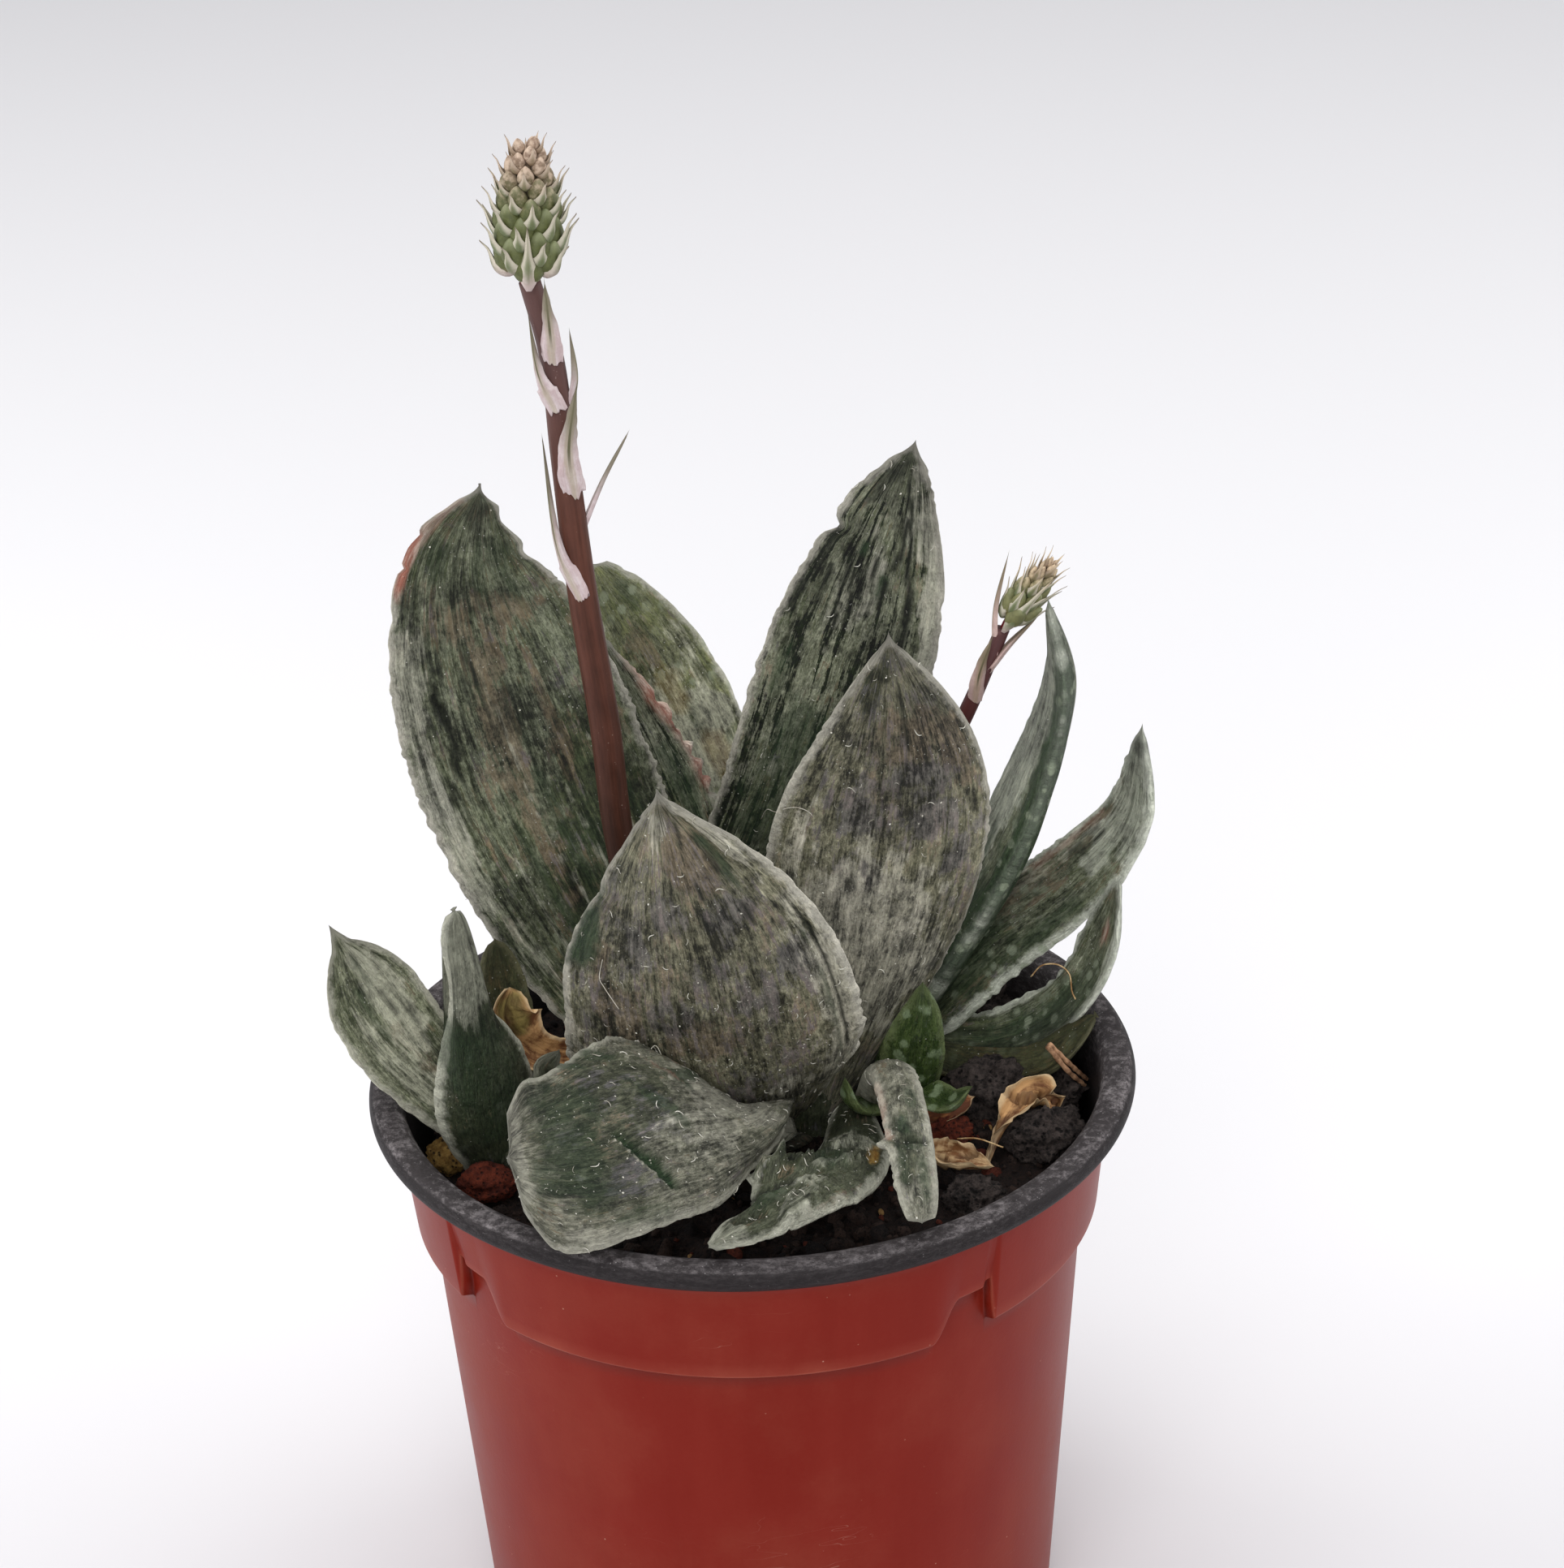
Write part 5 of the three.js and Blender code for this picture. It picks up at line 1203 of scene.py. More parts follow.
            (CLEAN, 0.5, 0.4, 26, 4, 0.6), (DARK, 0.45, 0.1, 10, 1.6, 0.4), (BLUSH, 0.82, 0.1, 4, 1.6, 0.7),
            (PALE, 0.75, 0.8, 16, 2, 0.8), (CLEAN, 0.35, 0.1, 18, 5, 0.6), (DARK, 0.42, 0.75, 22, 4, 0.5),
            (PALE, 0.45, -0.85, 26, 2, 0.7), (CLEAN, 0.44, 0.1, 26, 6, 0.8), (DARK, 0.4, 0.3, 20, 3, 0.4),
        ),
        dents=dented((0.48, 1, 0.8, 7), (0.6, -1, 2.2, 7)),
    ),
    Leaf(
        "leaf_hooked", ((15.5, 0, 78), (16.9, -9, 86.6), (18, -19, 91.3), (19, -31, 91), (19.9, -45, 86)),
        (0, -0.5, 1), (0, 0, 1), 5.8, 4.2, "leaf_chalky", neck=0.8, belly=0.5, blunt=6, point=0.4,
        mucro=0.8, grain=0.35,
        marks=marked(
            (CLEAN, 0.6, -0.3, 5, 2, 0.6), (DARK, 0.75, 0.0, 0.8, 5, 0.5, 0, 0.5),
            (CLEAN, 0.7, 0.2, 4, 2, 0.8), (CLEAN, 0.76, -0.2, 2, 4, 0.6, 0, 0.4),
            (PALE, 0.92, 0.2, 6, 3, 0.4), (PALE, 0.5, 0.0, 8, 3, 0.4), (BLUSH, 0.72, 0.95, 3, 1.2, 0.5),
            (BLUSH, 0.6, 0.97, 14, 1.4, 0.35), (DARK, 0.7, 0.0, 5, 0.7, 0.5, 50, 0.4),
            (GREEN, 0.8, 0.3, 12, 4, 0.9), (CLEAN, 0.86, -0.4, 9, 1.6, 0.6),
            (CLEAN, 0.82, 0.5, 8, 1.4, 0.5),
        ),
        dents=dented((0.74, 1, -1.3, 0.5)),
    ),
    Leaf(
        "leaf_crumpled",
        ((13, -2, 77), (12, -18, 79.6), (6.8, -30, 84), (0.6, -40, 85.8), (-6.6, -47.6, 85.7)),
        (0, -0.4, 1), (-0.2, -0.5, 1), 11, 3.5, "leaf_dim", neck=0.5, belly=0.5, blunt=2, point=0.8,
        cup=-0.2, mucro=0.8, furrow=0.3, swell=0.8, grain=0.4,
        marks=marked(
            (PALE, 0.66, 0.05, 9, 0.9, 1, 24, -0.9), (DARK, 0.68, 0.28, 9, 1.2, 0.8, 24, 0.9),
            (CLEAN, 0.48, 0.1, 9, 6, 0.7), (CLEAN, 0.75, 0.3, 8, 3, 0.6), (YELLOW, 0.3, -0.62, 6, 1.8),
            (BROWN, 0.6, -0.9, 16, 1.6), (PALE, 0.62, 0.85, 6, 4, 0.3, 0, 0, 2.6),
            (DARK, 0.52, 0.4, 12, 1.6, 0.5, 20, 0.6, -0.8), (PALE, 0.4, -0.2, 8, 5, 0.3, 0, 0, 0.8),
            (CLEAN, 0.4, 0.3, 6, 4, 0.6), (DARK, 0.7, 0.3, 7, 1.2, 0.8, 30, 0.9),
            (DARK, 0.78, 0.7, 4, 1.2, 0.8, 0, 0.8), (PALE, 0.93, 0.0, 6, 5, 0.6),
            (PALE, 0.62, -0.3, 6, 1.2, 0.6, 24, -0.6), (PALE, 0.5, -0.1, 14, 1.2, 0.9, 16, -1.1),
            (PALE, 0.75, -0.35, 8, 1, 0.8, -20, -0.8), (PALE, 0.34, 0.3, 6, 1, 0.8, 30, -0.8),
            (GREEN, 0.55, 0.5, 12, 3.6, 0.8, 14, 0, 1.7), (DARK, 0.46, 0.0, 10, 2.2, 0.35, 10, 0, -1.5),
            (PALE, 0.72, -0.6, 9, 2.6, 0.5, -14, 0, 1.5), (DARK, 0.84, 0.1, 6, 2, 0.3, 20, 0, -1.2),
            (PALE, 0.3, 0.4, 6, 3, 0.4, 40, 0, 1.3), (PALE, 0.45, 0.6, 14, 2, 0.7, 10),
            (PALE, 0.25, 0.0, 8, 8, 0.6),
        ),
        dents=dented((0.64, 1, -2.2, 1.8), (0.8, 1, 2.0, 3.0), (0.55, -1, -0.6, 3)),
    ),
    Leaf(
        "pup_leaf_1", ((20.5, 1.5, 76), (21.1, -1, 84.3), (22.2, -1, 90.4), (22.6, 0, 94.5)), (0, 1, 0.2),
        (0, 1, 0.1), 8.5, 3, "leaf_young", neck=0.7, belly=0.4, blunt=1.8, point=0.8, cup=0.2, mucro=0.8,
        slot="leaf_young", teeth=0.12, grain=0.3,
    ),
    Leaf(
        "pup_leaf_2", ((18.5, 3, 76), (16.5, 4, 84), (17.5, 5, 88), (19.8, 6, 93)), (1, 0.6, 0.2),
        (1, 0.6, 0.1), 5.5, 2.2, "leaf_young", mucro=0.8, slot="leaf_young", teeth=0.1, grain=0.3,
    ),
    Leaf(
        "pup_leaf_3", ((21, 0, 77), (22.5, -5, 80.5), (25.5, -9, 81.5), (28.1, -10, 84.5)), (0, -0.3, 1),
        (-0.5, 0, 1), 5, 2, "leaf_young", cup=0.3, mucro=0.8, slot="leaf_young", teeth=0.1, grain=0.3,
    ),
    Leaf(
        "pup_leaf_4", ((18, 0, 76.5), (14.5, -5, 79.5), (12.5, -8.5, 82.5), (11.9, -9, 86)), (1, 1, 0.3),
        (1, 1, 0.1), 4, 2, "leaf_young", mucro=0.8, slot="leaf_young", teeth=0.1, grain=0.3,
    ),
    Leaf(
        "leaf_right_4", ((23, 13.5, 76.5), (30, 6.5, 78.3), (38, 3, 80.5), (45.6, 4, 86.5)),
        (-0.2, -0.3, 1), (-0.8, -0.5, 0.7), 10, 2.6, "leaf_olive", neck=0.6, belly=0.55, blunt=2.4,
        point=0.7, mucro=0.6, slot="leaf_olive", teeth=0.1,
        dents=dented((0.42, -1, 3.2, 13), (0.55, 1, 2.8, 11)),
    ),
    Leaf(
        "leaf_back_left",
        ((2, 16, 79), (0.2, 23, 93), (-3, 27.5, 109), (-9.2, 31, 125), (-18.5, 33, 141.8)), (0.5, -1, 0.5),
        (0.6, -1, 0.5), 15, 4.5, "leaf_mottled", neck=0.6, belly=0.6, blunt=2.4, point=0.7, cup=0.1,
        mucro=1, teeth=0.45, slot="leaf_olive",
        marks=marked(
            (PALE, 0.62, 0.45, 10, 6, 0.8), (CLEAN, 0.9, 0.3, 7, 3, 0.6), (BROWN, 0.8, -0.2, 8, 5),
            (CLEAN, 0.6, 0.1, 10, 2, 0.5), (PALE, 0.5, 0.5, 20, 6, 0.6), (PALE, 0.75, 0.6, 14, 3, 0.5),
            (PALE, 0.58, 0.0, 16, 9, 0.85), (PALE, 0.68, -0.4, 14, 4, 0.6), (PALE, 0.62, 0.0, 22, 11, 0.5),
            (YELLOW, 0.7, -0.1, 9, 4, 0.25), (YELLOW, 0.55, 0.2, 7, 4, 0.25),
        ),
    ),
    Leaf(
        "leaf_left_narrow",
        ((-5, 13, 79), (-4.5, 18, 95), (-7.8, 20, 109.4), (-12.3, 21.5, 122), (-17.5, 22, 136)),
        (0.3, -1, 0.5), (0.5, -1, 0.3), 11, 3.5, "leaf_streaked", neck=0.6, belly=0.5, blunt=1.8, point=0.8,
        mucro=1, teeth=0.8,
        marks=marked(
            (BLUSH, 0.8, 0.92, 15, 2.6, 0.8, 0, -0.5), (BLUSH, 0.66, 0.92, 14, 2.2, 0.7, 0, -0.5),
            (CLEAN, 0.6, 0.3, 18, 4, 0.7), (PALE, 0.62, 0.97, 14, 1, 0.8),
        ),
    ),
    Leaf(
        "leaf_left_3", ((-29.5, -1, 75.5), (-31, 2, 84), (-32, 4, 93), (-32.6, 5, 101)), (0.2, -1, 0.2),
        (0.2, -1, 0.1), 7.5, 3, "leaf_olive", blunt=2.4, point=0.6, mucro=0.8, teeth=0.1,
    ),
    Leaf(
        "leaf_dark_low", ((-8, 2, 77), (-18, -3, 81), (-26.5, -7, 87), (-24.5, -7, 91)), (0, -0.6, 1),
        (0.8, -0.5, 0.6), 7, 2.6, "leaf_shade", mucro=0.8, slot="leaf_dark", teeth=0.15,
    ),
    Leaf(
        "leaf_rear_1", ((4, 17, 79), (6, 29, 87), (8, 38, 97), (9, 43, 111)), (0, -0.6, 1), (0, -1, 0.4),
        21, 5, "leaf_silver", neck=0.6, belly=0.6, cup=0.12, grain=0.6,
    ),
    Leaf(
        "leaf_rear_2", ((-4, 15, 78), (-10, 27, 84), (-13, 36, 92), (-14, 41, 103)), (0.3, -0.6, 1),
        (0.4, -1, 0.4), 18, 4.5, "leaf_spotted", neck=0.6, belly=0.6, cup=0.12, grain=0.6,
    ),
    Leaf(
        "leaf_rear_3", ((21, 22, 77), (24, 31, 84), (26, 38, 91), (26, 41, 99)), (-0.1, -0.6, 1),
        (-0.2, -1, 0.4), 13, 4, "leaf_spotted", neck=0.6, belly=0.6, cup=0.12, grain=0.6,
    ),
)

DRIED_LEAVES = (
    Leaf(
        "dry_leaf_left",
        ((-8, 5, 79), (-19, 4, 82), (-27, 1.5, 85), (-31, 0, 89), (-32.2, 0, 93), (-30.7, 1, 96.4)),
        (0, -0.5, 1), (0.5, -1, 0.3), 5, 1.2, "dried_gold", cup=0.8, mucro=0.5, point=0.5,
        slot="leaf_dried", teeth=0, ragged=0.3, furrow=0.2, grain=0.3,
        marks=marked(
            (GREEN, 0.86, 0.9, 10, 4.5), (DARK, 0.84, 0.35, 9, 1.2, 0.6, 8, 0.3),
        ),
        dents=dented((0.86, 1, -3.4, 5)),
    ),
    Leaf(
        "dry_leaf_curl", ((29.5, -14, 74.6), (32, -9, 77.4), (36, -5, 79.4), (39.5, -4, 76.4)),
        (-0.6, -0.2, 1), (0.2, -0.5, 1), 4.7, 0.8, "dried_gold", neck=0.2, belly=0.86, blunt=4, point=0.4,
        cup=0.9, mucro=0.8, slot="leaf_dried", teeth=0, ragged=1.1, furrow=0.4, swell=0.7, grain=0.25,
        marks=marked(
            (DARK, 0.75, 0.3, 7, 0.9, 0.7, 20, 0, -0.7), (DARK, 0.85, -0.4, 5, 0.9, 0.6, -30, 0, -0.8),
            (PALE, 0.9, 0.1, 2, 5, 1, 0, 0, 0.7), (DARK, 0.3, 0, 12, 1.6, 0.6),
            (DARK, 0.66, 0.0, 5, 1.2, 0.5, 60, 0, -1.0), (DARK, 0.78, 0.1, 5, 0.9, 0.7, -50, 0, -0.9),
            (DARK, 0.93, 0.3, 4, 0.8, 0.6, 70, 0, -0.7), (DARK, 0.7, -0.2, 5, 0.8, 0.6, 30, 0, 0.8),
            (PALE, 0.84, 0.4, 4, 2, 0.8, 30, 0, 0.8),
        ),
        dents=dented(
            (0.22, 1, 1.7, 4.2), (0.22, -1, 1.7, 4.2), (0.74, 1, 0.9, 1), (0.88, -1, 1.0, 0.8),
            (0.8, -1, -0.6, 1),
        ),
    ),
    Leaf(
        "dry_leaf_flake", ((21.5, -12, 76), (25, -15.5, 76.8), (30, -18, 77.4)), (0.3, -0.5, 1),
        (0.3, -0.6, 1), 4.6, 1, "dried_pale", cup=1.0, mucro=0.8, slot="leaf_dried", teeth=0, ragged=0.8,
        furrow=0.4, swell=0.6, grain=0.25,
        marks=marked(
            (DARK, 0.4, 0.2, 6, 0.8, 0.6, 20, 0, -0.6), (DARK, 0.7, -0.3, 4, 0.8, 0.6, -30, 0, -0.6),
            (PALE, 0.55, 0.0, 3, 3, 1, 0, 0, 0.7),
        ),
        dents=dented((0.35, 1, 0.9, 1), (0.62, -1, 1.0, 0.9), (0.8, 1, 0.7, 0.7)),
    ),
    Leaf(
        "dry_leaf_husk", ((22, -3.5, 76.5), (25.5, -4, 78), (28.5, -2.7, 78.5)), (0, -0.8, 1), (0, -0.8, 1),
        4.5, 1, "dried_brown", cup=0.5, mucro=0.8, slot="leaf_dried", teeth=0, ragged=0.4, furrow=0.2,
        grain=0.25,
    ),
)


@dataclass
class Foliage:
    """All the leaves, fresh and dried, and the crowns that they grow from."""

    leaves: tuple[Leaf, ...] = LEAVES
    dried: tuple[Leaf, ...] = DRIED_LEAVES
    crowns: tuple[tuple[str, float, float, float, float], ...] = (
        ("crown_main", 2.5, 7.5, 12.5, 84), ("crown_right", 21, 19, 6.5, 80),
        ("crown_left", -31, -4, 6, 79), ("crown_pup", 20.5, 1.5, 3.8, 78),
    )
    crown_foot: float = 65.0

    def build(self) -> None:
        """Builds and dresses every leaf and crown."""
        finishes = {finish.name: finish.material() for finish in LEAF_FINISHES + DRIED_FINISHES}
        for number, leaf in enumerate(self.leaves + self.dried):
            material = finishes[leaf.finish]
            piece = link_piece("finished_" + leaf.name, leaf.mesh(LEAF_SEED + 3 * number), material)
            place_piece(piece, leaf.slot, leaf.name)
        for number, crown in enumerate(self.crowns):
            self._crown(number, *crown, finishes["leaf_shade"])

    def _crown(
        self, number: int, name: str, x: float, y: float, radius: float, top: float,
        material: bpy.types.Material,
    ) -> None:
        """Builds one crown: a short stem in the scars of old leaves."""
        stem = np.linspace(self.crown_foot, top - radius * 0.35, 22)
        heights = np.append(stem, top - radius * np.linspace(0.35, 0, 12)[1:])
        foot = smooth_step(heights, self.crown_foot, self.crown_foot + 6) * 0.2 + 0.8
        dome = np.sqrt(np.clip(1 - ((heights - (top - radius * 0.35)) / (radius * 0.36)) ** 2, 0.03, 1))
        radii = radius * foot * np.where(heights > top - radius * 0.35, dome, 1)
        angle = np.linspace(0, 2 * np.pi, 60, endpoint=False)
        ripple = Ripple(200 + number)
        scars = ripple.at(heights[:, None] / 1.6, angle[None] * radius / 4) * 0.35
        reach = radii[:, None] - np.abs(scars)
        level = np.broadcast_to(heights[:, None], reach.shape)
        ring = np.stack([x + reach * np.cos(angle), y + reach * np.sin(angle), level], -1)
        points = np.vstack([ring.reshape(-1, 3), [[x, y, self.crown_foot]], [[x, y, top]]])
        mesh = mesh_from(name, points, ring_faces(len(heights), len(angle)))
        face_out(mesh)
        girth = padded(reach.shape, angle * radius, 0, 0)
        store_map(mesh, girth, padded(reach.shape, level, 0, 0))
        store(mesh, "rim", np.full(len(points), 4.0))
        place_piece(link_piece("finished_" + name, mesh, material), "crown", name)


# ------------------------------------------------------------------ flower stalks


@dataclass(frozen=True)
class Bract:
    """A papery bract on a stalk."""

    spine: tuple[Triple, ...]
    face: Triple
    width: float
    frayed: float = 0.5  # how far its foot is torn, mm
    taper: float = 1.15  # low for a bract that is thin but for its foot


@dataclass(frozen=True)
class Stalk:
    """A flower stalk with its bracts."""

    name: str
    spine: tuple[Triple, ...]
    root_radius: float
    middle_radius: float
    top_radius: float
    bracts: tuple[Bract, ...]
    finish: StalkFinish
    membrane: MembraneFinish

    SIDES = 28
    RING_GAP = 0.7  # mm

    def build(self) -> None:
        """Builds the stem and its bracts as two pieces."""
        line = CentreLine(self.spine)
        rings, sides = int(line.length / self.RING_GAP), self.SIDES
        share = np.linspace(0, 1, rings)
        swell = self.middle_radius - (self.root_radius + self.top_radius) / 2
        change = self.top_radius - self.root_radius
        radii = self.root_radius + change * share + swell * np.sin(np.pi * share)
        points, faces = tube(line, radii, sides)
        mesh = mesh_from(self.name, points, faces)
        face_out(mesh)
        angle = np.abs(np.linspace(-1, 1, sides, endpoint=False))[None] * np.pi * 1.8
        run = (share * line.length)[:, None]
        shape = (rings, sides)
        around = padded(shape, angle, 0, 0)
        store_map(mesh, around, padded(shape, run, 0, line.length))
        store(mesh, "along", np.append(np.broadcast_to(share[:, None], shape), [0, 1]))
        piece = link_piece("finished_" + self.name, mesh, self.finish.material())
        place_piece(piece, "flower_stalk", self.name)
        self._bracts()

    def _bracts(self) -> None:
        """Builds the bracts as one piece."""
        pieces = []
        material = self.membrane.material()
        for number, bract in enumerate(self.bracts):
            leaf = Leaf(
                f"{self.name}_bract_{number}", bract.spine, bract.face, bract.face, bract.width, 0.7, "",
                neck=0.9, belly=0.2, blunt=bract.taper, point=0.95, mucro=1.2, teeth=0.0,
                ragged=0.4, furrow=0.07,
                swell=0.25, cup=0.3, grain=0.15, frayed=bract.frayed,
            )
            pieces.append(link_piece(leaf.name, leaf.mesh(BRACT_SEED + number), material))
        whole = joined(f"finished_{self.name}_bracts", pieces, material)
        place_piece(whole, "flower_stalk", self.name)


def joined(name: str, pieces: Sequence[bpy.types.Object], material: bpy.types.Material) -> bpy.types.Object:
    """Several pieces as one object with a name."""
    with bpy.context.temp_override(active_object=pieces[0], selected_editable_objects=list(pieces)):
        bpy.ops.object.join()
    whole = pieces[0]
    whole.name = name
    whole.data.name = name
    whole.data.materials.clear()
    whole.data.materials.append(material)
    return whole


STALKS = (
    Stalk(
        "flower_stalk_main",
        (
            (-6, 6, 79), (-13, 6, 96), (-15.8, 6, 115), (-16.8, 6, 131), (-18.6, 6, 149),
            (-19.9, 6, 168), (-20.7, 6, 181), (-22.8, 6, 191),
        ),
        1.6, 1.95, 1.35,
        (
            Bract(((-20.5, 4.3, 181.2), (-20.6, 3.7, 185.4), (-20.9, 3.6, 191.6)), (0, 1, 0), 2.9, 0.8, 0.9),
            Bract(((-20.6, 4.3, 175.0), (-22.3, 4.2, 180), (-23.2, 5, 187.4)), (0.4, 1, 0), 2.9, 0.7, 0.36),
            Bract(((-18.9, 4.5, 163.6), (-19.2, 3.6, 170), (-17.7, 3.2, 178.4)), (-0.2, 1, 0), 3.4, 0.7, 0.9),
            Bract(((-19.4, 6, 173), (-18, 6, 178), (-18.3, 6, 184)), (-1, 0.4, 0), 2.2, 0.5, 0.8),
            Bract(((-18.8, 4.2, 149.4), (-21.3, 4.5, 157), (-22.4, 5, 171)), (0.6, 1, 0), 2.8, 0.8, 0.34),
            Bract(((-18.4, 6.6, 157), (-15.3, 7, 164), (-12, 7, 170)), (-1, 0, 1), 1.8, 0.5, 0.9),
        ),
        StalkFinish("stalk_skin"), MembraneFinish("bract_membrane"),
    ),
    Stalk(
        "flower_stalk_small", ((9, 13, 80), (17, 19, 98), (24, 21, 111), (30, 22, 122.2), (35, 22, 134.3)),
        1.35, 1.25, 0.95,
        (
            Bract(((31.2, 21.4, 124.5), (31.8, 20.4, 129), (33.5, 20, 134)), (0, 1, 0), 2.2),
            Bract(((33.4, 21.6, 129), (36, 21.4, 132.5), (39.5, 21.6, 136)), (-1, 0, 1), 1.8),
            Bract(((34, 22, 131), (34.2, 22, 137.5), (35.9, 22, 145)), (1, 0, 0), 1.8),
        ),
        StalkFinish("small_stalk_skin", light=srgb(88, 34, 28), dark=srgb(46, 14, 12)),
        MembraneFinish("small_bract_membrane", sheet=srgb(206, 180, 172), heart=srgb(170, 148, 120)),
    ),
)


@dataclass(frozen=True)
class FlowerHead:
    """A head of buds in a spiral round a core, each bud with a pointed bract under it."""

    name: str
    base: Triple
    top: Triple
    radius: float
    buds: int
    bud_length: float
    bud_width: float
    bract_length: float
    bract_width: float
    finish: BudFinish

    def build(self) -> None:
        """Grows the head with a geometry tree and stands it on its stalk."""
        axis = Vector(self.top) - Vector(self.base)
        height = axis.length
        g = ShapeGraph("spiral_head")
        count = g.size("Buds", self.buds, "NodeSocketInt")
        tall = g.size("Height", height)
        wide = g.size("Radius", self.radius)
        bud_long = g.size("Bud length", self.bud_length)
        bud_wide = g.size("Bud width", self.bud_width)
        bract_long = g.size("Bract length", self.bract_length)
        bract_wide = g.size("Bract width", self.bract_width)
        seed = g.size("Seed", 5, "NodeSocketInt")
        bud, bract, core = self._bud(), self._bract(), self._core(height)
        bud_shape = g.template(g.size("Bud form", bud, "NodeSocketObject"))
        bract_shape = g.template(g.size("Bract form", bract, "NodeSocketObject"))
        core_shape = g.template(g.size("Core form", core, "NodeSocketObject"))

        number = g.add("GeometryNodeInputIndex")
        share = (number + 0.5) / count
        turn = number * GOLDEN_ANGLE
        out = wide * 0.3 * self._girth(share)
        rise = tall * (0.03 + 0.88 * share)
        spot = g.vector(out * g.maths("COSINE", turn), out * g.maths("SINE", turn), rise)
        points = g.add("GeometryNodePoints", None, {"Count": count, "Position": spot})
        size = 1 - 0.64 * share
        jitter = g.random(-0.12, 0.12, seed)
        lean = 0.54 - 0.42 * share + jitter * (1.1 - share)
        chance = g.random(0.0, 1.0, seed + 1)
        buds = g.add(
            "GeometryNodeInstanceOnPoints", None,
            {"Points": points, "Instance": bud_shape, "Rotation": g.vector(0.0, lean, turn),
             "Scale": g.vector(bud_wide * size, bud_wide * size, bud_long * size)},
        )
        wild = g.random(0.0, 1.0, seed + 2)
        reach = size * (0.9 + 0.25 * wild + 1.1 * wild * (1 - share) ** 5.0) + 0.14 * share
        upright = lean * (0.3 + 0.7 * share)
        bracts = g.add(
            "GeometryNodeInstanceOnPoints", None,
            {"Points": points, "Instance": bract_shape,
             "Rotation": g.vector(0.0, upright, turn + jitter * 0.5),
             "Scale": g.vector(
                 bud_wide * size * 1.12, bract_wide * (size + 0.1 * share), bract_long * reach
             )},
        )
        grown = g.joined(g.stored(buds, "chance", chance), g.stored(bracts, "chance", chance), core_shape)
        material = self.finish.material()
        piece = g.run("finished_" + self.name, grown, material, None)
        for form in (bud, bract, core):
            bpy.data.objects.remove(form)
        self._stand(piece, axis.normalized())
        place_piece(piece, "flower_head", self.name)

    def _girth(self, share: Value) -> Value:
        """How far out the head's stem reaches at a share of its height, widest below the middle."""
        return 0.5 + 2.14 * share - 2.29 * share * share

    def _stand(self, piece: bpy.types.Object, axis: Vector) -> None:
        """Moves the grown mesh to the stalk, its first bud to the front."""
        front = Vector((0, -1, 0))
        front = (front - axis * front.dot(axis)).normalized()
        turn = Matrix((front, axis.cross(front), axis)).transposed().to_4x4()
        piece.data.transform(Matrix.Translation(Vector(self.base) * MM) @ turn @ Matrix.Scale(MM, 4))

    def _form(
        self, name: str, points: np.ndarray, faces: list, along: np.ndarray, share: np.ndarray,
        bract: float, core: float,
    ) -> bpy.types.Object:
        """A template object, one unit long, with the numbers that the finish reads."""
        mesh = mesh_from(name, points / MM, faces)
        face_out(mesh)
        for label, values in (("along", along), ("share", share)):
            store(mesh, label, values)
        store(mesh, "bract", np.full(len(points), bract))
        store(mesh, "core", np.full(len(points), core))
        form = bpy.data.objects.new(name, mesh)
        bpy.context.scene.collection.objects.link(form)
        return form

    def _bud(self) -> bpy.types.Object:
        """A plump bud, one long and one wide, with three faint seams."""
        rise = np.array([0.02, 0.08, 0.18, 0.32, 0.48, 0.62, 0.76, 0.87, 0.95, 0.99])
        girth = 0.5 * np.sin(np.pi * rise**0.75) ** 0.7
        angle = np.linspace(0, 2 * np.pi, 15, endpoint=False)
        seam = 1 - 0.13 * np.abs(np.cos(1.5 * angle)) ** 8
        reach = girth[:, None] * seam[None]
        level = np.broadcast_to(rise[:, None], reach.shape)
        ring = np.stack([reach * np.cos(angle), reach * np.sin(angle), level], -1)
        points = np.vstack([ring.reshape(-1, 3), [[0, 0, 0]], [[0, 0, 1]]])
        along = points[:, 2]
        faces = ring_faces(len(rise), 15)
        return self._form("bud_form", points, faces, along, np.zeros(len(points)), 0.0, 0.0)

    def _bract(self) -> bpy.types.Object:
        """A keeled bract that hugs the outer side of its bud and bends out to a fine point."""
        line = CentreLine((
            (0, 0, 0), (0.3, 0, -0.06), (0.53, 0, 0.1), (0.62, 0, 0.34), (0.64, 0, 0.6), (0.68, 0, 0.82),
            (0.84, 0, 1.1),
        ))
        run = np.linspace(0, 1, 20)
        centre, forward = line.at(run), line.heading(run)
        outward = np.stack([forward[:, 2], np.zeros(len(run)), -forward[:, 0]], -1)
        half = 0.5 * (0.5 + 0.5 * np.sin(np.pi * np.clip(run / 0.66, 0, 1))) * (1 - run**2.2) ** 1.2 + 0.01
        angle = np.linspace(0, 2 * np.pi, 14, endpoint=False)
        share, height = np.cos(angle)[None], np.sin(angle)[None]
        keel = 0.1 * (1 - np.abs(share)) ** 2 * (height > 0)
        lift = height * 0.024 + keel - 0.62 * share**2 * half[:, None]
        points = centre[:, None] + outward[:, None] * (lift * (1 - 0.7 * run[:, None]))[..., None]
        points[..., 1] += share * half[:, None]
        points = np.vstack([points.reshape(-1, 3), line.at([0]), line.at([1]) + (0.01, 0, 0.03)])
        along = np.append(np.broadcast_to(run[:, None], (len(run), 14)), [0, 1])
        side = np.append(np.broadcast_to(share, (len(run), 14)), [0, 0])
        return self._form("bract_form", points, ring_faces(len(run), 14), along, side, 1.0, 0.0)

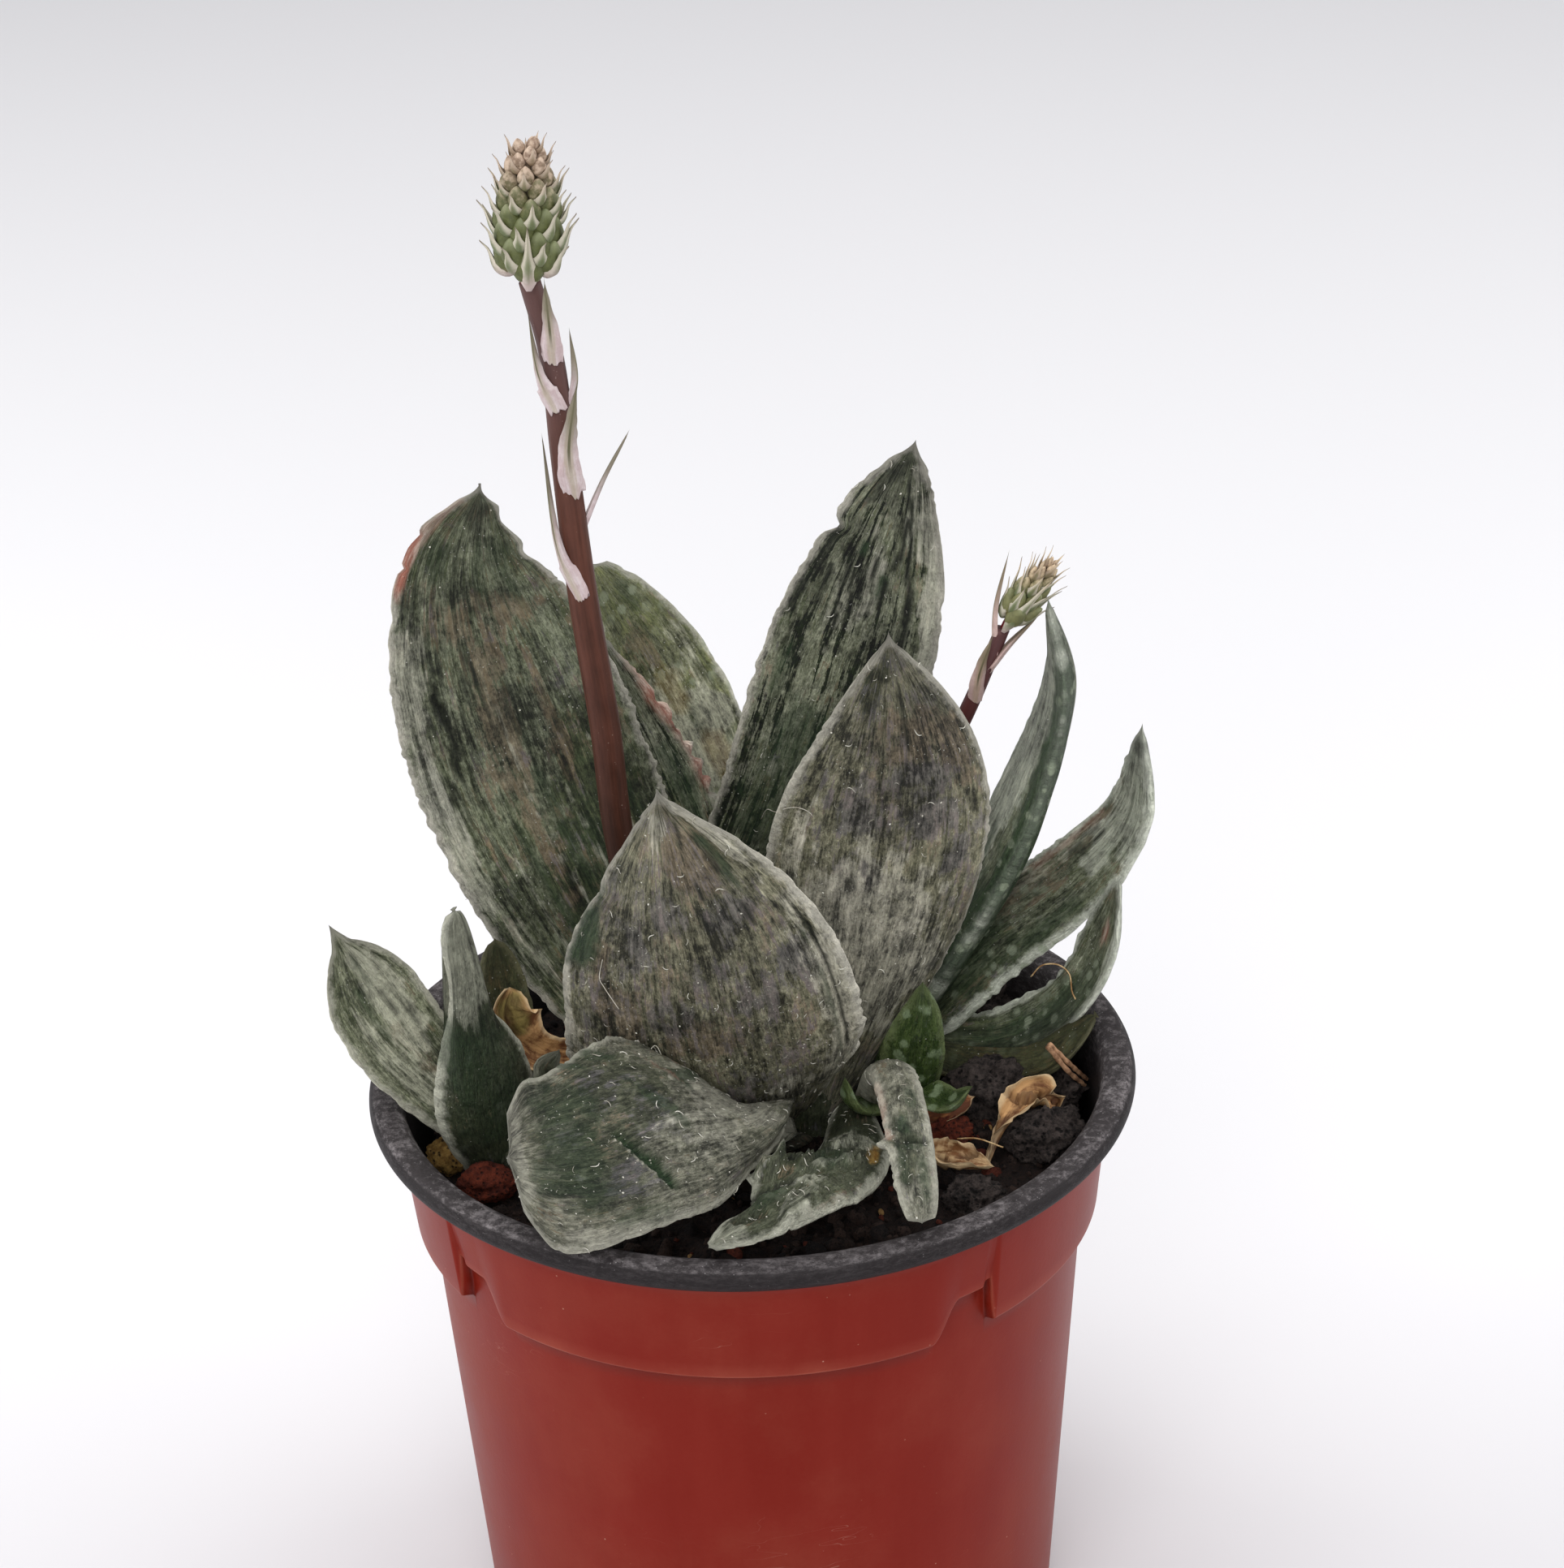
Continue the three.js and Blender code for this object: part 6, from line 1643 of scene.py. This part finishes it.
    def _core(self, height: float) -> bpy.types.Object:
        """The spindle that the buds grow from, in millimetres."""
        rise = np.linspace(-0.05, 0.88, 14)
        reach = self.radius * 0.32 * self._girth(rise) * (1 - (np.maximum(rise, 0) / 0.93) ** 5)
        angle = np.linspace(0, 2 * np.pi, 24, endpoint=False)
        level = np.broadcast_to(rise[:, None] * height, (14, 24))
        ring = np.stack([reach[:, None] * np.cos(angle), reach[:, None] * np.sin(angle), level], -1)
        points = np.vstack([ring.reshape(-1, 3), [[0, 0, -0.06 * height]], [[0, 0, 0.9 * height]]])
        flat = np.zeros(len(points))
        return self._form("core_form", points, ring_faces(14, 24), flat, flat, 0.0, 1.0)


HEADS = (
    FlowerHead(
        "flower_head_main", (-22.8, 6, 191), (-22, 6, 209.4), 7.4, 46, 5.2, 4.15, 4.5, 3.1,
        BudFinish("buds_main", low=191, high=210, cream=srgb(192, 170, 150)),
    ),
    FlowerHead(
        "flower_head_small", (35.3, 22, 134.8), (41.8, 22, 143.6), 2.9, 24, 4.4, 2.4, 5.2, 2.2,
        BudFinish("buds_small", low=134, high=145, green=srgb(122, 122, 80), cream=srgb(200, 178, 148)),
    ),
)


@dataclass(frozen=True)
class Lint:
    """Short pale fibres and specks of dust that cling to the leaves."""

    hosts: tuple[tuple[str, int], ...] = (
        ("leaf_front", 150), ("leaf_low_front", 150), ("leaf_front_right", 90), ("leaf_crumpled", 60),
        ("leaf_left_tall", 70), ("leaf_back_tall", 50), ("leaf_hooked", 20),
    )
    length: float = 1.0
    thickness: float = 0.055

    def build(self) -> None:
        """Scatters the fibres and specks over each host leaf with a geometry tree."""
        fibre, speck = self._fibre(), self._speck()
        material = ThreadFinish("lint", srgb(224, 222, 210), srgb(150, 146, 132)).material()
        for number, (name, count) in enumerate(self.hosts):
            self._scatter(name, count, LINT_SEED + number, fibre, speck, material)
        for form in (fibre, speck):
            bpy.data.objects.remove(form)

    def _fibre(self) -> bpy.types.Object:
        """One curled fibre, a millimetre long, lying on the ground of its own space."""
        line = CentreLine(((-0.5, 0, 0.02), (-0.2, 0.16, 0.05), (0.12, 0.05, 0.1), (0.4, -0.15, 0.02)))
        radii = np.array([0.4, 0.9, 1, 0.9, 0.4]) * self.thickness
        points, faces = tube(line, radii, 4)
        return self._kept("fibre_form", points, faces)

    def _speck(self) -> bpy.types.Object:
        """One flat grain of dust."""
        ball = bmesh.new()
        bmesh.ops.create_icosphere(ball, subdivisions=1, radius=0.11)
        points = np.array([vertex.co[:] for vertex in ball.verts]) * (1.2, 0.9, 0.6)
        faces = [[vertex.index for vertex in face.verts] for face in ball.faces]
        ball.free()
        return self._kept("speck_form", points, faces)

    def _kept(self, name: str, points: np.ndarray, faces: Sequence[Sequence[int]]) -> bpy.types.Object:
        """A template object for the geometry tree."""
        form = bpy.data.objects.new(name, mesh_from(name, points, faces))
        bpy.context.scene.collection.objects.link(form)
        return form

    def _scatter(
        self, name: str, count: int, number: int, fibre: bpy.types.Object, speck: bpy.types.Object,
        material: bpy.types.Material,
    ) -> None:
        """Scatters fibres and specks over one leaf.

        Args:
            name: the leaf's node.
            count: how many of each, about.
            number: start of the random placing.
            fibre: template of a fibre.
            speck: template of a speck.
            material: finish of both.
        """
        host = bpy.data.objects["finished_" + name]
        area = sum(face.area for face in host.data.polygons)
        g = ShapeGraph("lint_on_" + name)
        seed = g.size("Seed", number, "NodeSocketInt")
        density = g.size("Density", 2 * count / area)
        parts = []
        for shift, form in ((0, fibre), (7, speck)):
            shape = g.template(g.size(form.name, form, "NodeSocketObject"))
            node = g.add(
                "GeometryNodeDistributePointsOnFaces", None,
                {"Mesh": g.host(), "Density": density, "Seed": seed + shift},
            ).socket.node
            spin = g.vector(0.0, 0.0, g.random(-3.1, 3.1, seed + shift + 1))
            turn = g.add(
                "FunctionNodeRotateRotation", {"rotation_space": "LOCAL"},
                {0: Wire(g, node.outputs["Rotation"]), 1: spin},
            )
            scale = 0.35 + 1.1 * g.random(0.0, 1.0, seed + shift + 2) ** 2.0
            parts.append(g.add(
                "GeometryNodeInstanceOnPoints", None,
                {"Points": Wire(g, node.outputs["Points"]), "Instance": shape,
                 "Rotation": turn, "Scale": scale},
            ))
        piece = g.run("lint_on_" + name, g.joined(*parts), material, host)
        place_piece(piece, "leaf")


@dataclass(frozen=True)
class Threads:
    """Single hairs on and between the leaves: cobweb, curled lint and dry root hairs."""

    cobwebs: tuple[tuple[Triple, ...], ...] = (
        ((2.6, 19.6, 109.2), (3.4, 14, 113.5), (4.6, 6, 117.2), (7.5, 2.7, 118.8)),
        ((4.6, 6, 117.2), (5.4, 4, 118.6), (7.2, 2.4, 119.6), (9, 2.6, 118.4), (9.4, 2.6, 116.2)),
    )
    curls: tuple[tuple[Triple, ...], ...] = (
        (
            (-18.1, -14.9, 108.3), (-18.6, -15.3, 106), (-18.1, -15, 104.4), (-17.2, -15.6, 103),
            (-16.4, -15.6, 101.5),
        ),
        ((-14.2, -16.8, 97.6), (-13.2, -17.6, 96.2), (-12, -17.2, 96.9), (-11.2, -17.8, 95.6)),
        ((-9.4, -17.8, 119.2), (-8.2, -18.4, 118.4), (-7.4, -18.2, 119.4), (-6.6, -18.2, 118.6)),
    )
    roots: tuple[tuple[Triple, ...], ...] = (
        (
            (37.6, 14, 86.8), (39, 13, 89), (41, 11.6, 89.8), (42.4, 10, 89.2), (42.6, 8, 87.6),
            (43.4, 7, 86.2),
        ),
        ((26, -12.4, 78.3), (28.6, -13.6, 78.9), (31.8, -14.2, 77.8)),
    )

    def build(self) -> None:
        """Builds the three kinds of thread, each as one piece."""
        web = ThreadFinish("cobweb", srgb(214, 210, 198), srgb(160, 150, 132)).material()
        lint = ThreadFinish("loose_lint", srgb(222, 218, 204), srgb(170, 164, 148)).material()
        root = ThreadFinish("root_hair", srgb(206, 178, 134), srgb(140, 104, 64)).material()
        self._group("cobwebs", self.cobwebs, 0.045, web)
        self._group("curled_lint", self.curls, 0.05, lint)
        self._group("root_hairs", self.roots, 0.1, root)

    def _group(
        self, name: str, lines: Sequence[Sequence[Triple]], radius: float, material: bpy.types.Material
    ) -> None:
        """Builds threads of one kind as one piece."""
        pieces = []
        for number, knots in enumerate(lines):
            points, faces = tube(CentreLine(knots), np.full(36, radius), 6)
            mesh = mesh_from(f"{name}_{number}", points, faces)
            face_out(mesh)
            pieces.append(link_piece(mesh.name, mesh, material))
        place_piece(joined(name, pieces, material), "leaf_dried")


# ------------------------------------------------------------------ pot and mix


@dataclass(frozen=True)
class Pot:
    """Round tapered nursery pot with a rolled rim, a collar and four stacking notches."""

    rim_radius: float = 50.0
    rim_top: float = 83.6
    bead_width: float = 4.4
    bead_height: float = 3.2
    collar_bottom: float = 65.0
    collar_radius: float = 46.6
    collar_foot_radius: float = 45.0
    body_radius: float = 43.0
    foot_radius: float = 38.2
    foot_round: float = 4.5
    pad_radius: float = 13.5
    ring_inner: float = 32.3
    wall: float = 1.2
    notch_azimuth: float = 36.0
    notch_rise: float = 5.5
    groove: float = 1.6
    drain_holes: int = 8
    drain_radius: float = 3.2
    drain_circle: float = 23.0
    finish: PotFinish = field(default_factory=PotFinish)

    def collar_edge(self, azimuth: np.ndarray) -> np.ndarray:
        """Height of the collar's lower edge: a soft slope on one side of a notch, a tooth on the other."""
        quarter = (azimuth - self.notch_azimuth + 45) % 90 - 45
        turned = np.where(((azimuth - self.notch_azimuth + 45) // 90).astype(int) % 2 == 0, quarter, -quarter)
        slope = smooth_step(turned, -8.2, -2.6) * (1 - smooth_step(turned, 3.9, 4.4))
        pocket = smooth_step(turned, 2.0, 2.6) * (1 - smooth_step(turned, 3.9, 4.4))
        return self.collar_bottom + slope * self.notch_rise + pocket * 0.9

    def body_at(self, z: np.ndarray | float) -> np.ndarray | float:
        """Outer radius of the tapered body at a height."""
        taper = (self.body_radius - self.foot_radius) / (self.collar_bottom - self.foot_round)
        return self.foot_radius + taper * np.maximum(0, z - self.foot_round)

    def section(self, edge: float) -> np.ndarray:
        """Rows of radius, height, blackness, wear and the painted light at the collar's lower edge (a painted
        highlight on the edge, a painted shadow under it), from the foot up the outside and down inside.
        """
        corner = self.foot_radius - self.foot_round
        bead = self.rim_top - self.bead_height / 2
        rows = [
            (self.pad_radius, 0), (self.pad_radius + self.wall, self.groove),
            (self.ring_inner - self.wall, self.groove), (self.ring_inner, 0), (corner, 0),
        ]
        turn = np.linspace(0, np.pi / 2, 9)[1:]
        rows += [(corner + self.foot_round * math.sin(t), self.foot_round * (1 - math.cos(t))) for t in turn]
        for share in np.linspace(0, 1, 26)[1:]:
            z = self.foot_round + (edge - 1.0 - self.foot_round) * share
            rows.append((float(self.body_at(z)), z))
        rows += [(float(self.body_at(edge)) + 0.25, edge - 0.55)]
        for t in np.linspace(0, np.pi / 2, 6):
            height = edge - 0.2 - 0.5 * math.cos(t) + 0.5
            rows.append((self.collar_foot_radius - 0.5 + 0.5 * math.sin(t), height))
        under = bead - self.bead_height / 2 - 0.8
        for share in np.linspace(0, 1, 9)[1:]:
            flare = (self.collar_radius - self.collar_foot_radius) * share
            rows.append((self.collar_foot_radius + flare, edge + 0.4 + (under - edge - 0.4) * share))
        outer = len(rows)
        # first row of the collar edge's round, where the painted highlight begins; the two rows under it get
        # the painted shadow
        lip = outer - 14
        rows += [(self.rim_radius - 1.6, under + 0.35)]
        for t in np.linspace(-1.25, 1.75, 16):
            rows.append((self.rim_radius - 1.5 + 1.5 * math.cos(t), bead + 1.55 * math.sin(t)))
        inner = self.rim_radius - self.bead_width
        rows += [
            (inner + 1.4, self.rim_top - 0.1), (inner + 0.5, self.rim_top - 0.4),
            (inner, self.rim_top - 1.0),
        ]
        rows += [
            (self.collar_radius - self.wall - 0.2, under),
            (self.collar_foot_radius - self.wall, self.collar_bottom + self.notch_rise + 0.6),
        ]
        rows += [(float(self.body_at(self.collar_bottom)) - self.wall, self.collar_bottom - 1)]
        inside = float(self.body_at(self.foot_round)) - self.wall
        rows += [(inside, self.foot_round + 0.5), (corner, self.groove + self.wall)]
        table = np.zeros((len(rows), 5))
        table[:, :2] = rows
        table[outer:, 2] = 1
        table[outer + 12 : outer + 20, 3] = 1
        # painted shadow under the collar's edge, then a painted highlight on its round edge
        table[lip - 2 : lip, 4] = (-0.5, -1)
        table[lip : lip + 6, 4] = (0.2, 1, 1, 1, 0.8, 0.4)
        return table

    def build(self) -> None:
        """Builds the pot, drills its drain holes and dresses it."""
        coarse = np.arange(0, 360, 1.5)
        near = np.arange(-9.0, 9.0, 0.3) + self.notch_azimuth
        fine = np.concatenate([near + 90 * notch for notch in range(4)]) % 360
        azimuths = np.unique(np.round(np.concatenate([coarse, fine]), 3))
        sections = np.stack([self.section(edge) for edge in self.collar_edge(azimuths)])
        angle = np.radians(azimuths - 90)[:, None]
        reach, level = sections[..., 0], sections[..., 1]
        ring = np.stack([reach * np.cos(angle), reach * np.sin(angle), level], -1)
        ring = ring.transpose(1, 0, 2)
        points = np.vstack([ring.reshape(-1, 3), [[0, 0, 0]], [[0, 0, self.groove + self.wall]]])
        mesh = mesh_from("pot", points, ring_faces(len(ring), len(azimuths)))
        face_out(mesh)
        store(mesh, "black", np.append(sections[..., 2].T, [0, 1]))
        store(mesh, "wear", np.append(sections[..., 3].T, [0, 0]))
        # painted highlight and painted shadow at the collar's lower edge
        store(mesh, "lip", np.append(sections[..., 4].T, [0, 0]))
        piece = link_piece("finished_pot", mesh, self.finish.material())
        self._drill(piece)
        place_piece(piece, "pot", "pot")

    def _drill(self, piece: bpy.types.Object) -> None:
        """Cuts the drain holes through the floor."""
        drills = bmesh.new()
        for hole in range(self.drain_holes):
            angle = 2 * math.pi * hole / self.drain_holes
            x, y = self.drain_circle * math.cos(angle), self.drain_circle * math.sin(angle)
            spot = Vector((x, y, 2.0)) * MM
            radius = self.drain_radius * MM
            bmesh.ops.create_cone(
                drills, cap_ends=True, segments=32, radius1=radius, radius2=radius, depth=8 * MM,
                matrix=Matrix.Translation(spot),
            )
        mesh = bpy.data.meshes.new("drills")
        drills.to_mesh(mesh)
        drills.free()
        cutter = bpy.data.objects.new("drills", mesh)
        bpy.context.scene.collection.objects.link(cutter)
        modifier = piece.modifiers.new("drain", "BOOLEAN")
        modifier.operation, modifier.solver, modifier.object = "DIFFERENCE", "EXACT", cutter
        graph = bpy.context.evaluated_depsgraph_get()
        cut = bpy.data.meshes.new_from_object(piece.evaluated_get(graph))
        piece.modifiers.remove(modifier)
        piece.data = cut
        bpy.data.objects.remove(cutter)


class Grit(Enum):
    """The kinds of loose grain."""

    PUMICE = "pumice"
    LAVA_RED = "lava_red"
    LAVA_BLACK = "lava_black"


@dataclass(frozen=True)
class Stone:
    """A loose grain that is half sunk in the mix."""

    name: str
    x: float
    y: float
    size: Triple
    kind: Grit
    smooth: float = 0.0  # how far its roughness is worn off

    def build(self, surface: float, seed: int, material: bpy.types.Material) -> None:
        """Builds the grain as a rough lump on the mix."""
        ball = bmesh.new()
        bmesh.ops.create_icosphere(ball, subdivisions=5, radius=1.0)
        corners = np.array([v.co[:] for v in ball.verts])
        faces = [[v.index for v in face.verts] for face in ball.faces]
        ball.free()
        ripple = Ripple(seed)
        share = corners**2
        faces_of = ((0, 1, 2), (1, 2, 0), (2, 0, 1))  # the plane seen along each axis, and that axis
        lumps = sum(self._crags(ripple, corners[:, i], corners[:, j]) * share[:, k] for i, j, k in faces_of)
        rough = (lumps - 0.3) * (0.64 - 0.56 * self.smooth)
        points = corners * (0.97 + rough)[:, None] * np.array(self.size)
        points += np.array([self.x, self.y, surface + self.size[2] * 0.65])
        mesh = mesh_from(self.name, points, faces)
        store(mesh, "chance", np.full(len(points), 0.5))
        place_piece(link_piece("finished_" + self.name, mesh, material), self.kind.value, self.name)

    def _crags(self, ripple: Ripple, x: np.ndarray, y: np.ndarray) -> np.ndarray:
        """Rounded lumps with creases between them, in four sizes."""
        return sum(np.abs(ripple.at(x * 1.9 * 2**k + 5, y * 1.9 * 2**k + 9)) * 0.55**k for k in range(4))


STONES = (
    Stone("pumice_grain", -39.8, -6.5, (2.8, 2.4, 2.3), Grit.PUMICE, 0.75),
    Stone("lava_red_1", -34.5, -13.5, (3.2, 2.6, 2.2), Grit.LAVA_RED, 0.6),
    Stone("lava_red_2", 25.2, -7, (2.4, 2.2, 1.8), Grit.LAVA_RED),
    Stone("lava_black_1", 31, 2, (4.2, 3.8, 3.4), Grit.LAVA_BLACK),
    Stone("lava_black_2", 37.6, -9.5, (4.2, 3.4, 3.0), Grit.LAVA_BLACK),
    Stone("lava_black_3", 40.3, 3.4, (2.8, 3.2, 2.4), Grit.LAVA_BLACK),
    Stone("lava_black_4", 27.6, -22, (3.2, 2.8, 2.2), Grit.LAVA_BLACK),
    Stone("lava_black_5", 32.4, 24.4, (2.8, 2.8, 2.8), Grit.LAVA_BLACK),
)


@dataclass
class Mix:
    """The potting mix: its body, its crumbs, the loose stones and a twig."""

    top: float = 74.0
    lumps: float = 0.7
    radius: float = 42.1
    foot: float = 3.1
    foot_radius: float = 33.2
    crumbs: int = 1500
    crumb_size: float = 1.15
    stones: tuple[Stone, ...] = STONES
    twig: tuple[tuple[Triple, ...], ...] = (
        ((38.9, 0.2, 84.4), (41.8, 1.0, 80.6), (44.2, 4.2, 76.4)),
        ((38.7, 0.0, 84.2), (41.2, 0.2, 80.4), (43.4, 2.6, 76.8), (44.2, 5.2, 74.6)),
    )

    def ground(self, x: np.ndarray, y: np.ndarray) -> np.ndarray:
        """Height of the mix at a place."""
        wave = np.sin(x * 0.55 + 1.3) * np.cos(y * 0.5 - 0.4) + 0.5 * np.sin(x * 0.23 - y * 0.31)
        return self.top + self.lumps * wave

    def build(self) -> None:
        """Builds the body of the mix and everything loose on it."""
        soil = GritFinish("potting_mix", srgb(44, 30, 24), srgb(16, 10, 9), pores=0.7, pore_size=1.4)
        body = self._body(soil.material())
        self._crumbs(body)
        place_piece(body, "soil", "soil")
        grits = {
            Grit.PUMICE: GritFinish(
                "pumice", srgb(172, 138, 78), srgb(112, 82, 38), pores=0.8, pore_size=1.3,
            ),
            Grit.LAVA_RED: GritFinish(
                "lava_red", srgb(122, 54, 34), srgb(62, 24, 17), pores=0.6, pore_size=1.6,
            ),
            Grit.LAVA_BLACK: GritFinish(
                "lava_black", srgb(84, 74, 70), srgb(12, 9, 9), pores=0.95, pore_size=1.1,
            ),
        }
        materials = {kind: grit.material() for kind, grit in grits.items()}
        for number, stone in enumerate(self.stones):
            stone.build(self.top, STONE_SEED + 5 * number, materials[stone.kind])
        self._twig()

    def _body(self, material: bpy.types.Material) -> bpy.types.Object:
        """The closed body that fills the pot, with a crumbly top."""
        sides = 200
        rows = [(self.foot_radius, self.foot), (37.0, 5.5), (41.4, 64.0), (self.radius, 72.0)]
        angle = np.linspace(0, 2 * np.pi, sides, endpoint=False)
        rings = [np.stack([r * np.cos(angle), r * np.sin(angle), np.full(sides, z)], -1) for r, z in rows]
        ripple = Ripple(MIX_SEED)
        for share in np.linspace(0.995, 0.02, 84):
            x, y = self.radius * share * np.cos(angle), self.radius * share * np.sin(angle)
            crumbly = 0.55 * ripple.at(x / 1.7, y / 1.7, 3)
            rings.append(np.stack([x, y, self.ground(x, y) + crumbly], -1))
        points = np.vstack([np.array(rings).reshape(-1, 3), [[0, 0, self.foot]], [[0, 0, self.ground(0, 0)]]])
        mesh = mesh_from("soil", points, ring_faces(len(rings), sides))
        face_out(mesh)
        store(mesh, "chance", np.full(len(points), 0.45))
        return link_piece("finished_soil", mesh, material)

    def _crumbs(self, body: bpy.types.Object) -> None:
        """Scatters crumbs of grit and bark over the top of the mix with a geometry tree."""
        crumb = bmesh.new()
        bmesh.ops.create_icosphere(crumb, subdivisions=2, radius=1.0)
        for vertex in crumb.verts:
            vertex.co *= 0.8 + 0.4 * abs(math.sin(vertex.index * 12.9898) * 43758.5453 % 1)
        mesh = bpy.data.meshes.new("crumb_form")
        crumb.to_mesh(mesh)
        crumb.free()
        form = bpy.data.objects.new("crumb_form", mesh)
        bpy.context.scene.collection.objects.link(form)

        g = ShapeGraph("scattered_crumbs")
        shape = g.template(g.size("Crumb form", form, "NodeSocketObject"))
        seed = g.size("Seed", 3, "NodeSocketInt")
        area = math.pi * (self.radius * MM) ** 2
        density = g.size("Density", self.crumbs / area)
        size = g.size("Crumb size", self.crumb_size * MM)
        where = g.add("GeometryNodeInputPosition")
        up = g.add("ShaderNodeSeparateXYZ", None, {0: where}, 2)
        above = {"data_type": "FLOAT", "operation": "GREATER_THAN"}
        on_top = g.add("FunctionNodeCompare", above, {0: up, 1: (self.top - 1.6) * MM})
        points = g.add(
            "GeometryNodeDistributePointsOnFaces", None,
            {"Mesh": g.host(), "Selection": on_top, "Density": density, "Seed": seed},
        )
        chance = g.random(0.0, 1.0, seed + 1)
        spread = 0.35 + 1.0 * g.random(0.0, 1.0, seed + 2) ** 3.0
        flatness = g.random((0.7, 0.6, 0.45), (1.3, 1.1, 0.9), seed + 3, "FLOAT_VECTOR")
        scale = g.add("ShaderNodeVectorMath", {"operation": "SCALE"}, {0: flatness, "Scale": spread * size})
        turn = g.random((-3.0, -3.0, -3.0), (3.0, 3.0, 3.0), seed + 4, "FLOAT_VECTOR")
        inputs = {"Points": points, "Instance": shape, "Rotation": turn, "Scale": scale}
        grains = g.add("GeometryNodeInstanceOnPoints", None, inputs)
        grains = g.stored(grains, "chance", chance)
        grains = g.stored(grains, "tan", g.maths("GREATER_THAN", chance, 0.975))
        grains = g.stored(grains, "rust", g.maths("LESS_THAN", chance, 0.07))
        finish = GritFinish("mix_crumbs", srgb(56, 42, 36), srgb(18, 12, 11), pores=0.4, pore_size=2.2)
        piece = g.run("finished_crumbs", grains, finish.material(), body)
        bpy.data.objects.remove(form)
        place_piece(piece, "soil", "soil")

    def _twig(self) -> None:
        """A dry splinter that is split in two and leans out of the mix."""
        wood = ThreadFinish("dry_wood", srgb(176, 136, 104), srgb(96, 66, 46)).material()
        share = np.linspace(0, 1, 40)
        prongs = []
        for number, knots in enumerate(self.twig):
            radii = 0.36 - 0.08 * share + 0.04 * np.sin(share * 37 + number)
            points, faces = tube(CentreLine(knots), radii, 12)
            mesh = mesh_from(f"twig_{number}", points, faces)
            face_out(mesh)
            prongs.append(link_piece(mesh.name, mesh, wood))
        place_piece(joined("finished_twig", prongs, wood), "twig", "twig")


# ------------------------------------------------------------------ studio


@dataclass(frozen=True)
class Studio:
    """Pale floor, soft light and the camera."""

    camera_place: Triple = (0.0, -516.445, 387.425)
    camera_aim: Triple = (5.5426, 18.1318, 115.034)
    camera_roll: float = -2.2
    lens: float = 105.19

    def build(self) -> None:
        """Sets up the floor, the lights and the camera."""
        self._floor()
        self._light("top", (0, 150, 1100), (0, 40, 60), 1100, 8.4)
        self._light("left", (-800, 60, 420), (0, 0, 90), 700, 4.1)
        self._light("right", (800, 40, 420), (0, 0, 90), 700, 3.5)
        self._light("front", (-150, -950, 620), (0, 0, 90), 800, 8.0)
        world = bpy.data.worlds.new("studio")
        bpy.context.scene.world = world
        world.use_nodes = True
        world.node_tree.nodes["Background"].inputs["Color"].default_value = (0.95, 0.96, 1.0, 1.0)
        world.node_tree.nodes["Background"].inputs["Strength"].default_value = 0.29
        bpy.context.scene.view_settings.view_transform = "Standard"
        self._camera()

    def _floor(self) -> None:
        """A large pale floor that is not part of the object, painted darker towards the front as painted
        shade.
        """
        side = 4000.0
        points = np.array([(-side, -side, 0), (side, -side, 0), (side, side, 0), (-side, side, 0)], float)
        g = SurfaceGraph("studio_floor")
        place = g.place()
        _, y, _ = g.parts(place)
        # painted shade: the floor is darker towards the front and lighter towards the back
        floor_falloff_shade = g.mix(g.step(y, -200.0, 200.0), srgb(205, 203, 206), srgb(230, 229, 231))
        material = g.finished(floor_falloff_shade, 0.9, g.bump(g.noise(place, 0.2, 3.0), 0.05, 0.2), Specular_IOR_Level=0.1)
        floor = link_piece("floor", mesh_from("floor", points, [(0, 1, 2, 3)]), material)

    def _light(self, name: str, place: Triple, aim: Triple, size: float, power: float) -> None:
        """One square soft light.

        Args:
            name: its name.
            place: where it hangs, mm.
            aim: the point that it faces, mm.
            size: its side, mm.
            power: watts.
        """
        lamp = bpy.data.lights.new(name, "AREA")
        lamp.size, lamp.energy = size * MM, power
        holder = bpy.data.objects.new(name, lamp)
        holder.location = Vector(place) * MM
        holder.rotation_mode = "QUATERNION"
        holder.rotation_quaternion = (Vector(aim) - Vector(place)).to_track_quat("-Z", "Y")
        bpy.context.scene.collection.objects.link(holder)

    def _camera(self) -> None:
        """The camera, a little above the plant and tilted down."""
        lens = bpy.data.cameras.new("camera")
        lens.lens = self.lens
        lens.sensor_width = 36.0
        lens.clip_end = 20.0
        holder = bpy.data.objects.new("camera", lens)
        sight = Vector(self.camera_aim) - Vector(self.camera_place)
        look = sight.to_track_quat("-Z", "Y").to_matrix().to_4x4()
        roll = Matrix.Rotation(math.radians(self.camera_roll), 4, "Z")
        holder.matrix_world = Matrix.Translation(Vector(self.camera_place) * MM) @ look @ roll
        bpy.context.scene.collection.objects.link(holder)
        bpy.context.scene.camera = holder


def main() -> None:
    """Builds the plant and its pot, sub-assembly by sub-assembly, and reports each piece."""
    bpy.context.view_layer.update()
    Pot().build()
    Mix().build()
    Foliage().build()
    for stalk in STALKS:
        stalk.build()
    for head in HEADS:
        head.build()
    Lint().build()
    Threads().build()
    Studio().build()


if __name__ == "__main__":
    main()
